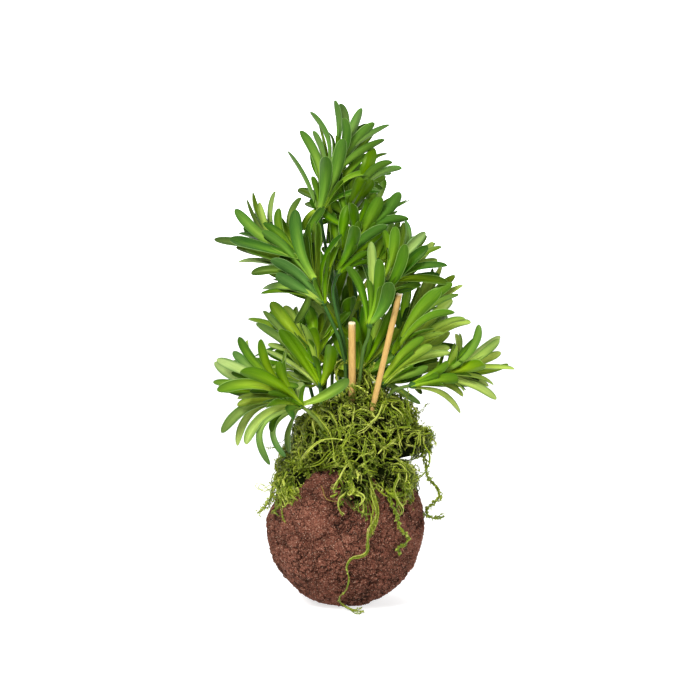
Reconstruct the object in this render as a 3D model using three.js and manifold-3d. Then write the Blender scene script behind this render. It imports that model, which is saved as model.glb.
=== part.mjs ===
// A moss ball plant: a round ball of soil with a cap of stringy moss, two bamboo
// sticks, and leafy sprigs. Each sprig is a wiry stem that carries up to three
// whorls of long spoon-shaped leaves, and each whorl grows from a small collar
// that is threaded on the stem.
//
// Units are millimetres, +Z is up. The origin is the centre of the small flat
// spot that the ball rests on. -Y is the front, the side with both sticks.
import * as THREE from "three";
import { mergeVertices } from "three/addons/utils/BufferGeometryUtils.js";
import Module from "manifold-3d";

// ---- driving dimensions ------------------------------------------------------
const BALL_RADIUS = 54.2; // soil ball, 108 mm across
const BALL_CENTRE_HEIGHT = 52.2; // lower than the radius: this leaves the flat resting spot
const CLOD_HEIGHT = 1.3; // unevenness of the soil
// The moss cap is a clump of rounded lobes: centre and radii of each one.
const MOSS_LOBES = [
  [12, 2, 125, 35, 34, 26],
  [2, 0, 113, 38, 38, 22],
  [-15, -2, 120, 18.5, 24, 17],
  [44, -6, 116, 15.5, 18, 10.5],
  [-21.5, -4, 107, 14.5, 27, 16.5],
  [-35.5, -10, 86.5, 11.5, 21, 12.5],
  [6, -36, 87, 14, 17, 17],
  [32, -22, 92, 13, 18, 14],
  [37, 4, 88.5, 10.5, 22, 11],
  [4, 28, 95, 36, 22, 18],
  [-22, 22, 96, 24, 22, 18],
  [12, -9, 148, 10, 8, 18],
];
const MOSS_UNEVEN = 0.07; // share of the radius
const STICK_LEFT = { diameter: 5.0, top: [4.2, -16, 200.4], through: [4.6, -11, 106.6] };
const STICK_RIGHT = { diameter: 4.1, top: [36.9, -24, 221.4], through: [12.5, -20, 115.1] };
const STICK_DEPTH = 34; // how far a stick goes into the ball, below the second point
const STICK_SIDES = 12;
const STEM_DIAMETER = 2.5;
const STEM_SIDES = 5;
const COLLAR_DIAMETER = 5.4;
const COLLAR_HEIGHT = 5;
const COLLAR_SIDES = 6;
const GAP = 0.35; // clearance round everything that passes through something else
const LEAF_THICKNESS = 0.62; // keel below the centre line
const LEAF_CUP = 0.09; // how far the edges rise, as a share of the width
const STRAND_DIAMETER = { moss_strand_front: 3, moss_strand_right: 2.2, moss_strand_left: 2.4, moss_strand_dangling: 2 }; // hanging bunches of moss fibres
// Stations along a leaf (0 is the collar, 1 the tip) and the share of its width there.
const LEAF_STATIONS = [
  [0, 0.2],
  [0.4, 0.62],
  [0.82, 0.97],
];

// ---- stems -------------------------------------------------------------------
// Points from inside the ball to the last collar.
const STEMS = {
  top: [[3, 13, 92], [4.2, 13, 113.5], [2.1, 12, 147.9], [-1.4, 9, 181.6], [-7, 5, 217.4], [-14, 3, 250.6], [-18.1, 2, 276.5], [-14.3, 4, 292.4], [-10.1, 6, 307.6], [-8.9, 6.6, 311.9]],
  top_back: [[11, 19, 90], [11.3, 21, 112.2], [12.7, 24, 146.2], [11.3, 24, 179.8], [7, 21, 215.7], [2.1, 18, 249.3], [0, 16, 271.3], [4.2, 20, 280.8], [5.9, 21.6, 284.6]],
  upper_right: [[2, 1, 96], [2.8, 1, 115.3], [1.4, -1, 149.7], [-1.4, -5, 183.3], [-6.9, -8, 208.2], [-9, -7, 222.1], [-5.5, -6, 234.6], [-0.3, -5, 248.5], [6.3, -4, 262.3], [8.2, -3.7, 266.4]],
  back_right: [[19, 13, 92], [19.8, 15, 113.2], [22.6, 17, 147.2], [19.7, 18, 180.5], [16.9, 16, 209.2], [17.6, 14, 231.3], [22.5, 18, 240.8], [24.4, 19.6, 244.5]],
  right_mid: [[9, -9, 95], [9.1, -10, 117], [9.1, -12, 151.2], [11.8, -18, 180], [15.3, -21, 190.8], [16.6, -22, 200], [20.7, -24, 214.8], [26.2, -26, 228.9], [27.8, -26.6, 233]],
  right_low: [[20, 2, 92], [19.7, 2, 115.2], [21, -1, 140.5], [26.6, -3, 156.3], [36.6, -6, 180.6], [38.4, -6.5, 184.8]],
  right_out: [[23, -7, 90], [23.8, -8, 116.7], [25.2, -9, 139.5], [31.4, -12, 150.5], [39, -15, 154.8], [46.6, -17, 156.8], [56.9, -19.5, 161.3], [68.6, -22, 165.8], [72.7, -22.9, 167.4]],
  left_mid: [[-13, -2, 93], [-11.9, -2, 115.8], [-16.8, -3, 140.7], [-18.5, -3, 155.6], [-21.7, -3.5, 169.8], [-25.8, -4, 183.2], [-27.2, -4.2, 187.5]],
  left_low: [[-12, -22, 88], [-13.2, -25, 117.9], [-18, -27, 130.9], [-24.9, -27, 138.6], [-31.8, -27, 144.2], [-40.3, -33.5, 152.4], [-48.7, -40, 161.3], [-51.5, -42.1, 164.2]],
  upper_left: [[-5, -8, 96], [-3.5, -8, 116.7], [0, -10, 159.3], [-3.5, -10, 183.9], [-9.7, -9, 199.9], [-16, -9, 213.9], [-22.8, -13.5, 230.4], [-31.7, -18, 246.1], [-33.9, -19.1, 249.9]],
  centre: [[-6, 13, 93], [-7.1, 14, 113.3], [-9.9, 16, 148.7], [-8.5, 17, 170], [-4.8, 18, 187.9], [-4.8, 18, 187.9]],
  centre_low: [[9, 5, 95], [7.7, 5, 114.7], [7.7, 3, 143.4], [8.8, 2, 164.4], [8.8, 2, 164.4]],
  back_upper: [[-3, 22, 92], [-4, 26, 130], [-4, 29, 165], [-3, 34, 196], [-5, 45, 209], [-5.5, 48.3, 212]],
  back_left: [[-14, 14, 92], [-17, 18, 118], [-23, 25, 140], [-27, 30, 152], [-35, 41, 161], [-37.3, 44.1, 163.3]],
  back_low: [[5, 26, 88], [8, 33, 118], [12, 39, 139], [14, 46, 151], [14.5, 49.8, 153.3]],
  back_side: [[25, 9, 88], [28, 17, 118], [33, 23, 148], [38, 28, 168], [40.3, 31, 170.5]],
};

// ---- whorls ------------------------------------------------------------------
// collar: centre and direction. Each leaf row holds the start, the bend and the
// tip of its centre line, the direction its upper face looks in, and its width.
const WHORLS = {
  top_1: {
    stem: "top",
    collar: [-18.1, 2, 276.5, -0.007, 0.024, 1],
    leaves: [
      [-16, 1.2, 275.6, -1.2, -4.5, 308.3, 31.6, -1.5, 302.5, -0.42, -0.6, 0.68, 5.3],
      [-15.9, 2.6, 276.5, -0.3, 0.8, 293, 23.6, -4.8, 290.2, -0.36, -0.64, 0.69, 5.4],
      [-20.4, 2, 277.4, -26.4, 1.5, 298.4, -40.6, -0.6, 318.4, 0.67, 0.64, 0.37, 5.6],
      [-18.3, -0.2, 276.6, -12.7, -3.7, 295.8, -14, -29.2, 316.1, -0.11, 0.8, 0.59, 7.8],
      [-16.9, 0.1, 277.5, -5.3, 0.5, 300.2, -2, -8.8, 327.4, -0.1, 0.97, 0.2, 7.8],
      [-16.8, 3.8, 275.6, -5.4, 8.7, 299.1, 14.6, 3.5, 316.1, -0.62, -0.63, 0.47, 5.3],
      [-19.8, 0.6, 275.6, -11.5, 2.4, 309.4, -31.9, 2.6, 332.4, 0.33, -0.94, 0.1, 5.8],
      [-19.9, 3.3, 276.5, -27.8, 2.4, 273.2, -27.9, 6.4, 262.2, -0.47, 0.77, 0.43, 5.8],
    ],
  },
  top_2: {
    stem: "top",
    collar: [-14.27, 4, 292.4, 0.247, 0.124, 0.961],
    leaves: [
      [-16.2, 3.8, 293.9, -12.8, 4.6, 313.3, -22.9, 7.3, 331.9, 0.59, 0.81, 0.03, 5.6],
      [-12.3, 3, 292, -2.3, 7.1, 318.8, 19.8, 2.5, 338, -0.09, 0.99, 0.08, 6.8],
      [-14.3, 1.7, 291.8, 0.7, 2.2, 317.3, 27.1, -2.2, 326.4, -0.24, 0.89, 0.38, 5.7],
      [-12.7, 5.1, 290.9, 1.6, 6.9, 312.3, 2.8, 18.3, 336.3, -0.36, -0.85, 0.37, 5.5],
      [-14.4, 6.2, 292.1, 0.5, 8, 310, 11.2, 21.5, 329.8, -0.04, -0.92, 0.4, 5.7],
    ],
  },
  top_3: {
    stem: "top",
    collar: [-10.09, 6, 307.6, 0.263, 0.126, 0.957],
    leaves: [
      [-7.7, 5.7, 307.9, 7, 6.2, 325.6, 30.6, 8.8, 336, -0.42, 0.77, 0.49, 5.8],
      [-12.3, 6.1, 308.2, -9.9, 6.6, 329.3, -25.1, 9.2, 345, 0.72, 0.67, 0.19, 5.3],
      [-11.4, 4.6, 309.1, -1.5, 6.3, 329.7, -7.8, 4.6, 353.5, 0.78, 0.63, -0.06, 5.5],
      [-10.4, 3.7, 307.1, 5.5, 7.2, 333.1, -4.2, 10.3, 350.9, 0.73, -0.68, -0, 5.6],
      [-8.7, 4.2, 307.5, 3.9, 3.1, 323.2, -1.7, -5.7, 341.4, 0.27, 0.94, 0.22, 6.1],
      [-8.6, 7.1, 306.1, 2.7, 6.7, 326.8, 11.2, 11.7, 347.7, -0.17, 0.99, -0.03, 6.7],
    ],
  },
  top_back_1: {
    stem: "top_back",
    collar: [-0.01, 16, 271.25, 0.067, 0.063, 0.996],
    leaves: [
      [2.2, 15.4, 271.1, 12, -7.5, 307.5, 32, -18.1, 311.8, -0.09, 0.74, 0.67, 5.8],
      [1.3, 14.2, 270.4, 8.3, 4.9, 285.9, 17.8, -36.1, 300.5, 0.34, 0.56, 0.76, 7.1],
      [0.1, 13.8, 272.3, 9.8, -31.3, 299.1, 11, -28.9, 301.4, 0.18, 0.59, 0.79, 6.4],
      [-2, 16.8, 272.2, -14.4, 14.7, 284.1, -34.1, 24.8, 290, -0.04, -0.93, 0.36, 5.7],
      [-1.2, 17.9, 271.2, -13.5, 18.5, 277.7, -29.2, 24.6, 280.1, 0.07, -0.69, 0.72, 5.5],
      [-2.2, 15.3, 270.5, -15, 12.4, 272.6, -30.9, 17.8, 266.9, -0.15, -0.42, 0.89, 5.6],
      [-1.3, 14.2, 271.5, -4.5, 6.1, 276.5, -9.1, 3.4, 282, -0.05, 0.71, 0.7, 5.6],
      [1.7, 17.3, 270.1, 8.9, 19.9, 279.1, 21.2, 37, 282.4, 0.35, -0.72, 0.59, 5.7],
    ],
  },
  top_back_2: {
    stem: "top_back",
    collar: [4.21, 20, 280.8, 0.377, 0.358, 0.854],
    leaves: [
      [2.9, 18, 281.2, 12.6, -13.7, 302.1, 19.8, 3.9, 320.2, -0, 0.94, 0.34, 7.5],
      [5.2, 21, 278.9, 11.3, 36.4, 312, 29.7, 36.1, 314.3, -0.82, 0.42, 0.38, 4.5],
      [5, 18, 281.3, 15.7, -11.4, 305.4, 38.7, -10, 307.1, -0.08, 0.62, 0.78, 5.3],
      [6.5, 19.4, 281.1, 3.4, 15.6, 293.3, 28.1, 24.1, 299.2, -0.19, 0.98, -0.03, 6.4],
      [2.5, 20.2, 282.5, 5.1, 25.1, 296.3, 4.2, 42.7, 313.3, 0.21, -0.8, 0.57, 6.4],
      [2.6, 21.6, 280.9, -0.7, 25.4, 295, -4.3, 47.4, 309.5, 0.07, -0.73, 0.68, 5.7],
    ],
  },
  upper_right_1: {
    stem: "upper_right",
    collar: [-5.55, -6, 234.6, 0.313, 0.072, 0.947],
    leaves: [
      [-5.6, -8.3, 233.8, 5.4, -7.3, 258.9, 28.6, -25.4, 268.5, 0.16, 0.94, 0.3, 6.1],
      [-3.1, -6, 234.8, 10.8, -8.6, 249.8, 27.6, -18, 266.2, -0.21, 0.82, 0.52, 5.3],
      [-6.5, -7.7, 236, 5.7, -13.7, 249.4, 6.2, -40.2, 269.4, 0.12, 0.73, 0.67, 7.6],
      [-7.6, -5.4, 235.2, -8.3, 3.4, 254.2, -9.1, 6, 275.5, 0.54, -0.8, 0.25, 5.5],
      [-7, -4.2, 234, -10.3, -1.1, 250.3, -11.2, 13.7, 265.8, 0.62, -0.65, 0.44, 5.8],
      [-4.2, -4.6, 233.1, 5.3, -7.3, 240.2, 18, -14.8, 242.4, 0.02, 0.69, 0.72, 5.5],
      [-4, -7.5, 234.2, 4.1, -9.7, 242.2, 15.2, -19.2, 249.7, -0.27, 0.58, 0.77, 5.3],
    ],
  },
  upper_right_2: {
    stem: "upper_right",
    collar: [-0.33, -5, 248.47, 0.391, 0.066, 0.918],
    leaves: [
      [0.8, -6.7, 247.1, 16, -8.5, 265.8, 23.8, -18.5, 287.7, 0.18, 0.97, 0.18, 8.2],
      [1.7, -4.5, 247.6, 16.5, -6.3, 273.4, 43.6, -12.3, 272, -0.18, 0.8, 0.57, 5.6],
      [-0.6, -7.1, 249.7, 9.7, -6.9, 266.8, 3.1, -26.9, 284.1, 0.26, 0.85, 0.46, 5.8],
      [-2.3, -5.5, 249.4, -3.9, -20.3, 266.3, 1.8, -12.5, 281.7, 0.23, 0.96, 0.18, 6.6],
      [-1.8, -3.1, 248, -8, 10, 265.2, -2.1, 35.1, 281.9, 0.18, -0.65, 0.74, 5.3],
    ],
  },
  upper_right_3: {
    stem: "upper_right",
    collar: [6.28, -4, 262.32, 0.429, 0.065, 0.901],
    leaves: [
      [7.8, -3.4, 260.6, 8.7, 0.3, 263.8, 20.8, -5.3, 290.2, 0.24, 0.97, -0.04, 6.1],
      [7.5, -6, 262.9, 27.3, -8.9, 270.1, 37.3, -12.8, 290.7, 0.05, 0.98, 0.18, 7.1],
      [7.3, -2.1, 261.7, 26.6, 24, 274.1, 47.7, 34.4, 283.3, -0.24, -0.28, 0.93, 4.8],
      [7.8, -5, 260.7, 23.1, -4.4, 266.4, 36.4, -6.6, 277.5, -0.35, 0.65, 0.67, 5.5],
      [5.6, -6.1, 262.8, 12.3, -5.6, 273.2, 13.9, -8.9, 285.6, 0.6, 0.79, -0.12, 5.6],
      [6.2, -1.7, 263.2, 31.9, 28, 282.2, 25.5, 40, 297.1, -0.61, -0.31, 0.73, 5.2],
      [4.2, -2.7, 262.2, 15.7, 0.6, 277, 18.2, 19.6, 292.8, 0.61, -0.75, 0.27, 5.7],
    ],
  },
  back_right_1: {
    stem: "back_right",
    collar: [17.56, 14, 231.28, 0.175, 0.062, 0.983],
    leaves: [
      [15.9, 12.5, 231.7, 14.2, 14, 242.9, 14.8, 17.5, 254.9, 0.18, -0.96, 0.21, 5.7],
      [19.5, 13.1, 230.1, 28.8, 17, 234.6, 41, 26.6, 238.6, 0.33, -0.82, 0.47, 5.7],
      [15.3, 14.7, 230.7, 13.7, 13, 235.5, 8.4, 23.4, 238.9, -0.17, -0.74, 0.64, 5.7],
      [19.3, 15.4, 230.9, 30.4, 18.7, 227.5, 45.5, 38.5, 227.5, 0.53, -0.5, 0.69, 5.5],
      [17.3, 16.3, 232.1, 8.8, 65.4, 232.4, 4.5, 58.8, 245.3, -0.08, -0.32, 0.94, 5.5],
    ],
  },
  back_right_2: {
    stem: "back_right",
    collar: [22.5, 18, 240.79, 0.432, 0.35, 0.831],
    leaves: [
      [23.7, 16.1, 240.9, 35.3, 17.1, 250.1, 39.2, 10, 265.4, -0.02, 0.97, 0.25, 5.4],
      [21.3, 15.9, 241.2, 21.1, 16, 250.8, 25.8, 4.8, 260.2, 0.33, 0.85, 0.42, 6.8],
      [23.9, 18.3, 238.8, 35.1, 21.4, 241.2, 48.2, 34.6, 244.3, 0.21, -0.57, 0.79, 5.5],
      [22.1, 20.1, 240.1, 29.7, 21.5, 253.3, 32.6, 38.2, 266, 0.33, -0.83, 0.45, 6.4],
      [20.9, 19.2, 242.2, 19.9, 23, 251.8, 18.4, 43.1, 263.5, 0.42, -0.58, 0.7, 5.7],
    ],
  },
  right_mid_1: {
    stem: "right_mid",
    collar: [16.63, -22, 200.01, 0.221, -0.121, 0.968],
    leaves: [
      [15.5, -24, 200, 24.4, -28.3, 222.9, 22.6, -43.1, 247, 0.26, 0.91, 0.33, 6.8],
      [18.2, -23.1, 198.6, 30.2, -27.7, 244.5, 69.8, -29.8, 241.3, -0.53, -0.66, 0.54, 5.5],
      [18.1, -20.3, 199.9, 29.6, -18.7, 233.8, 62.5, -9.2, 232.8, -0.44, -0.49, 0.76, 4.6],
      [16.7, -19.9, 201.2, 28.1, -9, 226.6, 55.5, -13, 229.7, -0.46, -0.48, 0.75, 5.5],
      [18.6, -21.5, 198.7, 27.5, -21.9, 223.7, 52, -16.5, 226.9, -0.27, -0.84, 0.47, 5.7],
      [17.3, -24.3, 200.5, 29.4, -29.1, 212.7, 29.2, -60.1, 232.9, 0.31, 0.69, 0.65, 8.2],
      [14.3, -22.5, 199.6, 14.2, -24.9, 222.6, 0.8, -37.3, 241.3, 0.19, 0.91, 0.38, 5.7],
    ],
  },
  right_mid_2: {
    stem: "right_mid",
    collar: [20.74, -24, 214.83, 0.313, -0.13, 0.941],
    leaves: [
      [18.6, -24, 215.5, 18.3, -24.6, 235.9, 17.2, -27.1, 257.6, 0.2, -0.98, -0.07, 5.4],
      [21.3, -26.3, 215.3, 37.7, -30.7, 232.9, 40.3, -41.3, 257.1, 0, 0.94, 0.34, 7],
      [22.1, -25.2, 213.2, 34.6, -30.3, 239.2, 56.2, -33.1, 255.1, -0.29, -0.95, 0.06, 6.8],
      [22.6, -23.6, 213.3, 42.8, -20.5, 247.1, 66.1, -25.5, 253.7, -0.61, -0.47, 0.64, 4.9],
      [22.2, -22.3, 214.6, 35.6, -17.1, 239.8, 63.1, -22.1, 244.4, -0.48, -0.58, 0.66, 5.5],
      [21.1, -21.9, 216, 32.4, -16.9, 228.5, 45.8, -10.2, 242, 0.01, -0.92, 0.4, 5.7],
      [19, -22.3, 214.7, 16.4, -20.2, 228.5, 11.2, -3, 241.3, 0.66, -0.51, 0.56, 5.7],
    ],
  },
  right_mid_3: {
    stem: "right_mid",
    collar: [26.22, -26, 228.89, 0.36, -0.131, 0.924],
    leaves: [
      [25, -23.9, 228.7, 46.9, -23.7, 255.2, 40.4, -17.4, 271.7, 0.81, -0.55, -0.21, 5.5],
      [24.2, -25.6, 229.7, 31.2, -25.4, 247, 26.2, -22.4, 265.2, 0.69, -0.72, 0.02, 5.2],
      [24.9, -27.6, 230.2, 34.6, -27.5, 247.5, 33.6, -36, 268.7, 0.26, 0.95, 0.15, 6.3],
      [27.7, -26.9, 227.2, 36.9, -23.8, 249.7, 54.7, -24.6, 264, -0.18, -0.96, 0.19, 6.3],
      [28.2, -25.2, 228.2, 43.7, -13.1, 244.1, 62, -11.9, 255.3, -0.09, -0.85, 0.52, 5.3],
      [27.4, -24, 229.7, 35.4, -20.4, 244.8, 47.2, -7.4, 259.8, -0.41, -0.66, 0.63, 5.5],
    ],
  },
  right_low_1: {
    stem: "right_low",
    collar: [26.6, -3, 156.3, 0.36, -0.115, 0.926],
    leaves: [
      [28.2, -3.7, 154.6, 63.8, -9.9, 201.7, 86.9, -10.8, 199.8, -0.47, -0.74, 0.49, 5.7],
      [26.7, -0.7, 155.6, 49.4, 1.6, 174.3, 72.8, 2.4, 191.6, -0.24, -0.89, 0.39, 5.8],
      [25.9, -5.1, 155.3, 40.7, -9.1, 174.6, 59.3, -30.4, 185.7, 0.31, 0.87, 0.39, 6.6],
      [28.4, -2.7, 154.7, 45.3, -4.1, 177.6, 72.5, -8.6, 181.7, -0.25, -0.95, 0.19, 6.8],
      [27.2, -5.1, 155.8, 46.2, -10.6, 175.6, 72.2, -16.8, 179.2, -0.47, -0.68, 0.56, 5.7],
      [28.5, -1.9, 155.7, 42.7, -1.7, 170.1, 64.5, -8, 173.5, -0.46, -0.35, 0.82, 4.8],
      [28.2, -1.3, 156.8, 45.5, -2.9, 163.3, 65.8, 0.2, 170, -0.07, -0.95, 0.3, 6.3],
      [28.3, -4.7, 156.4, 41.1, -3.9, 161.8, 57, -17.6, 169.5, 0.32, 0.92, 0.22, 4.9],
      [26, -0.9, 156.8, 37.8, -1.1, 155.3, 47.9, 9.9, 158.1, 0.18, -0.47, 0.86, 5.3],
      [25.6, -4.9, 157.4, 35.8, -17.9, 178.6, 53.8, -29.7, 191.9, 0.23, 0.87, 0.44, 5.7],
    ],
  },
  right_low_2: {
    stem: "right_low",
    collar: [36.65, -6, 180.64, 0.379, -0.113, 0.918],
    leaves: [
      [38.6, -4.5, 181.7, 63.2, -8.5, 223.5, 66.4, -1.1, 238.8, -0.61, -0.71, 0.34, 5.4],
      [35.7, -3.7, 179.7, 66.5, -0.8, 226.1, 60, 1.8, 236.3, -0.86, -0.31, 0.4, 5.4],
      [37.6, -4, 182.1, 50.4, -10.7, 208.9, 59.9, -3, 232.9, -0.21, -0.97, 0.11, 7.8],
      [38.1, -5.5, 178.4, 52.4, -7.8, 215.3, 75.8, -11.8, 232.8, -0.39, -0.9, 0.17, 5.4],
      [37.1, -7.7, 178.6, 48.5, -17.1, 216.1, 73.8, -18.3, 227.8, 0.01, 0.98, 0.2, 6.3],
      [36.4, -8.2, 182.1, 45.1, -35.6, 208.8, 65.1, -37.2, 225.9, 0.17, 0.87, 0.46, 8],
      [39.2, -6.7, 181.1, 52.9, -12.2, 210.4, 81.2, -13.8, 226, -0.64, -0.59, 0.5, 5.3],
      [38.6, -7.8, 181.2, 47.4, -22, 213.1, 78.2, -16.4, 219.8, -0.65, -0.52, 0.56, 5.2],
      [39.2, -5.4, 181.3, 55.7, -16.9, 199, 74.8, 17.1, 213.1, 0.12, -0.87, 0.48, 6.4],
      [36, -8.1, 179, 47.2, -43.5, 211, 74.5, -44.9, 210.4, 0.15, 0.73, 0.67, 5.4],
      [37.7, -4.4, 178.8, 55.1, 33.5, 187.2, 70.1, -13.5, 205.1, 0.11, 0.97, 0.2, 6],
      [37.9, -6.8, 178.4, 61.6, -9.2, 198.8, 82.4, -25.9, 203.8, -0.13, 0.67, 0.73, 5.6],
      [37.6, -8.3, 181.6, 34.2, -5, 182.1, 68, -28.2, 194.5, 0.19, 0.72, 0.67, 5.5],
      [35.5, -5, 182.9, 39.8, 31.6, 197.5, 44.5, 34, 222.3, 0.3, -0.71, 0.63, 5.7],
      [36.4, -4.1, 182.6, 42.7, 39.2, 195.1, 49.2, 29.3, 217, 0.84, -0.51, 0.19, 5.6],
      [34.6, -4.3, 180.1, 45.9, 2, 201.3, 51, -2, 224.1, 0.15, -0.99, -0.01, 5.7],
      [34.8, -7.7, 179.6, 30, -16.4, 171.2, 45.6, -13.6, 201.1, -0.01, 0.96, 0.27, 5.7],
    ],
  },
  right_out_1: {
    stem: "right_out",
    collar: [46.59, -17, 156.78, 0.914, -0.229, 0.334],
    leaves: [
      [45.4, -19, 156, 62.5, -22.1, 162, 76.8, -44.1, 164.6, 0.58, 0.79, 0.2, 6.7],
      [47.3, -14.9, 156.2, 66.2, -18.3, 161.5, 81.2, -20.6, 149.2, 0.11, -0.43, 0.9, 5.2],
      [46.5, -17, 154.4, 67.4, -16.3, 154.8, 79.8, -13.6, 136.3, 0.43, -0.57, 0.69, 5.3],
      [46.5, -18, 159, 58.7, -23.1, 164.8, 70.2, -34.5, 175.1, 0.63, 0.76, -0.16, 5.6],
    ],
  },
  right_out_2: {
    stem: "right_out",
    collar: [56.93, -19.5, 161.32, 0.905, -0.205, 0.372],
    leaves: [
      [57, -18.9, 159, 83.5, -20.2, 164.2, 104.4, -21.7, 147.3, 0.09, -0.83, 0.56, 5.2],
      [56.1, -21.3, 160, 73.4, -22.4, 165.4, 81.1, -39.9, 155.4, 0.57, 0.64, 0.52, 5.4],
      [57, -19.1, 163.7, 60.3, -17.4, 162.1, 67.8, -12.7, 179.4, 0.78, -0.55, -0.31, 5.5],
      [57.4, -17.3, 161.4, 71.6, 10, 165.8, 88.2, 31.9, 169.6, 0.85, -0.53, 0.02, 5.4],
    ],
  },
  right_out_3: {
    stem: "right_out",
    collar: [68.63, -22, 165.84, 0.915, -0.195, 0.354],
    leaves: [
      [66.5, -21.4, 167.4, 81.5, 9.5, 173.7, 76, -6.8, 191.3, 0.89, -0.44, -0.09, 5.3],
      [67.2, -19.8, 166.6, 80.8, 14.3, 173, 79.4, 4.4, 190.3, 0.92, -0.4, -0.06, 4.5],
      [67.9, -19.6, 164.9, 77.3, 13.5, 170, 80.8, 8.8, 180.9, 0.93, -0.34, -0.14, 5.3],
      [66.4, -23.2, 166.7, 90.2, -41.9, 179.5, 91.1, -34.5, 201.1, 0.75, 0.56, -0.35, 5.7],
      [69.6, -21.1, 168.2, 80.3, -1.7, 173.7, 89.2, -8.8, 188.7, 0.75, -0.53, -0.4, 5.4],
      [70.3, -20.1, 166.8, 89.2, -8.2, 174.1, 107.1, -12.8, 190.6, 0.19, -0.98, 0.01, 5.7],
      [70.8, -20.7, 165.1, 87.9, -17.5, 171.5, 107.9, -10.9, 178.8, 0.27, -0.96, -0.04, 5.2],
      [68.2, -20.8, 163.5, 92.8, -20.4, 171.5, 117, -18.8, 168.2, -0.05, -0.61, 0.79, 5.8],
      [69.8, -24.5, 165.8, 81.6, -26.3, 169.1, 94.5, -46.4, 174.9, 0.59, 0.77, 0.25, 7.8],
      [67.8, -22.7, 163.4, 87, -25.6, 168.4, 102.4, -20.5, 157.2, 0.18, -0.31, 0.93, 5.2],
      [70.8, -22.4, 164.3, 82.9, -20.1, 161.5, 99.5, -14.3, 155.7, 0.38, -0.7, 0.61, 5.5],
      [69.1, -22.9, 168.3, 69.7, -7.1, 164.5, 76.2, -38.2, 186.7, 0.78, 0.59, 0.19, 5.8],
    ],
  },
  left_mid_1: {
    stem: "left_mid",
    collar: [-18.55, -3, 155.59, -0.165, -0.017, 0.986],
    leaves: [
      [-20.9, -3.5, 156.1, -35.3, -3, 182, -62.8, -4.7, 198.4, 0.42, -0.82, 0.39, 5.2],
      [-17, -4.8, 154.9, -10.4, -9.2, 169.3, -10.3, -35.2, 187, 0.05, 0.73, 0.68, 8.2],
      [-19.4, -5.1, 155.4, -31.8, -6.4, 175.8, -46, -18.9, 195.8, -0.05, 0.95, 0.29, 6.6],
      [-18.4, -5.2, 156.5, -27.2, -4, 176.7, -42.3, -16.6, 194.9, 0.28, 0.86, 0.43, 5.3],
      [-20.1, -4.4, 154.4, -36.4, -6.2, 169.9, -57.4, -0.9, 179.3, 0.5, -0.35, 0.79, 5.6],
      [-18.3, -0.8, 155.7, -33, 3.1, 167.8, -52.1, 10.1, 165.6, 0.18, -0.28, 0.94, 5.8],
      [-19.6, -0.9, 156.4, -31, -2.1, 155.7, -41.5, 5.4, 163.7, 0.1, -0.59, 0.8, 5.4],
      [-20.1, -1.5, 154.4, -25.7, -2.4, 160.4, -33, 1, 165.7, 0.46, -0.6, 0.66, 5.8],
      [-20.7, -2.4, 155.2, -25.7, -2.3, 150.4, -33, 1.5, 156.8, 0.05, -0.21, 0.98, 5.8],
      [-16.3, -2.2, 155.1, -10.7, -1.5, 165.5, -5.6, 5.3, 177.1, -0.53, -0.69, 0.49, 5.7],
    ],
  },
  left_mid_2: {
    stem: "left_mid",
    collar: [-21.67, -3.5, 169.77, -0.255, -0.035, 0.966],
    leaves: [
      [-23.7, -2.6, 169.3, -39.6, -0.8, 194, -68.9, 2, 200.8, 0.47, -0.47, 0.74, 5.6],
      [-23.6, -4.9, 170.1, -41.3, -4.9, 186.6, -57.9, -3.8, 207.1, 0.57, -0.62, 0.54, 5.5],
      [-21.1, -5.7, 168.9, -25.6, -7.7, 185.2, -30.3, -27.5, 200.6, 0.6, 0.56, 0.56, 5.2],
      [-19.6, -4.3, 170.3, -19.2, -6.4, 183.2, -25.3, -18.1, 196.1, -0.26, 0.87, 0.41, 8.2],
      [-21.8, -1.2, 168.9, -37.4, -2.1, 178.3, -54.8, 7.5, 182.5, 0.11, -0.7, 0.71, 5.4],
    ],
  },
  left_mid_3: {
    stem: "left_mid",
    collar: [-25.84, -4, 183.21, -0.296, -0.036, 0.955],
    leaves: [
      [-27.3, -5.2, 181.8, -40.8, -4.2, 197.2, -52.5, -7.3, 213.8, 0.24, -0.96, 0.12, 7.6],
      [-28.2, -3.7, 183.4, -35.4, -3.3, 195.7, -43, -0.2, 210.5, 0.16, -0.96, 0.21, 6.7],
      [-27.2, -2.2, 182.9, -35, -2.6, 195, -35, 6, 209.2, -0.61, -0.79, 0.07, 5.7],
      [-23.9, -5.4, 182.8, -20.3, -2.2, 197.5, -27.6, 2.1, 209.6, -0.21, -0.95, 0.24, 7.6],
      [-23.7, -4, 183.9, -16.7, -1.2, 191.6, -16.1, 8.6, 204.3, -0.27, -0.77, 0.57, 5.7],
      [-24.5, -2.5, 184.6, -12.2, -1, 186.2, -10.6, 12.6, 200.3, 0.01, -0.72, 0.69, 5.5],
      [-25.4, -1.7, 182.5, -22.4, -0.4, 194.2, -22.6, 17.2, 204.1, -0.12, -0.74, 0.66, 5.7],
    ],
  },
  left_low_1: {
    stem: "left_low",
    collar: [-31.81, -27, 144.16, -0.71, -0.3, 0.637],
    leaves: [
      [-31.8, -29.4, 145.3, -47.8, -54.1, 167.1, -71.8, -64.5, 172.4, -0.45, 0.81, 0.38, 8],
      [-29.4, -28.2, 143.9, -44.2, -39.2, 159.2, -45.6, -53.1, 177.8, -0.46, 0.81, 0.37, 5.6],
      [-31.3, -28.2, 146.6, -41.3, -35.7, 158.7, -42.5, -39.2, 177.1, -0.86, 0.49, -0.14, 5.6],
      [-30.5, -24.7, 144.4, -36.7, -24.2, 152.2, -31, -9.2, 157.8, -0.21, -0.65, 0.73, 6],
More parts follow.
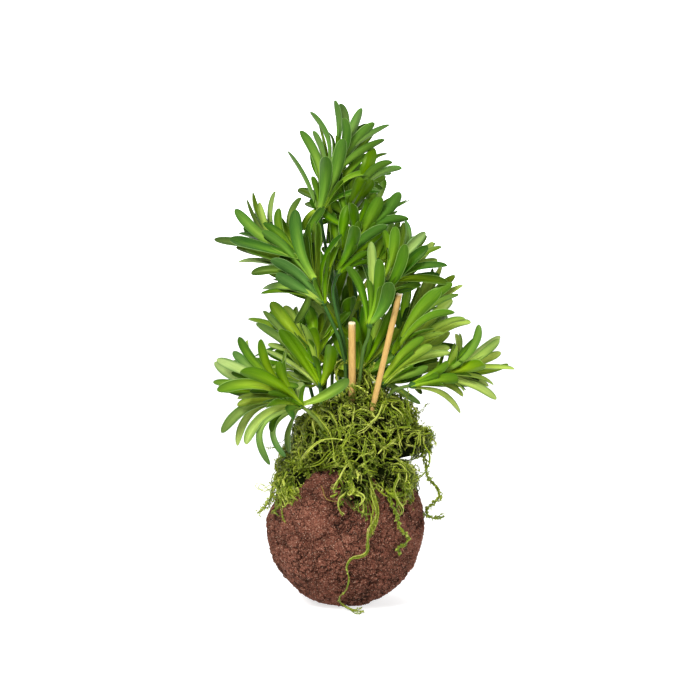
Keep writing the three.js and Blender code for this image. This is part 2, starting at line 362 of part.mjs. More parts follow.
      [-31.5, -24.4, 143.4, -52.7, -22.7, 155.3, -75.2, -21.9, 150.1, 0.06, -0.73, 0.68, 5.5],
      [-33.8, -28.7, 143.5, -52.3, -29.7, 155.5, -74.4, -44.1, 150.8, 0.34, -0.53, 0.78, 5.7],
      [-32.3, -26, 141.7, -53.5, -33.9, 153.4, -75.2, -32.2, 144.6, 0.16, -0.85, 0.51, 5.7],
      [-34.4, -26.2, 144, -67.2, -30.2, 155.7, -86.2, -27.8, 124.7, -0.08, -0.95, 0.29, 6.3],
      [-33.8, -25.4, 145.1, -70, -19.7, 149.3, -75.4, -22.1, 114.7, -0.36, -0.84, 0.41, 5.2],
      [-34.4, -27.4, 143.4, -59.6, -25.6, 142.7, -69, -34.1, 117.6, -0.05, -0.95, 0.32, 6.7],
      [-31.3, -28.2, 141.8, -73.7, -36.6, 137.6, -52.6, -30.6, 102.7, -0.52, -0.78, 0.33, 4.5],
      [-32, -27.2, 141.5, -62.5, -29.5, 131.7, -42.1, -19.2, 106.5, -0.71, -0.7, 0.05, 5.5],
      [-32.1, -25, 142.4, -42.1, -14, 126.9, -39.4, -17.5, 109, -0.52, -0.85, -0.08, 4.8],
      [-30.4, -28.7, 142.6, -45.4, -36.6, 143.7, -36.1, -72.4, 141.1, 0.47, -0.09, 0.88, 6],
      [-32.8, -29.5, 144.2, -43.5, -31.5, 148.8, -54, -60.1, 147.5, -0.78, 0.57, 0.26, 5.5],
      [-29.2, -27, 144.8, -13.7, -27.7, 148.9, 2.1, -30.4, 162.8, -0.23, -0.95, 0.21, 6.8],
      [-32.8, -25.4, 146.2, -28.3, -21.6, 147.3, -33, 0.4, 150.2, -0.62, -0.12, 0.77, 5.4],
    ],
  },
  left_low_2: {
    stem: "left_low",
    collar: [-40.29, -33.5, 152.4, -0.618, -0.475, 0.626],
    leaves: [
      [-40.6, -31.6, 153.6, -56, -32.3, 168.2, -58.4, -38.2, 191.5, -0.06, -0.98, -0.2, 5.6],
      [-40.3, -34.5, 150.2, -64, -47.7, 168.2, -88, -53.2, 157.9, 0.39, -0.89, 0.26, 6.6],
      [-38.1, -33.1, 153.4, -43.4, -17.7, 165.4, -41.6, -17.6, 181.4, -0.82, -0.53, 0.19, 5.7],
      [-42.6, -33, 151.9, -61.9, -32.8, 156.7, -85.4, -34, 154.6, 0.06, -0.72, 0.69, 5.6],
    ],
  },
  left_low_3: {
    stem: "left_low",
    collar: [-48.72, -40, 161.27, -0.608, -0.469, 0.641],
    leaves: [
      [-47.8, -38.9, 163, -64.7, -41.5, 173.8, -73.2, -43.3, 193.5, -0.04, -0.98, -0.17, 5.5],
      [-49.5, -38.5, 163, -66.9, -29.5, 169.8, -68, -24.9, 189.2, -0.84, -0.36, -0.4, 5.5],
      [-46.5, -39.8, 162.2, -58.9, -39.1, 170.2, -65.4, -31.2, 180.9, -0.64, -0.69, -0.33, 5.7],
      [-49.5, -37.8, 160.8, -65.2, -35.5, 168.8, -77.7, -34.3, 182.4, 0.14, -0.93, 0.33, 5.7],
      [-50.7, -40.9, 160.2, -68.1, -39.7, 169.7, -88.8, -40, 177.5, 0.11, -0.95, 0.28, 6.1],
      [-50.5, -39.1, 160.3, -73.4, -27, 156.9, -90.7, -28.6, 174.4, -0.11, -0.93, 0.36, 5.8],
      [-48.5, -41.2, 159.2, -70.5, -31.8, 157.4, -91.8, -28.9, 160.5, -0.21, -0.79, 0.58, 5.3],
    ],
  },
  upper_left_1: {
    stem: "upper_left",
    collar: [-15.98, -9, 213.93, -0.392, -0.134, 0.91],
    leaves: [
      [-17.2, -10.7, 213.2, -29.5, -16.8, 235.1, -51.4, -31.6, 245.7, -0.23, 0.91, 0.34, 7.3],
      [-16.6, -11.3, 214.3, -31.9, -21, 224.7, -47.9, -35.3, 235.7, -0.41, 0.84, 0.35, 6.7],
      [-17.7, -7.6, 213.4, -35.2, -20.8, 230.1, -51.6, -1.9, 228.9, 0.35, -0.31, 0.88, 5.6],
      [-17.5, -9.7, 212.2, -34.3, -34.9, 230.6, -58.8, 6, 221.5, -0.1, -0.69, 0.71, 5.4],
      [-18.4, -8.8, 213.9, -35.7, -8, 223.3, -58.6, -22.9, 221, 0.29, -0.41, 0.86, 5.3],
      [-14.8, -6.9, 213.8, -20.1, -8.1, 241.7, -19.1, -7.1, 269.5, -0.79, -0.61, -0.06, 5.3],
      [-13.9, -8.8, 214.8, -22.1, -11.3, 241.9, -2.7, -15.4, 261.5, -0.82, -0.56, 0.12, 5.2],
      [-14.7, -7.8, 215.6, -15.2, -6.9, 238.8, 0.7, -2, 258, -0.8, -0.48, 0.36, 5.5],
      [-13.7, -9.8, 213.8, -13.4, -10.9, 233.8, -6.2, -13.1, 252.7, -0.76, -0.64, 0.09, 5.3],
      [-14.3, -10.7, 213.4, -13.7, -14.2, 232.2, -11.3, -23.3, 250.1, -0.86, 0.46, 0.23, 5.4],
    ],
  },
  upper_left_2: {
    stem: "upper_left",
    collar: [-22.85, -13.5, 230.44, -0.426, -0.243, 0.871],
    leaves: [
      [-21.7, -15.4, 231.5, -36.2, -27.2, 253.9, -34.3, -26.5, 279.6, -0.1, -0.96, -0.25, 7.7],
      [-23.6, -15.4, 229.5, -37.6, -24.6, 251.2, -57.5, -31, 265.2, -0.14, 0.95, 0.29, 6.3],
      [-25.3, -13.5, 230.3, -42.7, -13.7, 248, -69.5, -23.4, 252.9, 0.3, -0.94, 0.18, 6.6],
      [-24.6, -12.2, 230, -46.6, -12.7, 245.6, -74.8, -12, 241.8, 0.21, -0.4, 0.9, 5.8],
      [-24.1, -14.3, 228.6, -43.1, -20.3, 240.8, -65.8, -14.1, 234.3, 0.07, -0.82, 0.56, 5.8],
      [-20.5, -13, 230.7, -25.4, -14.5, 249.9, -25.2, -16.9, 269.6, -0.5, -0.85, -0.15, 5.4],
      [-21.5, -12.1, 231.5, -21.4, -13.5, 250, -21.4, -10.2, 270.5, -0.87, -0.5, 0.03, 5.8],
      [-22.9, -11.6, 232, -29.3, -11.8, 245.3, -28.5, -2.1, 262.2, -0.67, -0.73, 0.1, 5.7],
      [-23.4, -11.2, 229.8, -48.5, -4.1, 243.6, -76.4, -6, 251.7, 0.29, -0.49, 0.82, 5.5],
    ],
  },
  upper_left_3: {
    stem: "upper_left",
    collar: [-31.74, -18, 246.15, -0.478, -0.242, 0.844],
    leaves: [
      [-33.8, -19.2, 245.7, -58.4, -20.8, 256.5, -76.4, -20.2, 279.5, 0.19, -0.96, 0.21, 6.6],
      [-32.9, -16.1, 246.1, -61.9, -15.2, 256.9, -68.4, -15.5, 285.7, 0.62, -0.54, 0.57, 4.6],
      [-31.7, -15.6, 245.8, -64.5, -10.7, 262.4, -64.5, -13.1, 290.8, 0.76, -0.32, 0.57, 5.8],
      [-33.8, -16.8, 246.4, -59.1, -18.5, 257, -59.9, -17.3, 284.1, 0.56, -0.74, 0.38, 5.7],
      [-30.6, -16.4, 247.2, -59.6, -10.3, 264, -48.6, -11.5, 291.3, -0.82, -0.49, -0.28, 5.4],
      [-31.8, -16.2, 247.7, -47.9, -20.9, 259.6, -46.1, -16, 279.9, -0.47, -0.86, -0.2, 5.5],
      [-29.6, -17, 246.6, -46.2, -9.5, 267.1, -31.2, -1.5, 286.1, -0.53, -0.8, 0.29, 5.3],
      [-32.4, -19.5, 244.3, -41.6, -19.8, 261.7, -56.9, -29.1, 270.2, 0.59, -0.75, 0.28, 5.3],
      [-33.2, -17.1, 244.5, -51.7, -15.1, 256.6, -74.5, -8.8, 261.7, 0.29, -0.39, 0.87, 5.8],
      [-33.7, -18.1, 245, -60.7, -9.6, 253.4, -91.4, -11.9, 257.8, -0.01, -0.92, 0.39, 5.2],
      [-31.9, -20.1, 245.4, -56.1, -22.8, 252.2, -80.1, -24.6, 259.2, 0.17, -0.95, 0.27, 7],
    ],
  },
  centre_1: {
    stem: "centre",
    collar: [-4.82, 18, 187.94, 0.2, 0.055, 0.978],
    leaves: [
      [-4.1, 15.9, 189.4, 0.2, 11.6, 201.2, 4.2, -4.2, 216.9, 0.03, 0.81, 0.58, 8.1],
      [-3, 18.6, 186, 8.7, 22.4, 205.7, 1.6, 21.5, 229.4, 0.56, -0.82, -0.01, 5.2],
      [-2.5, 17.1, 189.1, 2.3, 17.1, 199.9, 10.2, 14.3, 212.5, -0.68, 0.59, 0.44, 5.5],
      [-7.3, 18.3, 186.9, -15.7, 21.4, 198.3, -24.2, 33.7, 210.8, -0.04, -0.85, 0.52, 6.4],
      [-3.3, 16.7, 186.2, 3.4, 16.3, 196, 5.6, 11, 206.9, -0.76, 0.47, 0.45, 5.2],
      [-6.7, 18.1, 189.9, -13.7, 18.3, 183.2, -17.7, 24.3, 194, -0.23, -0.79, 0.57, 5.2],
    ],
  },
  centre_low_1: {
    stem: "centre_low",
    collar: [8.83, 2, 164.4, 0.053, -0.048, 0.997],
    leaves: [
      [8.5, -0.3, 165.8, 10.1, 0.3, 174.8, 9.1, -10.9, 187.6, 0.73, 0.62, 0.28, 5.2],
      [10.4, 0.2, 165.7, 19.6, 2.2, 181.4, 23.7, -7.4, 202.6, -0.07, 0.97, 0.23, 6.6],
      [9.2, -0.1, 162.8, 25.1, -3.4, 184.7, 31.3, -12.4, 208.7, -0.02, 0.96, 0.27, 5.3],
      [10.3, 3.7, 165.9, 26.4, 6.4, 186.7, 37.1, 6.1, 214.4, -0.2, -0.97, 0.16, 6.4],
      [6.8, 1.1, 166, -0.6, 1.3, 174.7, -2.1, -3.8, 190.9, 0.24, 0.93, 0.27, 5.3],
      [6.9, 0.8, 162.9, 8.5, 1, 184.2, 4.9, -5, 203, 0.18, 0.97, 0.15, 6.7],
      [8.7, 4.3, 163, 12.3, 2.2, 189.6, 14.7, 6.8, 213.7, -0.2, -0.98, 0.07, 6.4],
      [6.5, 2.5, 163, -2.3, 2.6, 176.7, -8.4, 5.8, 191.9, 0.17, -0.96, 0.2, 6.4],
      [10.6, 0.7, 162.7, 22.7, -2.4, 166.4, 40.2, -0.4, 181.3, -0.18, -0.96, 0.23, 6],
      [11, 2.3, 162.8, 30.5, 3.1, 153.4, 52.3, 0.3, 141, 0.39, -0.49, 0.78, 4.9],
      [7, 3, 166.1, -5.2, 4.2, 163.3, -14.1, 14.3, 176, -0.24, -0.86, 0.45, 5.7],
      [11.2, 2, 165.8, 26.9, 4.3, 178.7, 41.1, -10.1, 200.1, 0.09, 0.96, 0.26, 5.7],
      [10.2, 3.8, 162.9, 21.5, 3, 159, 34.5, 10.3, 165.2, 0.12, -0.7, 0.71, 5.3],
    ],
  },
  back_upper_1: {
    stem: "back_upper",
    collar: [-3, 34, 196, -0.021, 0.342, 0.94],
    leaves: [
      [-5.1, 34.3, 194.9, -14.5, 34.4, 204.8, -27.3, 72.8, 202.2, 0.35, -0.26, 0.9, 7],
      [-4, 36.2, 196.2, -3.1, 59.7, 203.5, -2.9, 83.2, 199.1, -0.03, -0.34, 0.94, 6.4],
      [-2.9, 36.1, 195.2, -2.5, 66, 195.7, 3, 91.6, 200, -0.4, -0.43, 0.81, 7.2],
      [-1.9, 35.5, 194.5, -1.2, 65.4, 195.3, 10.8, 89.2, 203.9, -0.76, -0.11, 0.65, 6.6],
      [-2.1, 32.4, 197.6, 4.8, 17.5, 220.3, 15, 25.1, 235.2, -0.3, 0.85, 0.43, 7.1],
      [-3.1, 31.9, 196.8, -4, 2.5, 199.3, -16.5, 7.8, 235.2, 0.22, 0.91, 0.36, 7],
      [-4, 31.9, 195.8, -4.4, 2.5, 196, -25.6, -9.2, 222.4, 0.4, 0.76, 0.51, 6.7],
      [-4.8, 33.1, 197.2, -20.7, 29.2, 214.4, -43.3, 31.6, 223.3, 0.75, 0.34, 0.56, 6.7],
      [-5.2, 33.7, 196.1, -20.1, 34.2, 213.3, -42.5, 46.9, 220.3, 0.77, 0.01, 0.64, 6.5],
    ],
  },
  back_upper_2: {
    stem: "back_upper",
    collar: [-5, 45, 209, -0.118, 0.661, 0.741],
    leaves: [
      [-5.3, 43.9, 211.1, -5.5, 17.9, 221.9, -4.4, 19.5, 255.2, -0.19, 0.94, -0.28, 6.9],
      [-6.2, 43.5, 210.1, -13.6, 56.3, 231.9, -27.6, 59.1, 253.9, 0.58, 0.77, -0.26, 6.5],
      [-6.8, 43.4, 208.9, -20.9, 44.5, 226.7, -41.9, 48.9, 238.4, 0.73, 0.64, 0.24, 6.5],
      [-7, 45.5, 208.2, -18.5, 59.8, 222.7, -38.1, 74.1, 228, 0.84, 0.12, 0.53, 6.6],
      [-7.3, 45.3, 209.6, -18, 49.4, 216.6, -34, 74.7, 212.9, 0.51, -0.08, 0.86, 6.9],
      [-5.2, 46, 206.9, -8.7, 65.4, 218.4, -12.5, 88.5, 217.5, 0.07, -0.47, 0.88, 6.8],
      [-4.3, 47.2, 208.4, -2.3, 71.2, 217.2, 3.7, 95.3, 214.3, -0.39, -0.32, 0.86, 7],
      [-3.1, 46, 208.4, 4, 64.6, 220.9, 18.8, 82.4, 224.3, -0.81, -0.08, 0.58, 6.5],
      [-2.7, 44.7, 208.4, 3.8, 60.9, 226.3, 20.6, 73.8, 237.9, -0.96, 0.16, 0.22, 6.6],
      [-3, 44.5, 209.8, 1, 58.3, 229.6, 14.8, 67.2, 247.9, -0.89, 0.45, -0.12, 6.8],
      [-4, 43, 209.8, -3.6, 15.2, 216.9, 3.5, 23.7, 257.9, -0.37, 0.9, -0.22, 7.2],
    ],
  },
  back_left_1: {
    stem: "back_left",
    collar: [-27, 30, 152, -0.414, 0.552, 0.724],
    leaves: [
      [-27, 28.9, 154.1, -32.8, 24.9, 175.8, -35, 11.3, 194.8, -0.33, 0.94, 0.06, 6.6],
      [-27.6, 28.2, 153.1, -37.5, 27.2, 175.7, -45.7, 14.8, 195.5, -0.14, 0.99, -0.02, 6.6],
      [-28.4, 28.3, 151.2, -51.1, 27.8, 163.2, -74.1, 18.2, 165.3, 0.25, 0.78, 0.57, 6.7],
      [-29.4, 30.1, 151.8, -51.8, 35.1, 156.7, -75.3, 34.5, 151.7, 0.32, 0.54, 0.78, 7.3],
      [-28.6, 30.7, 150.6, -48.9, 46.8, 153.3, -69.3, 59.3, 143, 0.24, 0.14, 0.96, 6.2],
      [-27.4, 30.9, 149.8, -41.7, 53.6, 152.4, -53.5, 74.2, 141.1, -0.03, -0.11, 0.99, 6.2],
      [-27, 32.3, 151.5, -31, 54.6, 155.2, -30.8, 77.2, 148.4, -0.41, -0.25, 0.88, 6.5],
      [-25.5, 31.6, 151.7, -17.7, 54.6, 162.2, -1.7, 75.6, 162.5, -0.79, -0.02, 0.61, 6.8],
      [-24.7, 30.4, 151.8, -13.4, 49.4, 167.4, 6.6, 61.6, 174.3, -0.87, 0.23, 0.45, 6.9],
      [-25.1, 29.9, 153.2, -17.8, 37.3, 174, -1.4, 39.6, 190.3, -0.88, 0.46, 0.14, 7.1],
      [-25.3, 28.5, 152.8, -20.8, 30.2, 176.9, -8, 22.9, 196.4, -0.73, 0.67, 0.1, 7.1],
    ],
  },
  back_left_2: {
    stem: "back_left",
    collar: [-35, 41, 161, -0.495, 0.679, 0.543],
    leaves: [
      [-33.9, 43.1, 161, -34.6, 65, 168, -27, 87.4, 167.8, -0.84, -0.21, 0.51, 6.5],
      [-33.1, 41.9, 161.6, -32.6, 60.5, 176.7, -21.2, 77.8, 188.8, -1, 0.02, 0.01, 7.2],
      [-32.8, 40.6, 161.8, -35.3, 57.2, 182.7, -26.6, 68, 203.9, -0.89, 0.32, -0.33, 7.2],
      [-33.8, 40.4, 162.8, -33.3, 50.2, 184.4, -22.6, 51.6, 206.4, -0.87, 0.42, -0.26, 7.4],
      [-34.4, 39.1, 162.3, -45.6, 51.5, 179.5, -54.2, 54.8, 200.8, -0.18, 0.75, -0.64, 6.3],
      [-36.1, 40.4, 159, -56.6, 58.4, 162.7, -78, 61.8, 155.9, 0.4, 0.48, 0.78, 6.3],
      [-37.2, 40.3, 161.5, -59.4, 41.7, 166.2, -84.6, 46.8, 162.7, 0.46, 0.62, 0.63, 7.3],
      [-36.9, 40.3, 160.2, -59.1, 51.8, 166, -84.4, 56.9, 161.6, 0.48, 0.55, 0.68, 6.2],
      [-36.4, 42.4, 159.7, -53.8, 60.8, 160.1, -71.5, 71.3, 149.6, 0.24, 0.21, 0.95, 7.3],
      [-35, 42.4, 159.3, -48, 61.6, 162.2, -58.8, 80.3, 153.3, -0.02, -0.17, 0.98, 6.2],
      [-33.7, 42, 159.3, -43.5, 62.7, 168.9, -46.9, 86.4, 168, -0.48, -0.54, 0.69, 7.3],
    ],
  },
  back_low_1: {
    stem: "back_low",
    collar: [14, 46, 151, 0.136, 0.597, 0.791],
    leaves: [
      [16, 45.1, 149.4, 28.2, 61.2, 167.9, 48.3, 64.5, 178.5, -0.83, 0.46, 0.31, 7.1],
      [15.5, 43.9, 150.4, 31.9, 49, 172, 53.2, 54.2, 185.4, -0.52, 0.8, 0.3, 6.8],
      [15, 45.2, 153.3, 22.4, 42.8, 176, 31.5, 30, 195.5, -0.15, 0.98, 0.11, 7.2],
      [13.4, 43.4, 151.2, 15.7, 54.3, 173.2, 15.4, 54.5, 196.3, 0.22, 0.87, -0.44, 7.2],
      [11.9, 44.4, 150.7, -6.1, 44.2, 168.6, -29.1, 38.6, 176.4, 0.57, 0.63, 0.52, 6.8],
      [12, 46.9, 152.6, 11.4, 59.8, 170.2, 0.2, 72, 186.7, 0.99, 0.09, -0.04, 6.5],
      [12.8, 48.3, 151.3, 7.1, 71.5, 164.8, -6, 87.4, 170.8, 0.82, -0.21, 0.54, 6.3],
      [12.2, 46.4, 149.1, 4.6, 64.2, 154.2, -7.5, 87.5, 146.2, 0.45, -0, 0.89, 6.8],
      [13.7, 46.9, 148.5, 16.6, 70.3, 164.1, 18.3, 91.9, 167.4, 0.08, -0.63, 0.77, 6.4],
      [15.1, 48.4, 150.9, 21.4, 65.4, 160.8, 29.8, 91, 158.7, -0.21, -0.38, 0.9, 6.5],
      [15.2, 46.3, 148.7, 28.3, 66.5, 156.1, 43.9, 83.9, 150.4, -0.41, -0.02, 0.91, 6.8],
      [16.3, 47.2, 151.6, 26.8, 62, 167, 46.3, 76.2, 174.4, -0.85, 0.02, 0.53, 6.7],
    ],
  },
  back_side_1: {
    stem: "back_side",
    collar: [38, 28, 168, 0.292, 0.319, 0.902],
    leaves: [
      [40.1, 27.1, 169.3, 51.9, 28.2, 189.5, 72.2, 19, 204.6, -0.76, 0.57, 0.29, 6.4],
      [38.6, 25.6, 167, 46, 0.5, 179.8, 61.6, -13, 196.7, -0.26, 0.9, 0.35, 7.1],
      [36.8, 27.3, 170.3, 31.4, 25.1, 192.8, 18.1, 16.6, 211.2, 0.74, 0.63, 0.21, 6.5],
      [35.5, 27.1, 167.4, 26.8, 30.5, 190, 9, 31.3, 204.4, 0.84, 0.42, 0.35, 6.3],
      [36.4, 29.1, 169.8, 33.1, 39.6, 192.1, 18.6, 51.8, 210.2, 0.97, -0.15, 0.19, 6.7],
      [35.7, 28.7, 166.8, 33.2, 41.5, 188.1, 20.9, 56.8, 201.3, 0.89, -0.33, 0.33, 6.3],
      [37.5, 30.4, 169, 34.1, 45.1, 178.4, 26.2, 69.8, 177.7, 0.49, -0.34, 0.8, 6.5],
      [37.8, 29.6, 165.8, 45.2, 43.4, 183.8, 51.2, 62.1, 190.2, 0.04, -0.74, 0.67, 6.5],
      [39.9, 29.9, 168.4, 51.3, 41.5, 183.3, 65.8, 64.2, 187.1, -0.29, -0.55, 0.78, 7.2],
      [39.2, 28.6, 165.7, 59.4, 40.9, 173.6, 79.9, 51.6, 167.8, -0.31, -0.01, 0.95, 7.1],
      [39.6, 27.1, 166.1, 56.7, 34.9, 186.7, 81.2, 39.1, 195.3, -0.78, 0.19, 0.6, 6.7],
    ],
  },
};

// ---- moss strands ------------------------------------------------------------
// Bunches of fibres that hang from the cap. The front one reaches the floor.
const STRANDS = {
  moss_strand_front: [[14.6, -31.3, 99.3], [17.3, -41.2, 89.8], [20, -47.7, 79.4], [20.7, -51.9, 69.3], [16.2, -55.5, 60.5], [14.5, -56.6, 53.5], [14.8, -56.3, 47.2], [11.4, -56.5, 43], [4.2, -57.3, 41.8], [0.4, -56.1, 36], [1.9, -52.6, 26.9], [0, -47.4, 18.1], [-4.5, -41.7, 11.6], [-3.5, -35.6, 6], [2.8, -36, 1.9], [12.5, -43, 1.5]],
  moss_strand_right: [[29.1, -34.6, 88.7], [31.1, -41.6, 78.3], [34.5, -42.7, 71.2], [38, -43.4, 59.4], [42.6, -39.5, 53], [41.5, -40.5, 48.7], [36.6, -44.9, 47.8], [36.6, -44, 42.2]],
  moss_strand_left: [[-44, -14, 95], [-48.9, -16, 91.1], [-50.3, -17, 82.8], [-52.7, -18, 76.6], [-56.2, -17, 70.8], [-61.2, -16, 66.3]],
  moss_strand_dangling: [[50.8, -7, 112.3], [53.9, -8, 108.2], [56, -9, 98.5], [57.8, -10, 90.1], [62.7, -11, 83.9], [66, -12, 77], [61.6, -12, 72], [56.8, -11, 67.9], [57.2, -9, 62.9], [63.2, -8, 61.3], [68.5, -8, 62.7]],
};

// ---- materials ---------------------------------------------------------------
const material = (color, roughness) => new THREE.MeshStandardMaterial({ color, roughness, metalness: 0 });
const LEAF = material(0x5f9a2c, 0.42);
const STEM = material(0x4c7d4b, 0.45);
const SOIL = material(0x4a2a20, 0.95);
const MOSS = material(0x6f7f27, 0.9);
const BAMBOO = material(0xd9a96c, 0.6);

// ---- helpers -----------------------------------------------------------------
const wasm = await Module();
wasm.setup();
const { Manifold, Mesh } = wasm;
const V = (a) => new THREE.Vector3(a[0], a[1], a[2]);

function toSolid(geometry) {
  const g = geometry.clone();
  g.deleteAttribute("normal");
  g.deleteAttribute("uv");
  const merged = mergeVertices(g, 1e-3);
  const make = (index) =>
    new Manifold(
      new Mesh({
        numProp: 3,
        vertProperties: new Float32Array(merged.attributes.position.array),
        triVerts: new Uint32Array(index),
      }),
    );
  const index = Array.from(merged.index.array);
  const made = make(index);
  if (made.volume() >= 0) return made;
  for (let i = 0; i < index.length; i += 3) [index[i + 1], index[i + 2]] = [index[i + 2], index[i + 1]];
  return make(index);
}

function toGeometry(solid) {
  const m = solid.getMesh();
  const n = m.numProp;
  const position = new Float32Array(m.numVert * 3);
  for (let i = 0; i < m.numVert; i++) position.set(m.vertProperties.subarray(i * n, i * n + 3), i * 3);
  const g = new THREE.BufferGeometry();
  g.setAttribute("position", new THREE.BufferAttribute(position, 3));
  g.setIndex(new THREE.BufferAttribute(new Uint32Array(m.triVerts), 1));
  g.computeVertexNormals();
  return g;
}

function ring(radius, sides) {
  const shape = new THREE.Shape();
  for (let k = 0; k < sides; k++) {
    const a = (2 * Math.PI * k) / sides;
    if (k) shape.lineTo(radius * Math.cos(a), radius * Math.sin(a));
    else shape.moveTo(radius, 0);
  }
  shape.closePath();
  return shape;
}

function tube(points, radius, sides, steps) {
  const path = new THREE.CatmullRomCurve3(points.map(V), false, "centripetal");
  return toSolid(new THREE.ExtrudeGeometry(ring(radius, sides), { steps, extrudePath: path, bevelEnabled: false }));
}

// A cylinder from one point to another.
function rod(from, to, radius, sides) {
  const a = V(from);
  const b = V(to);
  const g = new THREE.CylinderGeometry(radius, radius, a.distanceTo(b), sides);
  const q = new THREE.Quaternion().setFromUnitVectors(new THREE.Vector3(0, 1, 0), b.clone().sub(a).normalize());
  g.applyQuaternion(q);
  g.translate((a.x + b.x) / 2, (a.y + b.y) / 2, (a.z + b.z) / 2);
  return toSolid(g);
}

// Soft unevenness in a direction, about -1 to 1.
function lumps(x, y, z, k) {
  return (
    (Math.sin(3.1 * x * k + 1.3) * Math.cos(2.7 * y * k - 0.6) +
      Math.sin(4.3 * y * k + 2.1) * Math.cos(3.7 * z * k + 0.4) +
      Math.sin(3.9 * z * k - 1.1) * Math.cos(4.1 * x * k + 1.7)) /
    2.2
  );
}

function ballGeometry(extra) {
  const g = new THREE.IcosahedronGeometry(1, 4);
  const p = g.attributes.position;
  for (let i = 0; i < p.count; i++) {
    const x = p.getX(i);
    const y = p.getY(i);
    const z = p.getZ(i);
    const r = BALL_RADIUS + extra + CLOD_HEIGHT * lumps(x, y, z, 1.25);
    const height = BALL_CENTRE_HEIGHT + r * z;
    p.setXYZ(i, r * x, r * y, Math.max(height, 0));
  }
  return g;
}

// The clump of lobes, each one grown outwards by extra.
function mossSolid(extra) {
  const lobes = MOSS_LOBES.map(([cx, cy, cz, rx, ry, rz], k) => {
    const g = new THREE.IcosahedronGeometry(1, 3);
    const p = g.attributes.position;
    for (let i = 0; i < p.count; i++) {
      const x = p.getX(i);
      const y = p.getY(i);
      const z = p.getZ(i);
      const r = 1 + MOSS_UNEVEN * lumps(x + k, y, z, 1.4);
      p.setXYZ(i, cx + (rx * r + extra) * x, cy + (ry * r + extra) * y, cz + (rz * r + extra) * z);
    }
    return toSolid(g);
  });
  return Manifold.union(lobes);
}

// A leaf, or with extra the space it needs round it.
function leafSolid(row, extra = 0) {
  const start = V(row.slice(0, 3));
  const bend = V(row.slice(3, 6));
  const tip = V(row.slice(6, 9));
  const up = V(row.slice(9, 12));
  const width = row[12];
  const line = new THREE.QuadraticBezierCurve3(start, bend, tip);
  const points = [];
  LEAF_STATIONS.forEach(([t, share], i) => {
    const c = line.getPoint(t);
    const along = line.getTangent(t);
    const n = up.clone().addScaledVector(along, -up.dot(along)).normalize();
    const side = along.clone().cross(n);
    const half = (width * share) / 2 + extra;
    const cup = LEAF_CUP * width * share + extra;
    points.push(c.clone().addScaledVector(side, half).addScaledVector(n, cup));
    points.push(c.clone().addScaledVector(side, -half).addScaledVector(n, cup));
    points.push(c.clone().addScaledVector(n, -LEAF_THICKNESS * (i ? 1 : 0.75) - 2 * extra));
  });
  points.push(tip.clone().addScaledVector(line.getTangent(1), 2 * extra));
  const index = [0, 2, 1];
  const last = LEAF_STATIONS.length - 1;
  for (let i = 0; i < last; i++)
    for (let k = 0; k < 3; k++) {
      const a = i * 3 + k;
      const b = i * 3 + ((k + 1) % 3);
      index.push(a, b, b + 3, a, b + 3, a + 3);
    }
  for (let k = 0; k < 3; k++) index.push(last * 3 + k, last * 3 + ((k + 1) % 3), last * 3 + 3);
  const g = new THREE.BufferGeometry().setFromPoints(points);
  g.setIndex(index);
  return toSolid(g);
}

function collarSolid(row, extra = 0) {
  const r = COLLAR_DIAMETER / 2 + extra * 1.2;
  const h = COLLAR_HEIGHT / 2 + extra;
  const profile = [
    [0, -h],
    [r * 0.82, -h],
    [r, -h * 0.3],
    [r * 0.9, h],
    [0, h],
  ].map(([x, y]) => new THREE.Vector2(x, y));
  const g = new THREE.LatheGeometry(profile, COLLAR_SIDES);
  const q = new THREE.Quaternion().setFromUnitVectors(new THREE.Vector3(0, 1, 0), V(row.slice(3, 6)).normalize());
  g.applyQuaternion(q);
  g.translate(row[0], row[1], row[2]);
  return toSolid(g);
}

// The piece that holds nearly all of a cut solid; specks left by a cut are dropped.
function largest(solid) {
  return solid.decompose().reduce((a, b) => (b.volume() > a.volume() ? b : a));
}

// ---- building ----------------------------------------------------------------
const plant = new THREE.Group();
const put = (name, solid, mat) => {
  const mesh = new THREE.Mesh(toGeometry(solid), mat);
  mesh.name = name;
  plant.add(mesh);
};

const stemSteps = (points) => Math.max(6, points.length + 1);
const stemTube = (name, extra, stretch) => {
  const points = STEMS[name].map((p) => p.slice());
  if (stretch) points[0] = V(points[0]).add(V(points[0]).sub(V(points[1])).setLength(stretch)).toArray();
  return tube(points, STEM_DIAMETER / 2 + extra, STEM_SIDES, stemSteps(points));
};

const stick = ({ diameter, top, through }, extra, below) => {
  const down = V(through).sub(V(top)).normalize();
  const foot = V(through).addScaledVector(down, STICK_DEPTH + below).toArray();
  return rod(top, foot, diameter / 2 + extra, STICK_SIDES);
};

// Everything that pushes through the moss and into the soil, with its clearance.
let holes = stick(STICK_LEFT, GAP, GAP).add(stick(STICK_RIGHT, GAP, GAP));
for (const name of Object.keys(STEMS)) holes = holes.add(stemTube(name, GAP, GAP));

const ball = toSolid(ballGeometry(0));
put("soil_ball", largest(ball.subtract(holes)), SOIL);
// The moss gives way to the leaves that rest on it.
const leafRoom = Manifold.union(
  Object.values(WHORLS).flatMap((w) => [collarSolid(w.collar, GAP), ...w.leaves.map((row) => leafSolid(row, GAP))]),
);
const cap = largest(mossSolid(0).subtract(toSolid(ballGeometry(GAP))).subtract(holes).subtract(leafRoom));
put("moss_cap", cap, MOSS);
put("stick_left", stick(STICK_LEFT, 0, 0), BAMBOO);
put("stick_right", stick(STICK_RIGHT, 0, 0), BAMBOO);
for (const name of Object.keys(STEMS)) put("stem_" + name, stemTube(name, 0, 0), STEM);
const capRoom = mossSolid(GAP).add(toSolid(ballGeometry(GAP)));
for (const [name, points] of Object.entries(STRANDS))
  put(name, largest(tube(points, STRAND_DIAMETER[name] / 2, 5, points.length * 2).subtract(capRoom).subtract(leafRoom)), MOSS);

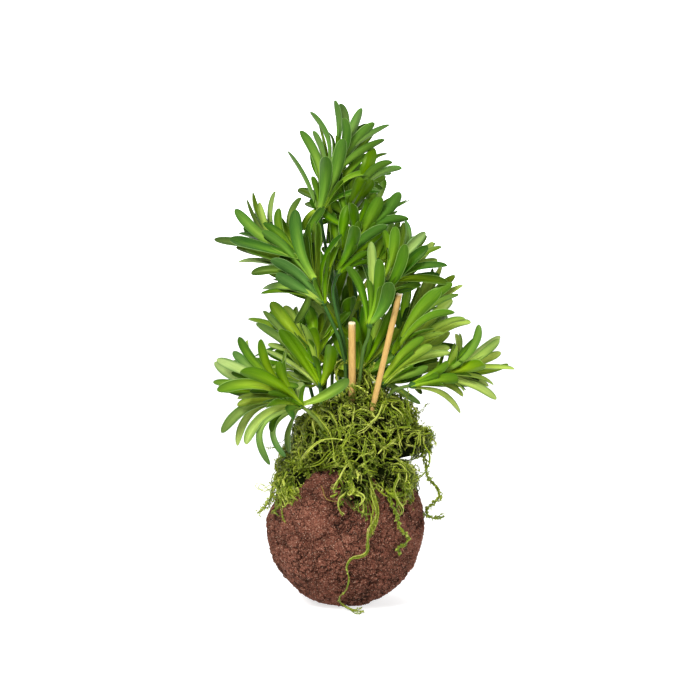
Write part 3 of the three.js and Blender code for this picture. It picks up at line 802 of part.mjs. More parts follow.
for (const [name, whorl] of Object.entries(WHORLS)) {
  let solid = collarSolid(whorl.collar);
  for (const row of whorl.leaves) solid = solid.add(leafSolid(row));
  solid = solid.subtract(stemTube(whorl.stem, GAP, 0));
  put("leaves_" + name, largest(solid), LEAF);
}

export default plant;
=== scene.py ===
"""A moss ball plant: detailed meshes and materials around the frame's solids.
All tables are in millimetres; meshes are made in metres."""
import math

import bpy
import numpy as np
from mathutils import Matrix, Vector, noise


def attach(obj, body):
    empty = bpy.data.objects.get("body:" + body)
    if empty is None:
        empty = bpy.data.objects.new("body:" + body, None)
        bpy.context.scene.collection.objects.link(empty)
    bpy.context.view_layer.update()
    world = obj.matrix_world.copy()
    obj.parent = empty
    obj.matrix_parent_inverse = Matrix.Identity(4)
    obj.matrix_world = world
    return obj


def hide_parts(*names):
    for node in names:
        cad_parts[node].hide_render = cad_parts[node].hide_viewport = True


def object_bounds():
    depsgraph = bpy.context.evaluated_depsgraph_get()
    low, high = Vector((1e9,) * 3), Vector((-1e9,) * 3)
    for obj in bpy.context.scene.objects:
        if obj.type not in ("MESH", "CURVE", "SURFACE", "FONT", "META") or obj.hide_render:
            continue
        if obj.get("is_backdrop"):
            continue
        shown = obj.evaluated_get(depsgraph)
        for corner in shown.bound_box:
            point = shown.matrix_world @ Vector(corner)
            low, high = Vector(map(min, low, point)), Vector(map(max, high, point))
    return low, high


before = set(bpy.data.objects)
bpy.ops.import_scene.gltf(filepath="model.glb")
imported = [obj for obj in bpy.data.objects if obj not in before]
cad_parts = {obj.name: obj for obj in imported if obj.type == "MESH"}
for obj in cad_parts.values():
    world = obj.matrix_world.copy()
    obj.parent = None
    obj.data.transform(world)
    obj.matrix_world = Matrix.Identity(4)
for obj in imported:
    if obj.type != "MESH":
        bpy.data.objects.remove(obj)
CAD_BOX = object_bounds()
MM = 0.001
RNG = np.random.default_rng(20417)

BALL_R = 54.2
BALL_Z = 52.2
# The moss is a clump of rounded lobes: centre and radii of each.
MOSS_LOBES = np.array([
    [12, 2, 125, 35, 34, 26],
    [2, 0, 113, 38, 38, 22],
    [-15, -2, 120, 18.5, 24, 17],
    [44, -6, 116, 15.5, 18, 10.5],
    [-21.5, -4, 107, 14.5, 27, 16.5],
    [-35.5, -10, 86.5, 11.5, 21, 12.5],
    [6, -36, 87, 14, 17, 17],
    [32, -22, 92, 13, 18, 14],
    [37, 4, 88.5, 10.5, 22, 11],
    [4, 28, 95, 36, 22, 18],
    [-22, 22, 96, 24, 22, 18],
    [12, -9, 148, 10, 8, 18],
])
MOSS_MID = np.array([6.0, -4.0, 98.0])
# Places where the moss is thin and the ground shows: point and reach.
MOSS_BARE = np.array([
    [-3.4, -43.3, 93.6, 6.5],
    [38.3, -22, 92.8, 5.5],
    [-22.8, -29.7, 99.1, 5.5],
    [4.2, -50.4, 84.4, 4.5],
    [41.3, -10, 105, 5],
])
STICKS = {
    "stick_left": ([4.2, -16, 200.4], [4.6, -11, 106.6], 2.5),
    "stick_right": ([36.9, -24, 221.4], [12.5, -20, 115.1], 2.05),
}
STICK_DEPTH = 34.0

# Stem paths, from inside the ball to the last collar.
STEMS = {
    "top": [[3, 13, 92], [4.2, 13, 113.5], [2.1, 12, 147.9], [-1.4, 9, 181.6], [-7, 5, 217.4], [-14, 3, 250.6], [-18.1, 2, 276.5], [-14.3, 4, 292.4], [-10.1, 6, 307.6], [-8.9, 6.6, 311.9]],
    "top_back": [[11, 19, 90], [11.3, 21, 112.2], [12.7, 24, 146.2], [11.3, 24, 179.8], [7, 21, 215.7], [2.1, 18, 249.3], [0, 16, 271.3], [4.2, 20, 280.8], [5.9, 21.6, 284.6]],
    "upper_right": [[2, 1, 96], [2.8, 1, 115.3], [1.4, -1, 149.7], [-1.4, -5, 183.3], [-6.9, -8, 208.2], [-9, -7, 222.1], [-5.5, -6, 234.6], [-0.3, -5, 248.5], [6.3, -4, 262.3], [8.2, -3.7, 266.4]],
    "back_right": [[19, 13, 92], [19.8, 15, 113.2], [22.6, 17, 147.2], [19.7, 18, 180.5], [16.9, 16, 209.2], [17.6, 14, 231.3], [22.5, 18, 240.8], [24.4, 19.6, 244.5]],
    "right_mid": [[9, -9, 95], [9.1, -10, 117], [9.1, -12, 151.2], [11.8, -18, 180], [15.3, -21, 190.8], [16.6, -22, 200], [20.7, -24, 214.8], [26.2, -26, 228.9], [27.8, -26.6, 233]],
    "right_low": [[20, 2, 92], [19.7, 2, 115.2], [21, -1, 140.5], [26.6, -3, 156.3], [36.6, -6, 180.6], [38.4, -6.5, 184.8]],
    "right_out": [[23, -7, 90], [23.8, -8, 116.7], [25.2, -9, 139.5], [31.4, -12, 150.5], [39, -15, 154.8], [46.6, -17, 156.8], [56.9, -19.5, 161.3], [68.6, -22, 165.8], [72.7, -22.9, 167.4]],
    "left_mid": [[-13, -2, 93], [-11.9, -2, 115.8], [-16.8, -3, 140.7], [-18.5, -3, 155.6], [-21.7, -3.5, 169.8], [-25.8, -4, 183.2], [-27.2, -4.2, 187.5]],
    "left_low": [[-12, -22, 88], [-13.2, -25, 117.9], [-18, -27, 130.9], [-24.9, -27, 138.6], [-31.8, -27, 144.2], [-40.3, -33.5, 152.4], [-48.7, -40, 161.3], [-51.5, -42.1, 164.2]],
    "upper_left": [[-5, -8, 96], [-3.5, -8, 116.7], [0, -10, 159.3], [-3.5, -10, 183.9], [-9.7, -9, 199.9], [-16, -9, 213.9], [-22.8, -13.5, 230.4], [-31.7, -18, 246.1], [-33.9, -19.1, 249.9]],
    "centre": [[-6, 13, 93], [-7.1, 14, 113.3], [-9.9, 16, 148.7], [-8.5, 17, 170], [-4.8, 18, 187.9], [-4.8, 18, 187.9]],
    "centre_low": [[9, 5, 95], [7.7, 5, 114.7], [7.7, 3, 143.4], [8.8, 2, 164.4], [8.8, 2, 164.4]],
    "back_upper": [[-3, 22, 92], [-4, 26, 130], [-4, 29, 165], [-3, 34, 196], [-5, 45, 209], [-5.5, 48.3, 212]],
    "back_left": [[-14, 14, 92], [-17, 18, 118], [-23, 25, 140], [-27, 30, 152], [-35, 41, 161], [-37.3, 44.1, 163.3]],
    "back_low": [[5, 26, 88], [8, 33, 118], [12, 39, 139], [14, 46, 151], [14.5, 49.8, 153.3]],
    "back_side": [[25, 9, 88], [28, 17, 118], [33, 23, 148], [38, 28, 168], [40.3, 31, 170.5]],
}

# name: (stem, collar centre, collar direction, leaves). A leaf is its start, bend
# and tip, the way its upper face looks, its width, and its shade:
# dark, mid, light, pale, yellow, olive, grey. A shade is partly the leaf's own tone
# and partly painted light and shade as it fell on that leaf; olive is mostly
# painted shade on leaves lying in shadow.
WHORLS = {
    "top_1": (
        "top", [-18.1, 2, 276.5], [-0.007, 0.024, 1],
        [
        [-16, 1.2, 275.6, -1.2, -4.5, 308.3, 31.6, -1.5, 302.5, -0.42, -0.6, 0.68, 5.3, "h"],
        [-15.9, 2.6, 276.5, -0.3, 0.8, 293, 23.6, -4.8, 290.2, -0.36, -0.64, 0.69, 5.4, "ds"],
        [-20.4, 2, 277.4, -26.4, 1.5, 298.4, -40.6, -0.6, 318.4, 0.67, 0.64, 0.37, 5.6, "ov"],
        [-18.3, -0.2, 276.6, -12.7, -3.7, 295.8, -14, -29.2, 316.1, -0.11, 0.8, 0.59, 7.8, "kg"],
        [-16.9, 0.1, 277.5, -5.3, 0.5, 300.2, -2, -8.8, 327.4, -0.1, 0.97, 0.2, 7.8, "mg"],
        [-16.8, 3.8, 275.6, -5.4, 8.7, 299.1, 14.6, 3.5, 316.1, -0.62, -0.63, 0.47, 5.3, "l"],
        [-19.8, 0.6, 275.6, -11.5, 2.4, 309.4, -31.9, 2.6, 332.4, 0.33, -0.94, 0.1, 5.8, "hg"],
        [-19.9, 3.3, 276.5, -27.8, 2.4, 273.2, -27.9, 6.4, 262.2, -0.47, 0.77, 0.43, 5.8, "y"],
        ],
    ),
    "top_2": (
        "top", [-14.27, 4, 292.4], [0.247, 0.124, 0.961],
        [
        [-16.2, 3.8, 293.9, -12.8, 4.6, 313.3, -22.9, 7.3, 331.9, 0.59, 0.81, 0.03, 5.6, "wv"],
        [-12.3, 3, 292, -2.3, 7.1, 318.8, 19.8, 2.5, 338, -0.09, 0.99, 0.08, 6.8, "mg"],
        [-14.3, 1.7, 291.8, 0.7, 2.2, 317.3, 27.1, -2.2, 326.4, -0.24, 0.89, 0.38, 5.7, "gg"],
        [-12.7, 5.1, 290.9, 1.6, 6.9, 312.3, 2.8, 18.3, 336.3, -0.36, -0.85, 0.37, 5.5, "o"],
        [-14.4, 6.2, 292.1, 0.5, 8, 310, 11.2, 21.5, 329.8, -0.04, -0.92, 0.4, 5.7, "o"],
        ],
    ),
    "top_3": (
        "top", [-10.09, 6, 307.6], [0.263, 0.126, 0.957],
        [
        [-7.7, 5.7, 307.9, 7, 6.2, 325.6, 30.6, 8.8, 336, -0.42, 0.77, 0.49, 5.8, "lv"],
        [-12.3, 6.1, 308.2, -9.9, 6.6, 329.3, -25.1, 9.2, 345, 0.72, 0.67, 0.19, 5.3, "ov"],
        [-11.4, 4.6, 309.1, -1.5, 6.3, 329.7, -7.8, 4.6, 353.5, 0.78, 0.63, -0.06, 5.5, "ov"],
        [-10.4, 3.7, 307.1, 5.5, 7.2, 333.1, -4.2, 10.3, 350.9, 0.73, -0.68, -0, 5.6, "gv"],
        [-8.7, 4.2, 307.5, 3.9, 3.1, 323.2, -1.7, -5.7, 341.4, 0.27, 0.94, 0.22, 6.1, "dg"],
        [-8.6, 7.1, 306.1, 2.7, 6.7, 326.8, 11.2, 11.7, 347.7, -0.17, 0.99, -0.03, 6.7, "lv"],
        ],
    ),
    "top_back_1": (
        "top_back", [-0.01, 16, 271.25], [0.067, 0.063, 0.996],
        [
        [2.2, 15.4, 271.1, 12, -7.5, 307.5, 32, -18.1, 311.8, -0.09, 0.74, 0.67, 5.8, "gg"],
        [1.3, 14.2, 270.4, 8.3, 4.9, 285.9, 17.8, -36.1, 300.5, 0.34, 0.56, 0.76, 7.1, "os"],
        [0.1, 13.8, 272.3, 9.8, -31.3, 299.1, 11, -28.9, 301.4, 0.18, 0.59, 0.79, 6.4, "os"],
        [-2, 16.8, 272.2, -14.4, 14.7, 284.1, -34.1, 24.8, 290, -0.04, -0.93, 0.36, 5.7, "os"],
        [-1.2, 17.9, 271.2, -13.5, 18.5, 277.7, -29.2, 24.6, 280.1, 0.07, -0.69, 0.72, 5.5, "o"],
        [-2.2, 15.3, 270.5, -15, 12.4, 272.6, -30.9, 17.8, 266.9, -0.15, -0.42, 0.89, 5.6, "o"],
        [-1.3, 14.2, 271.5, -4.5, 6.1, 276.5, -9.1, 3.4, 282, -0.05, 0.71, 0.7, 5.6, "l"],
        [1.7, 17.3, 270.1, 8.9, 19.9, 279.1, 21.2, 37, 282.4, 0.35, -0.72, 0.59, 5.7, "o"],
        ],
    ),
    "top_back_2": (
        "top_back", [4.21, 20, 280.8], [0.377, 0.358, 0.854],
        [
        [2.9, 18, 281.2, 12.6, -13.7, 302.1, 19.8, 3.9, 320.2, -0, 0.94, 0.34, 7.5, "os"],
        [5.2, 21, 278.9, 11.3, 36.4, 312, 29.7, 36.1, 314.3, -0.82, 0.42, 0.38, 4.5, "g"],
        [5, 18, 281.3, 15.7, -11.4, 305.4, 38.7, -10, 307.1, -0.08, 0.62, 0.78, 5.3, "pv"],
        [6.5, 19.4, 281.1, 3.4, 15.6, 293.3, 28.1, 24.1, 299.2, -0.19, 0.98, -0.03, 6.4, "o"],
        [2.5, 20.2, 282.5, 5.1, 25.1, 296.3, 4.2, 42.7, 313.3, 0.21, -0.8, 0.57, 6.4, "o"],
        [2.6, 21.6, 280.9, -0.7, 25.4, 295, -4.3, 47.4, 309.5, 0.07, -0.73, 0.68, 5.7, "o"],
        ],
    ),
    "upper_right_1": (
        "upper_right", [-5.55, -6, 234.6], [0.313, 0.072, 0.947],
        [
        [-5.6, -8.3, 233.8, 5.4, -7.3, 258.9, 28.6, -25.4, 268.5, 0.16, 0.94, 0.3, 6.1, "dg"],
        [-3.1, -6, 234.8, 10.8, -8.6, 249.8, 27.6, -18, 266.2, -0.21, 0.82, 0.52, 5.3, "hs"],
        [-6.5, -7.7, 236, 5.7, -13.7, 249.4, 6.2, -40.2, 269.4, 0.12, 0.73, 0.67, 7.6, "d"],
        [-7.6, -5.4, 235.2, -8.3, 3.4, 254.2, -9.1, 6, 275.5, 0.54, -0.8, 0.25, 5.5, "hs"],
        [-7, -4.2, 234, -10.3, -1.1, 250.3, -11.2, 13.7, 265.8, 0.62, -0.65, 0.44, 5.8, "o"],
        [-4.2, -4.6, 233.1, 5.3, -7.3, 240.2, 18, -14.8, 242.4, 0.02, 0.69, 0.72, 5.5, "ds"],
        [-4, -7.5, 234.2, 4.1, -9.7, 242.2, 15.2, -19.2, 249.7, -0.27, 0.58, 0.77, 5.3, "ds"],
        ],
    ),
    "upper_right_2": (
        "upper_right", [-0.33, -5, 248.47], [0.391, 0.066, 0.918],
        [
        [0.8, -6.7, 247.1, 16, -8.5, 265.8, 23.8, -18.5, 287.7, 0.18, 0.97, 0.18, 8.2, "h"],
        [1.7, -4.5, 247.6, 16.5, -6.3, 273.4, 43.6, -12.3, 272, -0.18, 0.8, 0.57, 5.6, "dg"],
        [-0.6, -7.1, 249.7, 9.7, -6.9, 266.8, 3.1, -26.9, 284.1, 0.26, 0.85, 0.46, 5.8, "ds"],
        [-2.3, -5.5, 249.4, -3.9, -20.3, 266.3, 1.8, -12.5, 281.7, 0.23, 0.96, 0.18, 6.6, "ks"],
        [-1.8, -3.1, 248, -8, 10, 265.2, -2.1, 35.1, 281.9, 0.18, -0.65, 0.74, 5.3, "o"],
        ],
    ),
    "upper_right_3": (
        "upper_right", [6.28, -4, 262.32], [0.429, 0.065, 0.901],
        [
        [7.8, -3.4, 260.6, 8.7, 0.3, 263.8, 20.8, -5.3, 290.2, 0.24, 0.97, -0.04, 6.1, "p"],
        [7.5, -6, 262.9, 27.3, -8.9, 270.1, 37.3, -12.8, 290.7, 0.05, 0.98, 0.18, 7.1, "dg"],
        [7.3, -2.1, 261.7, 26.6, 24, 274.1, 47.7, 34.4, 283.3, -0.24, -0.28, 0.93, 4.8, "g"],
        [7.8, -5, 260.7, 23.1, -4.4, 266.4, 36.4, -6.6, 277.5, -0.35, 0.65, 0.67, 5.5, "m"],
        [5.6, -6.1, 262.8, 12.3, -5.6, 273.2, 13.9, -8.9, 285.6, 0.6, 0.79, -0.12, 5.6, "ds"],
        [6.2, -1.7, 263.2, 31.9, 28, 282.2, 25.5, 40, 297.1, -0.61, -0.31, 0.73, 5.2, "l"],
        [4.2, -2.7, 262.2, 15.7, 0.6, 277, 18.2, 19.6, 292.8, 0.61, -0.75, 0.27, 5.7, "o"],
        ],
    ),
    "back_right_1": (
        "back_right", [17.56, 14, 231.28], [0.175, 0.062, 0.983],
        [
        [15.9, 12.5, 231.7, 14.2, 14, 242.9, 14.8, 17.5, 254.9, 0.18, -0.96, 0.21, 5.7, "o"],
        [19.5, 13.1, 230.1, 28.8, 17, 234.6, 41, 26.6, 238.6, 0.33, -0.82, 0.47, 5.7, "o"],
        [15.3, 14.7, 230.7, 13.7, 13, 235.5, 8.4, 23.4, 238.9, -0.17, -0.74, 0.64, 5.7, "o"],
        [19.3, 15.4, 230.9, 30.4, 18.7, 227.5, 45.5, 38.5, 227.5, 0.53, -0.5, 0.69, 5.5, "o"],
        [17.3, 16.3, 232.1, 8.8, 65.4, 232.4, 4.5, 58.8, 245.3, -0.08, -0.32, 0.94, 5.5, "o"],
        ],
    ),
    "back_right_2": (
        "back_right", [22.5, 18, 240.79], [0.432, 0.35, 0.831],
        [
        [23.7, 16.1, 240.9, 35.3, 17.1, 250.1, 39.2, 10, 265.4, -0.02, 0.97, 0.25, 5.4, "m"],
        [21.3, 15.9, 241.2, 21.1, 16, 250.8, 25.8, 4.8, 260.2, 0.33, 0.85, 0.42, 6.8, "l"],
        [23.9, 18.3, 238.8, 35.1, 21.4, 241.2, 48.2, 34.6, 244.3, 0.21, -0.57, 0.79, 5.5, "o"],
        [22.1, 20.1, 240.1, 29.7, 21.5, 253.3, 32.6, 38.2, 266, 0.33, -0.83, 0.45, 6.4, "l"],
        [20.9, 19.2, 242.2, 19.9, 23, 251.8, 18.4, 43.1, 263.5, 0.42, -0.58, 0.7, 5.7, "o"],
        ],
    ),
    "right_mid_1": (
        "right_mid", [16.63, -22, 200.01], [0.221, -0.121, 0.968],
        [
        [15.5, -24, 200, 24.4, -28.3, 222.9, 22.6, -43.1, 247, 0.26, 0.91, 0.33, 6.8, "k"],
        [18.2, -23.1, 198.6, 30.2, -27.7, 244.5, 69.8, -29.8, 241.3, -0.53, -0.66, 0.54, 5.5, "d"],
        [18.1, -20.3, 199.9, 29.6, -18.7, 233.8, 62.5, -9.2, 232.8, -0.44, -0.49, 0.76, 4.6, "p"],
        [16.7, -19.9, 201.2, 28.1, -9, 226.6, 55.5, -13, 229.7, -0.46, -0.48, 0.75, 5.5, "o"],
        [18.6, -21.5, 198.7, 27.5, -21.9, 223.7, 52, -16.5, 226.9, -0.27, -0.84, 0.47, 5.7, "l"],
        [17.3, -24.3, 200.5, 29.4, -29.1, 212.7, 29.2, -60.1, 232.9, 0.31, 0.69, 0.65, 8.2, "dg"],
        [14.3, -22.5, 199.6, 14.2, -24.9, 222.6, 0.8, -37.3, 241.3, 0.19, 0.91, 0.38, 5.7, "d"],
        ],
    ),
    "right_mid_2": (
        "right_mid", [20.74, -24, 214.83], [0.313, -0.13, 0.941],
        [
        [18.6, -24, 215.5, 18.3, -24.6, 235.9, 17.2, -27.1, 257.6, 0.2, -0.98, -0.07, 5.4, "pg"],
        [21.3, -26.3, 215.3, 37.7, -30.7, 232.9, 40.3, -41.3, 257.1, 0, 0.94, 0.34, 7, "d"],
        [22.1, -25.2, 213.2, 34.6, -30.3, 239.2, 56.2, -33.1, 255.1, -0.29, -0.95, 0.06, 6.8, "ds"],
        [22.6, -23.6, 213.3, 42.8, -20.5, 247.1, 66.1, -25.5, 253.7, -0.61, -0.47, 0.64, 4.9, "w"],
        [22.2, -22.3, 214.6, 35.6, -17.1, 239.8, 63.1, -22.1, 244.4, -0.48, -0.58, 0.66, 5.5, "p"],
        [21.1, -21.9, 216, 32.4, -16.9, 228.5, 45.8, -10.2, 242, 0.01, -0.92, 0.4, 5.7, "m"],
        [19, -22.3, 214.7, 16.4, -20.2, 228.5, 11.2, -3, 241.3, 0.66, -0.51, 0.56, 5.7, "ds"],
        ],
    ),
    "right_mid_3": (
        "right_mid", [26.22, -26, 228.89], [0.36, -0.131, 0.924],
        [
        [25, -23.9, 228.7, 46.9, -23.7, 255.2, 40.4, -17.4, 271.7, 0.81, -0.55, -0.21, 5.5, "lv"],
        [24.2, -25.6, 229.7, 31.2, -25.4, 247, 26.2, -22.4, 265.2, 0.69, -0.72, 0.02, 5.2, "ls"],
        [24.9, -27.6, 230.2, 34.6, -27.5, 247.5, 33.6, -36, 268.7, 0.26, 0.95, 0.15, 6.3, "h"],
        [27.7, -26.9, 227.2, 36.9, -23.8, 249.7, 54.7, -24.6, 264, -0.18, -0.96, 0.19, 6.3, "pv"],
        [28.2, -25.2, 228.2, 43.7, -13.1, 244.1, 62, -11.9, 255.3, -0.09, -0.85, 0.52, 5.3, "y"],
        [27.4, -24, 229.7, 35.4, -20.4, 244.8, 47.2, -7.4, 259.8, -0.41, -0.66, 0.63, 5.5, "o"],
        ],
    ),
    "right_low_1": (
        "right_low", [26.6, -3, 156.3], [0.36, -0.115, 0.926],
        [
        [28.2, -3.7, 154.6, 63.8, -9.9, 201.7, 86.9, -10.8, 199.8, -0.47, -0.74, 0.49, 5.7, "ls"],
        [26.7, -0.7, 155.6, 49.4, 1.6, 174.3, 72.8, 2.4, 191.6, -0.24, -0.89, 0.39, 5.8, "ls"],
        [25.9, -5.1, 155.3, 40.7, -9.1, 174.6, 59.3, -30.4, 185.7, 0.31, 0.87, 0.39, 6.6, "ls"],
        [28.4, -2.7, 154.7, 45.3, -4.1, 177.6, 72.5, -8.6, 181.7, -0.25, -0.95, 0.19, 6.8, "ls"],
        [27.2, -5.1, 155.8, 46.2, -10.6, 175.6, 72.2, -16.8, 179.2, -0.47, -0.68, 0.56, 5.7, "l"],
        [28.5, -1.9, 155.7, 42.7, -1.7, 170.1, 64.5, -8, 173.5, -0.46, -0.35, 0.82, 4.8, "g"],
        [28.2, -1.3, 156.8, 45.5, -2.9, 163.3, 65.8, 0.2, 170, -0.07, -0.95, 0.3, 6.3, "y"],
        [28.3, -4.7, 156.4, 41.1, -3.9, 161.8, 57, -17.6, 169.5, 0.32, 0.92, 0.22, 4.9, "gg"],
        [26, -0.9, 156.8, 37.8, -1.1, 155.3, 47.9, 9.9, 158.1, 0.18, -0.47, 0.86, 5.3, "o"],
        [25.6, -4.9, 157.4, 35.8, -17.9, 178.6, 53.8, -29.7, 191.9, 0.23, 0.87, 0.44, 5.7, "h"],
        ],
    ),
    "right_low_2": (
        "right_low", [36.65, -6, 180.64], [0.379, -0.113, 0.918],
        [
        [38.6, -4.5, 181.7, 63.2, -8.5, 223.5, 66.4, -1.1, 238.8, -0.61, -0.71, 0.34, 5.4, "y"],
        [35.7, -3.7, 179.7, 66.5, -0.8, 226.1, 60, 1.8, 236.3, -0.86, -0.31, 0.4, 5.4, "o"],
        [37.6, -4, 182.1, 50.4, -10.7, 208.9, 59.9, -3, 232.9, -0.21, -0.97, 0.11, 7.8, "ls"],
        [38.1, -5.5, 178.4, 52.4, -7.8, 215.3, 75.8, -11.8, 232.8, -0.39, -0.9, 0.17, 5.4, "w"],
        [37.1, -7.7, 178.6, 48.5, -17.1, 216.1, 73.8, -18.3, 227.8, 0.01, 0.98, 0.2, 6.3, "d"],
        [36.4, -8.2, 182.1, 45.1, -35.6, 208.8, 65.1, -37.2, 225.9, 0.17, 0.87, 0.46, 8, "k"],
        [39.2, -6.7, 181.1, 52.9, -12.2, 210.4, 81.2, -13.8, 226, -0.64, -0.59, 0.5, 5.3, "y"],
        [38.6, -7.8, 181.2, 47.4, -22, 213.1, 78.2, -16.4, 219.8, -0.65, -0.52, 0.56, 5.2, "gg"],
        [39.2, -5.4, 181.3, 55.7, -16.9, 199, 74.8, 17.1, 213.1, 0.12, -0.87, 0.48, 6.4, "ls"],
        [36, -8.1, 179, 47.2, -43.5, 211, 74.5, -44.9, 210.4, 0.15, 0.73, 0.67, 5.4, "d"],
        [37.7, -4.4, 178.8, 55.1, 33.5, 187.2, 70.1, -13.5, 205.1, 0.11, 0.97, 0.2, 6, "l"],
        [37.9, -6.8, 178.4, 61.6, -9.2, 198.8, 82.4, -25.9, 203.8, -0.13, 0.67, 0.73, 5.6, "l"],
        [37.6, -8.3, 181.6, 34.2, -5, 182.1, 68, -28.2, 194.5, 0.19, 0.72, 0.67, 5.5, "ls"],
        [35.5, -5, 182.9, 39.8, 31.6, 197.5, 44.5, 34, 222.3, 0.3, -0.71, 0.63, 5.7, "ds"],
        [36.4, -4.1, 182.6, 42.7, 39.2, 195.1, 49.2, 29.3, 217, 0.84, -0.51, 0.19, 5.6, "o"],
        [34.6, -4.3, 180.1, 45.9, 2, 201.3, 51, -2, 224.1, 0.15, -0.99, -0.01, 5.7, "l"],
        [34.8, -7.7, 179.6, 30, -16.4, 171.2, 45.6, -13.6, 201.1, -0.01, 0.96, 0.27, 5.7, "ms"],
        ],
    ),
    "right_out_1": (
        "right_out", [46.59, -17, 156.78], [0.914, -0.229, 0.334],
        [
        [45.4, -19, 156, 62.5, -22.1, 162, 76.8, -44.1, 164.6, 0.58, 0.79, 0.2, 6.7, "d"],
        [47.3, -14.9, 156.2, 66.2, -18.3, 161.5, 81.2, -20.6, 149.2, 0.11, -0.43, 0.9, 5.2, "y"],
        [46.5, -17, 154.4, 67.4, -16.3, 154.8, 79.8, -13.6, 136.3, 0.43, -0.57, 0.69, 5.3, "yg"],
        [46.5, -18, 159, 58.7, -23.1, 164.8, 70.2, -34.5, 175.1, 0.63, 0.76, -0.16, 5.6, "d"],
        ],
    ),
    "right_out_2": (
        "right_out", [56.93, -19.5, 161.32], [0.905, -0.205, 0.372],
        [
        [57, -18.9, 159, 83.5, -20.2, 164.2, 104.4, -21.7, 147.3, 0.09, -0.83, 0.56, 5.2, "pg"],
        [56.1, -21.3, 160, 73.4, -22.4, 165.4, 81.1, -39.9, 155.4, 0.57, 0.64, 0.52, 5.4, "p"],
        [57, -19.1, 163.7, 60.3, -17.4, 162.1, 67.8, -12.7, 179.4, 0.78, -0.55, -0.31, 5.5, "m"],
        [57.4, -17.3, 161.4, 71.6, 10, 165.8, 88.2, 31.9, 169.6, 0.85, -0.53, 0.02, 5.4, "m"],
        ],
    ),
    "right_out_3": (
        "right_out", [68.63, -22, 165.84], [0.915, -0.195, 0.354],
        [
        [66.5, -21.4, 167.4, 81.5, 9.5, 173.7, 76, -6.8, 191.3, 0.89, -0.44, -0.09, 5.3, "p"],
        [67.2, -19.8, 166.6, 80.8, 14.3, 173, 79.4, 4.4, 190.3, 0.92, -0.4, -0.06, 4.5, "g"],
        [67.9, -19.6, 164.9, 77.3, 13.5, 170, 80.8, 8.8, 180.9, 0.93, -0.34, -0.14, 5.3, "o"],
        [66.4, -23.2, 166.7, 90.2, -41.9, 179.5, 91.1, -34.5, 201.1, 0.75, 0.56, -0.35, 5.7, "dg"],
        [69.6, -21.1, 168.2, 80.3, -1.7, 173.7, 89.2, -8.8, 188.7, 0.75, -0.53, -0.4, 5.4, "o"],
        [70.3, -20.1, 166.8, 89.2, -8.2, 174.1, 107.1, -12.8, 190.6, 0.19, -0.98, 0.01, 5.7, "yv"],
        [70.8, -20.7, 165.1, 87.9, -17.5, 171.5, 107.9, -10.9, 178.8, 0.27, -0.96, -0.04, 5.2, "y"],
        [68.2, -20.8, 163.5, 92.8, -20.4, 171.5, 117, -18.8, 168.2, -0.05, -0.61, 0.79, 5.8, "ls"],
        [69.8, -24.5, 165.8, 81.6, -26.3, 169.1, 94.5, -46.4, 174.9, 0.59, 0.77, 0.25, 7.8, "hs"],
        [67.8, -22.7, 163.4, 87, -25.6, 168.4, 102.4, -20.5, 157.2, 0.18, -0.31, 0.93, 5.2, "l"],
        [70.8, -22.4, 164.3, 82.9, -20.1, 161.5, 99.5, -14.3, 155.7, 0.38, -0.7, 0.61, 5.5, "yg"],
        [69.1, -22.9, 168.3, 69.7, -7.1, 164.5, 76.2, -38.2, 186.7, 0.78, 0.59, 0.19, 5.8, "ls"],
        ],
    ),
    "left_mid_1": (
        "left_mid", [-18.55, -3, 155.59], [-0.165, -0.017, 0.986],
        [
        [-20.9, -3.5, 156.1, -35.3, -3, 182, -62.8, -4.7, 198.4, 0.42, -0.82, 0.39, 5.2, "wv"],
        [-17, -4.8, 154.9, -10.4, -9.2, 169.3, -10.3, -35.2, 187, 0.05, 0.73, 0.68, 8.2, "ms"],
        [-19.4, -5.1, 155.4, -31.8, -6.4, 175.8, -46, -18.9, 195.8, -0.05, 0.95, 0.29, 6.6, "ds"],
        [-18.4, -5.2, 156.5, -27.2, -4, 176.7, -42.3, -16.6, 194.9, 0.28, 0.86, 0.43, 5.3, "ds"],
        [-20.1, -4.4, 154.4, -36.4, -6.2, 169.9, -57.4, -0.9, 179.3, 0.5, -0.35, 0.79, 5.6, "yg"],
        [-18.3, -0.8, 155.7, -33, 3.1, 167.8, -52.1, 10.1, 165.6, 0.18, -0.28, 0.94, 5.8, "l"],
        [-19.6, -0.9, 156.4, -31, -2.1, 155.7, -41.5, 5.4, 163.7, 0.1, -0.59, 0.8, 5.4, "pg"],
        [-20.1, -1.5, 154.4, -25.7, -2.4, 160.4, -33, 1, 165.7, 0.46, -0.6, 0.66, 5.8, "y"],
        [-20.7, -2.4, 155.2, -25.7, -2.3, 150.4, -33, 1.5, 156.8, 0.05, -0.21, 0.98, 5.8, "o"],
        [-16.3, -2.2, 155.1, -10.7, -1.5, 165.5, -5.6, 5.3, 177.1, -0.53, -0.69, 0.49, 5.7, "m"],
        ],
    ),
    "left_mid_2": (
        "left_mid", [-21.67, -3.5, 169.77], [-0.255, -0.035, 0.966],
        [
        [-23.7, -2.6, 169.3, -39.6, -0.8, 194, -68.9, 2, 200.8, 0.47, -0.47, 0.74, 5.6, "w"],
        [-23.6, -4.9, 170.1, -41.3, -4.9, 186.6, -57.9, -3.8, 207.1, 0.57, -0.62, 0.54, 5.5, "wv"],
        [-21.1, -5.7, 168.9, -25.6, -7.7, 185.2, -30.3, -27.5, 200.6, 0.6, 0.56, 0.56, 5.2, "l"],
        [-19.6, -4.3, 170.3, -19.2, -6.4, 183.2, -25.3, -18.1, 196.1, -0.26, 0.87, 0.41, 8.2, "hs"],
        [-21.8, -1.2, 168.9, -37.4, -2.1, 178.3, -54.8, 7.5, 182.5, 0.11, -0.7, 0.71, 5.4, "l"],
        ],
    ),
    "left_mid_3": (
        "left_mid", [-25.84, -4, 183.21], [-0.296, -0.036, 0.955],
        [
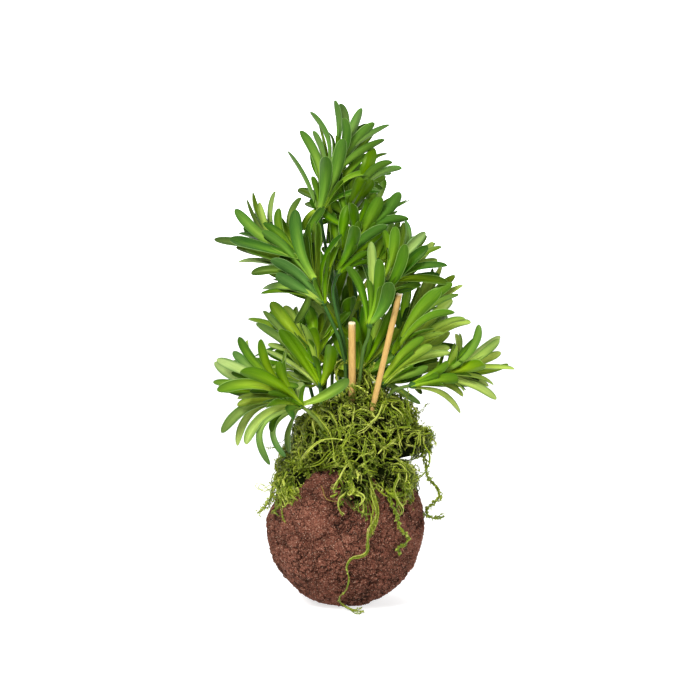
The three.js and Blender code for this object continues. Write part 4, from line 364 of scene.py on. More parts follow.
        [-27.3, -5.2, 181.8, -40.8, -4.2, 197.2, -52.5, -7.3, 213.8, 0.24, -0.96, 0.12, 7.6, "w"],
        [-28.2, -3.7, 183.4, -35.4, -3.3, 195.7, -43, -0.2, 210.5, 0.16, -0.96, 0.21, 6.7, "ls"],
        [-27.2, -2.2, 182.9, -35, -2.6, 195, -35, 6, 209.2, -0.61, -0.79, 0.07, 5.7, "w"],
        [-23.9, -5.4, 182.8, -20.3, -2.2, 197.5, -27.6, 2.1, 209.6, -0.21, -0.95, 0.24, 7.6, "ds"],
        [-23.7, -4, 183.9, -16.7, -1.2, 191.6, -16.1, 8.6, 204.3, -0.27, -0.77, 0.57, 5.7, "os"],
        [-24.5, -2.5, 184.6, -12.2, -1, 186.2, -10.6, 12.6, 200.3, 0.01, -0.72, 0.69, 5.5, "ls"],
        [-25.4, -1.7, 182.5, -22.4, -0.4, 194.2, -22.6, 17.2, 204.1, -0.12, -0.74, 0.66, 5.7, "m"],
        ],
    ),
    "left_low_1": (
        "left_low", [-31.81, -27, 144.16], [-0.71, -0.3, 0.637],
        [
        [-31.8, -29.4, 145.3, -47.8, -54.1, 167.1, -71.8, -64.5, 172.4, -0.45, 0.81, 0.38, 8, "ds"],
        [-29.4, -28.2, 143.9, -44.2, -39.2, 159.2, -45.6, -53.1, 177.8, -0.46, 0.81, 0.37, 5.6, "ms"],
        [-31.3, -28.2, 146.6, -41.3, -35.7, 158.7, -42.5, -39.2, 177.1, -0.86, 0.49, -0.14, 5.6, "d"],
        [-30.5, -24.7, 144.4, -36.7, -24.2, 152.2, -31, -9.2, 157.8, -0.21, -0.65, 0.73, 6, "yv"],
        [-31.5, -24.4, 143.4, -52.7, -22.7, 155.3, -75.2, -21.9, 150.1, 0.06, -0.73, 0.68, 5.5, "o"],
        [-33.8, -28.7, 143.5, -52.3, -29.7, 155.5, -74.4, -44.1, 150.8, 0.34, -0.53, 0.78, 5.7, "ls"],
        [-32.3, -26, 141.7, -53.5, -33.9, 153.4, -75.2, -32.2, 144.6, 0.16, -0.85, 0.51, 5.7, "ys"],
        [-34.4, -26.2, 144, -67.2, -30.2, 155.7, -86.2, -27.8, 124.7, -0.08, -0.95, 0.29, 6.3, "wv"],
        [-33.8, -25.4, 145.1, -70, -19.7, 149.3, -75.4, -22.1, 114.7, -0.36, -0.84, 0.41, 5.2, "yg"],
        [-34.4, -27.4, 143.4, -59.6, -25.6, 142.7, -69, -34.1, 117.6, -0.05, -0.95, 0.32, 6.7, "pg"],
        [-31.3, -28.2, 141.8, -73.7, -36.6, 137.6, -52.6, -30.6, 102.7, -0.52, -0.78, 0.33, 4.5, "gv"],
        [-32, -27.2, 141.5, -62.5, -29.5, 131.7, -42.1, -19.2, 106.5, -0.71, -0.7, 0.05, 5.5, "hv"],
        [-32.1, -25, 142.4, -42.1, -14, 126.9, -39.4, -17.5, 109, -0.52, -0.85, -0.08, 4.8, "ov"],
        [-30.4, -28.7, 142.6, -45.4, -36.6, 143.7, -36.1, -72.4, 141.1, 0.47, -0.09, 0.88, 6, "dg"],
        [-32.8, -29.5, 144.2, -43.5, -31.5, 148.8, -54, -60.1, 147.5, -0.78, 0.57, 0.26, 5.5, "h"],
        [-29.2, -27, 144.8, -13.7, -27.7, 148.9, 2.1, -30.4, 162.8, -0.23, -0.95, 0.21, 6.8, "gg"],
        [-32.8, -25.4, 146.2, -28.3, -21.6, 147.3, -33, 0.4, 150.2, -0.62, -0.12, 0.77, 5.4, "o"],
        ],
    ),
    "left_low_2": (
        "left_low", [-40.29, -33.5, 152.4], [-0.618, -0.475, 0.626],
        [
        [-40.6, -31.6, 153.6, -56, -32.3, 168.2, -58.4, -38.2, 191.5, -0.06, -0.98, -0.2, 5.6, "hs"],
        [-40.3, -34.5, 150.2, -64, -47.7, 168.2, -88, -53.2, 157.9, 0.39, -0.89, 0.26, 6.6, "h"],
        [-38.1, -33.1, 153.4, -43.4, -17.7, 165.4, -41.6, -17.6, 181.4, -0.82, -0.53, 0.19, 5.7, "w"],
        [-42.6, -33, 151.9, -61.9, -32.8, 156.7, -85.4, -34, 154.6, 0.06, -0.72, 0.69, 5.6, "ms"],
        ],
    ),
    "left_low_3": (
        "left_low", [-48.72, -40, 161.27], [-0.608, -0.469, 0.641],
        [
        [-47.8, -38.9, 163, -64.7, -41.5, 173.8, -73.2, -43.3, 193.5, -0.04, -0.98, -0.17, 5.5, "d"],
        [-49.5, -38.5, 163, -66.9, -29.5, 169.8, -68, -24.9, 189.2, -0.84, -0.36, -0.4, 5.5, "p"],
        [-46.5, -39.8, 162.2, -58.9, -39.1, 170.2, -65.4, -31.2, 180.9, -0.64, -0.69, -0.33, 5.7, "l"],
        [-49.5, -37.8, 160.8, -65.2, -35.5, 168.8, -77.7, -34.3, 182.4, 0.14, -0.93, 0.33, 5.7, "hv"],
        [-50.7, -40.9, 160.2, -68.1, -39.7, 169.7, -88.8, -40, 177.5, 0.11, -0.95, 0.28, 6.1, "pv"],
        [-50.5, -39.1, 160.3, -73.4, -27, 156.9, -90.7, -28.6, 174.4, -0.11, -0.93, 0.36, 5.8, "pv"],
        [-48.5, -41.2, 159.2, -70.5, -31.8, 157.4, -91.8, -28.9, 160.5, -0.21, -0.79, 0.58, 5.3, "h"],
        ],
    ),
    "upper_left_1": (
        "upper_left", [-15.98, -9, 213.93], [-0.392, -0.134, 0.91],
        [
        [-17.2, -10.7, 213.2, -29.5, -16.8, 235.1, -51.4, -31.6, 245.7, -0.23, 0.91, 0.34, 7.3, "dv"],
        [-16.6, -11.3, 214.3, -31.9, -21, 224.7, -47.9, -35.3, 235.7, -0.41, 0.84, 0.35, 6.7, "dv"],
        [-17.7, -7.6, 213.4, -35.2, -20.8, 230.1, -51.6, -1.9, 228.9, 0.35, -0.31, 0.88, 5.6, "o"],
        [-17.5, -9.7, 212.2, -34.3, -34.9, 230.6, -58.8, 6, 221.5, -0.1, -0.69, 0.71, 5.4, "lg"],
        [-18.4, -8.8, 213.9, -35.7, -8, 223.3, -58.6, -22.9, 221, 0.29, -0.41, 0.86, 5.3, "l"],
        [-14.8, -6.9, 213.8, -20.1, -8.1, 241.7, -19.1, -7.1, 269.5, -0.79, -0.61, -0.06, 5.3, "l"],
        [-13.9, -8.8, 214.8, -22.1, -11.3, 241.9, -2.7, -15.4, 261.5, -0.82, -0.56, 0.12, 5.2, "ds"],
        [-14.7, -7.8, 215.6, -15.2, -6.9, 238.8, 0.7, -2, 258, -0.8, -0.48, 0.36, 5.5, "o"],
        [-13.7, -9.8, 213.8, -13.4, -10.9, 233.8, -6.2, -13.1, 252.7, -0.76, -0.64, 0.09, 5.3, "ls"],
        [-14.3, -10.7, 213.4, -13.7, -14.2, 232.2, -11.3, -23.3, 250.1, -0.86, 0.46, 0.23, 5.4, "ds"],
        ],
    ),
    "upper_left_2": (
        "upper_left", [-22.85, -13.5, 230.44], [-0.426, -0.243, 0.871],
        [
        [-21.7, -15.4, 231.5, -36.2, -27.2, 253.9, -34.3, -26.5, 279.6, -0.1, -0.96, -0.25, 7.7, "kg"],
        [-23.6, -15.4, 229.5, -37.6, -24.6, 251.2, -57.5, -31, 265.2, -0.14, 0.95, 0.29, 6.3, "kg"],
        [-25.3, -13.5, 230.3, -42.7, -13.7, 248, -69.5, -23.4, 252.9, 0.3, -0.94, 0.18, 6.6, "l"],
        [-24.6, -12.2, 230, -46.6, -12.7, 245.6, -74.8, -12, 241.8, 0.21, -0.4, 0.9, 5.8, "pv"],
        [-24.1, -14.3, 228.6, -43.1, -20.3, 240.8, -65.8, -14.1, 234.3, 0.07, -0.82, 0.56, 5.8, "og"],
        [-20.5, -13, 230.7, -25.4, -14.5, 249.9, -25.2, -16.9, 269.6, -0.5, -0.85, -0.15, 5.4, "l"],
        [-21.5, -12.1, 231.5, -21.4, -13.5, 250, -21.4, -10.2, 270.5, -0.87, -0.5, 0.03, 5.8, "l"],
        [-22.9, -11.6, 232, -29.3, -11.8, 245.3, -28.5, -2.1, 262.2, -0.67, -0.73, 0.1, 5.7, "m"],
        [-23.4, -11.2, 229.8, -48.5, -4.1, 243.6, -76.4, -6, 251.7, 0.29, -0.49, 0.82, 5.5, "o"],
        ],
    ),
    "upper_left_3": (
        "upper_left", [-31.74, -18, 246.15], [-0.478, -0.242, 0.844],
        [
        [-33.8, -19.2, 245.7, -58.4, -20.8, 256.5, -76.4, -20.2, 279.5, 0.19, -0.96, 0.21, 6.6, "hg"],
        [-32.9, -16.1, 246.1, -61.9, -15.2, 256.9, -68.4, -15.5, 285.7, 0.62, -0.54, 0.57, 4.6, "yv"],
        [-31.7, -15.6, 245.8, -64.5, -10.7, 262.4, -64.5, -13.1, 290.8, 0.76, -0.32, 0.57, 5.8, "y"],
        [-33.8, -16.8, 246.4, -59.1, -18.5, 257, -59.9, -17.3, 284.1, 0.56, -0.74, 0.38, 5.7, "p"],
        [-30.6, -16.4, 247.2, -59.6, -10.3, 264, -48.6, -11.5, 291.3, -0.82, -0.49, -0.28, 5.4, "yv"],
        [-31.8, -16.2, 247.7, -47.9, -20.9, 259.6, -46.1, -16, 279.9, -0.47, -0.86, -0.2, 5.5, "g"],
        [-29.6, -17, 246.6, -46.2, -9.5, 267.1, -31.2, -1.5, 286.1, -0.53, -0.8, 0.29, 5.3, "og"],
        [-32.4, -19.5, 244.3, -41.6, -19.8, 261.7, -56.9, -29.1, 270.2, 0.59, -0.75, 0.28, 5.3, "k"],
        [-33.2, -17.1, 244.5, -51.7, -15.1, 256.6, -74.5, -8.8, 261.7, 0.29, -0.39, 0.87, 5.8, "d"],
        [-33.7, -18.1, 245, -60.7, -9.6, 253.4, -91.4, -11.9, 257.8, -0.01, -0.92, 0.39, 5.2, "ov"],
        [-31.9, -20.1, 245.4, -56.1, -22.8, 252.2, -80.1, -24.6, 259.2, 0.17, -0.95, 0.27, 7, "dg"],
        ],
    ),
    "centre_1": (
        "centre", [-4.82, 18, 187.94], [0.2, 0.055, 0.978],
        [
        [-4.1, 15.9, 189.4, 0.2, 11.6, 201.2, 4.2, -4.2, 216.9, 0.03, 0.81, 0.58, 8.1, "ds"],
        [-3, 18.6, 186, 8.7, 22.4, 205.7, 1.6, 21.5, 229.4, 0.56, -0.82, -0.01, 5.2, "ys"],
        [-2.5, 17.1, 189.1, 2.3, 17.1, 199.9, 10.2, 14.3, 212.5, -0.68, 0.59, 0.44, 5.5, "y"],
        [-7.3, 18.3, 186.9, -15.7, 21.4, 198.3, -24.2, 33.7, 210.8, -0.04, -0.85, 0.52, 6.4, "pg"],
        [-3.3, 16.7, 186.2, 3.4, 16.3, 196, 5.6, 11, 206.9, -0.76, 0.47, 0.45, 5.2, "p"],
        [-6.7, 18.1, 189.9, -13.7, 18.3, 183.2, -17.7, 24.3, 194, -0.23, -0.79, 0.57, 5.2, "m"],
        ],
    ),
    "centre_low_1": (
        "centre_low", [8.83, 2, 164.4], [0.053, -0.048, 0.997],
        [
        [8.5, -0.3, 165.8, 10.1, 0.3, 174.8, 9.1, -10.9, 187.6, 0.73, 0.62, 0.28, 5.2, "l"],
        [10.4, 0.2, 165.7, 19.6, 2.2, 181.4, 23.7, -7.4, 202.6, -0.07, 0.97, 0.23, 6.6, "ls"],
        [9.2, -0.1, 162.8, 25.1, -3.4, 184.7, 31.3, -12.4, 208.7, -0.02, 0.96, 0.27, 5.3, "ds"],
        [10.3, 3.7, 165.9, 26.4, 6.4, 186.7, 37.1, 6.1, 214.4, -0.2, -0.97, 0.16, 6.4, "o"],
        [6.8, 1.1, 166, -0.6, 1.3, 174.7, -2.1, -3.8, 190.9, 0.24, 0.93, 0.27, 5.3, "ls"],
        [6.9, 0.8, 162.9, 8.5, 1, 184.2, 4.9, -5, 203, 0.18, 0.97, 0.15, 6.7, "ds"],
        [8.7, 4.3, 163, 12.3, 2.2, 189.6, 14.7, 6.8, 213.7, -0.2, -0.98, 0.07, 6.4, "ds"],
        [6.5, 2.5, 163, -2.3, 2.6, 176.7, -8.4, 5.8, 191.9, 0.17, -0.96, 0.2, 6.4, "hs"],
        [10.6, 0.7, 162.7, 22.7, -2.4, 166.4, 40.2, -0.4, 181.3, -0.18, -0.96, 0.23, 6, "d"],
        [11, 2.3, 162.8, 30.5, 3.1, 153.4, 52.3, 0.3, 141, 0.39, -0.49, 0.78, 4.9, "wv"],
        [7, 3, 166.1, -5.2, 4.2, 163.3, -14.1, 14.3, 176, -0.24, -0.86, 0.45, 5.7, "ls"],
        [11.2, 2, 165.8, 26.9, 4.3, 178.7, 41.1, -10.1, 200.1, 0.09, 0.96, 0.26, 5.7, "y"],
        [10.2, 3.8, 162.9, 21.5, 3, 159, 34.5, 10.3, 165.2, 0.12, -0.7, 0.71, 5.3, "ds"],
        ],
    ),
    "back_upper_1": (
        "back_upper", [-3, 34, 196], [-0.021, 0.342, 0.94],
        [
        [-5.1, 34.3, 194.9, -14.5, 34.4, 204.8, -27.3, 72.8, 202.2, 0.35, -0.26, 0.9, 7, "o"],
        [-4, 36.2, 196.2, -3.1, 59.7, 203.5, -2.9, 83.2, 199.1, -0.03, -0.34, 0.94, 6.4, "o"],
        [-2.9, 36.1, 195.2, -2.5, 66, 195.7, 3, 91.6, 200, -0.4, -0.43, 0.81, 7.2, "o"],
        [-1.9, 35.5, 194.5, -1.2, 65.4, 195.3, 10.8, 89.2, 203.9, -0.76, -0.11, 0.65, 6.6, "d"],
        [-2.1, 32.4, 197.6, 4.8, 17.5, 220.3, 15, 25.1, 235.2, -0.3, 0.85, 0.43, 7.1, "l"],
        [-3.1, 31.9, 196.8, -4, 2.5, 199.3, -16.5, 7.8, 235.2, 0.22, 0.91, 0.36, 7, "ms"],
        [-4, 31.9, 195.8, -4.4, 2.5, 196, -25.6, -9.2, 222.4, 0.4, 0.76, 0.51, 6.7, "p"],
        [-4.8, 33.1, 197.2, -20.7, 29.2, 214.4, -43.3, 31.6, 223.3, 0.75, 0.34, 0.56, 6.7, "l"],
        [-5.2, 33.7, 196.1, -20.1, 34.2, 213.3, -42.5, 46.9, 220.3, 0.77, 0.01, 0.64, 6.5, "m"],
        ],
    ),
    "back_upper_2": (
        "back_upper", [-5, 45, 209], [-0.118, 0.661, 0.741],
        [
        [-5.3, 43.9, 211.1, -5.5, 17.9, 221.9, -4.4, 19.5, 255.2, -0.19, 0.94, -0.28, 6.9, "ws"],
        [-6.2, 43.5, 210.1, -13.6, 56.3, 231.9, -27.6, 59.1, 253.9, 0.58, 0.77, -0.26, 6.5, "m"],
        [-6.8, 43.4, 208.9, -20.9, 44.5, 226.7, -41.9, 48.9, 238.4, 0.73, 0.64, 0.24, 6.5, "p"],
        [-7, 45.5, 208.2, -18.5, 59.8, 222.7, -38.1, 74.1, 228, 0.84, 0.12, 0.53, 6.6, "m"],
        [-7.3, 45.3, 209.6, -18, 49.4, 216.6, -34, 74.7, 212.9, 0.51, -0.08, 0.86, 6.9, "o"],
        [-5.2, 46, 206.9, -8.7, 65.4, 218.4, -12.5, 88.5, 217.5, 0.07, -0.47, 0.88, 6.8, "l"],
        [-4.3, 47.2, 208.4, -2.3, 71.2, 217.2, 3.7, 95.3, 214.3, -0.39, -0.32, 0.86, 7, "l"],
        [-3.1, 46, 208.4, 4, 64.6, 220.9, 18.8, 82.4, 224.3, -0.81, -0.08, 0.58, 6.5, "d"],
        [-2.7, 44.7, 208.4, 3.8, 60.9, 226.3, 20.6, 73.8, 237.9, -0.96, 0.16, 0.22, 6.6, "d"],
        [-3, 44.5, 209.8, 1, 58.3, 229.6, 14.8, 67.2, 247.9, -0.89, 0.45, -0.12, 6.8, "m"],
        [-4, 43, 209.8, -3.6, 15.2, 216.9, 3.5, 23.7, 257.9, -0.37, 0.9, -0.22, 7.2, "os"],
        ],
    ),
    "back_left_1": (
        "back_left", [-27, 30, 152], [-0.414, 0.552, 0.724],
        [
        [-27, 28.9, 154.1, -32.8, 24.9, 175.8, -35, 11.3, 194.8, -0.33, 0.94, 0.06, 6.6, "o"],
        [-27.6, 28.2, 153.1, -37.5, 27.2, 175.7, -45.7, 14.8, 195.5, -0.14, 0.99, -0.02, 6.6, "l"],
        [-28.4, 28.3, 151.2, -51.1, 27.8, 163.2, -74.1, 18.2, 165.3, 0.25, 0.78, 0.57, 6.7, "l"],
        [-29.4, 30.1, 151.8, -51.8, 35.1, 156.7, -75.3, 34.5, 151.7, 0.32, 0.54, 0.78, 7.3, "o"],
        [-28.6, 30.7, 150.6, -48.9, 46.8, 153.3, -69.3, 59.3, 143, 0.24, 0.14, 0.96, 6.2, "l"],
        [-27.4, 30.9, 149.8, -41.7, 53.6, 152.4, -53.5, 74.2, 141.1, -0.03, -0.11, 0.99, 6.2, "o"],
        [-27, 32.3, 151.5, -31, 54.6, 155.2, -30.8, 77.2, 148.4, -0.41, -0.25, 0.88, 6.5, "o"],
        [-25.5, 31.6, 151.7, -17.7, 54.6, 162.2, -1.7, 75.6, 162.5, -0.79, -0.02, 0.61, 6.8, "o"],
        [-24.7, 30.4, 151.8, -13.4, 49.4, 167.4, 6.6, 61.6, 174.3, -0.87, 0.23, 0.45, 6.9, "o"],
        [-25.1, 29.9, 153.2, -17.8, 37.3, 174, -1.4, 39.6, 190.3, -0.88, 0.46, 0.14, 7.1, "o"],
        [-25.3, 28.5, 152.8, -20.8, 30.2, 176.9, -8, 22.9, 196.4, -0.73, 0.67, 0.1, 7.1, "o"],
        ],
    ),
    "back_left_2": (
        "back_left", [-35, 41, 161], [-0.495, 0.679, 0.543],
        [
        [-33.9, 43.1, 161, -34.6, 65, 168, -27, 87.4, 167.8, -0.84, -0.21, 0.51, 6.5, "m"],
        [-33.1, 41.9, 161.6, -32.6, 60.5, 176.7, -21.2, 77.8, 188.8, -1, 0.02, 0.01, 7.2, "l"],
        [-32.8, 40.6, 161.8, -35.3, 57.2, 182.7, -26.6, 68, 203.9, -0.89, 0.32, -0.33, 7.2, "m"],
        [-33.8, 40.4, 162.8, -33.3, 50.2, 184.4, -22.6, 51.6, 206.4, -0.87, 0.42, -0.26, 7.4, "d"],
        [-34.4, 39.1, 162.3, -45.6, 51.5, 179.5, -54.2, 54.8, 200.8, -0.18, 0.75, -0.64, 6.3, "o"],
        [-36.1, 40.4, 159, -56.6, 58.4, 162.7, -78, 61.8, 155.9, 0.4, 0.48, 0.78, 6.3, "o"],
        [-37.2, 40.3, 161.5, -59.4, 41.7, 166.2, -84.6, 46.8, 162.7, 0.46, 0.62, 0.63, 7.3, "d"],
        [-36.9, 40.3, 160.2, -59.1, 51.8, 166, -84.4, 56.9, 161.6, 0.48, 0.55, 0.68, 6.2, "m"],
        [-36.4, 42.4, 159.7, -53.8, 60.8, 160.1, -71.5, 71.3, 149.6, 0.24, 0.21, 0.95, 7.3, "d"],
        [-35, 42.4, 159.3, -48, 61.6, 162.2, -58.8, 80.3, 153.3, -0.02, -0.17, 0.98, 6.2, "d"],
        [-33.7, 42, 159.3, -43.5, 62.7, 168.9, -46.9, 86.4, 168, -0.48, -0.54, 0.69, 7.3, "m"],
        ],
    ),
    "back_low_1": (
        "back_low", [14, 46, 151], [0.136, 0.597, 0.791],
        [
        [16, 45.1, 149.4, 28.2, 61.2, 167.9, 48.3, 64.5, 178.5, -0.83, 0.46, 0.31, 7.1, "d"],
        [15.5, 43.9, 150.4, 31.9, 49, 172, 53.2, 54.2, 185.4, -0.52, 0.8, 0.3, 6.8, "m"],
        [15, 45.2, 153.3, 22.4, 42.8, 176, 31.5, 30, 195.5, -0.15, 0.98, 0.11, 7.2, "d"],
        [13.4, 43.4, 151.2, 15.7, 54.3, 173.2, 15.4, 54.5, 196.3, 0.22, 0.87, -0.44, 7.2, "p"],
        [11.9, 44.4, 150.7, -6.1, 44.2, 168.6, -29.1, 38.6, 176.4, 0.57, 0.63, 0.52, 6.8, "y"],
        [12, 46.9, 152.6, 11.4, 59.8, 170.2, 0.2, 72, 186.7, 0.99, 0.09, -0.04, 6.5, "l"],
        [12.8, 48.3, 151.3, 7.1, 71.5, 164.8, -6, 87.4, 170.8, 0.82, -0.21, 0.54, 6.3, "m"],
        [12.2, 46.4, 149.1, 4.6, 64.2, 154.2, -7.5, 87.5, 146.2, 0.45, -0, 0.89, 6.8, "o"],
        [13.7, 46.9, 148.5, 16.6, 70.3, 164.1, 18.3, 91.9, 167.4, 0.08, -0.63, 0.77, 6.4, "d"],
        [15.1, 48.4, 150.9, 21.4, 65.4, 160.8, 29.8, 91, 158.7, -0.21, -0.38, 0.9, 6.5, "o"],
        [15.2, 46.3, 148.7, 28.3, 66.5, 156.1, 43.9, 83.9, 150.4, -0.41, -0.02, 0.91, 6.8, "o"],
        [16.3, 47.2, 151.6, 26.8, 62, 167, 46.3, 76.2, 174.4, -0.85, 0.02, 0.53, 6.7, "o"],
        ],
    ),
    "back_side_1": (
        "back_side", [38, 28, 168], [0.292, 0.319, 0.902],
        [
        [40.1, 27.1, 169.3, 51.9, 28.2, 189.5, 72.2, 19, 204.6, -0.76, 0.57, 0.29, 6.4, "o"],
        [38.6, 25.6, 167, 46, 0.5, 179.8, 61.6, -13, 196.7, -0.26, 0.9, 0.35, 7.1, "m"],
        [36.8, 27.3, 170.3, 31.4, 25.1, 192.8, 18.1, 16.6, 211.2, 0.74, 0.63, 0.21, 6.5, "o"],
        [35.5, 27.1, 167.4, 26.8, 30.5, 190, 9, 31.3, 204.4, 0.84, 0.42, 0.35, 6.3, "o"],
        [36.4, 29.1, 169.8, 33.1, 39.6, 192.1, 18.6, 51.8, 210.2, 0.97, -0.15, 0.19, 6.7, "d"],
        [35.7, 28.7, 166.8, 33.2, 41.5, 188.1, 20.9, 56.8, 201.3, 0.89, -0.33, 0.33, 6.3, "m"],
        [37.5, 30.4, 169, 34.1, 45.1, 178.4, 26.2, 69.8, 177.7, 0.49, -0.34, 0.8, 6.5, "o"],
        [37.8, 29.6, 165.8, 45.2, 43.4, 183.8, 51.2, 62.1, 190.2, 0.04, -0.74, 0.67, 6.5, "m"],
        [39.9, 29.9, 168.4, 51.3, 41.5, 183.3, 65.8, 64.2, 187.1, -0.29, -0.55, 0.78, 7.2, "m"],
        [39.2, 28.6, 165.7, 59.4, 40.9, 173.6, 79.9, 51.6, 167.8, -0.31, -0.01, 0.95, 7.1, "o"],
        [39.6, 27.1, 166.1, 56.7, 34.9, 186.7, 81.2, 39.1, 195.3, -0.78, 0.19, 0.6, 6.7, "o"],
        ],
    ),
}

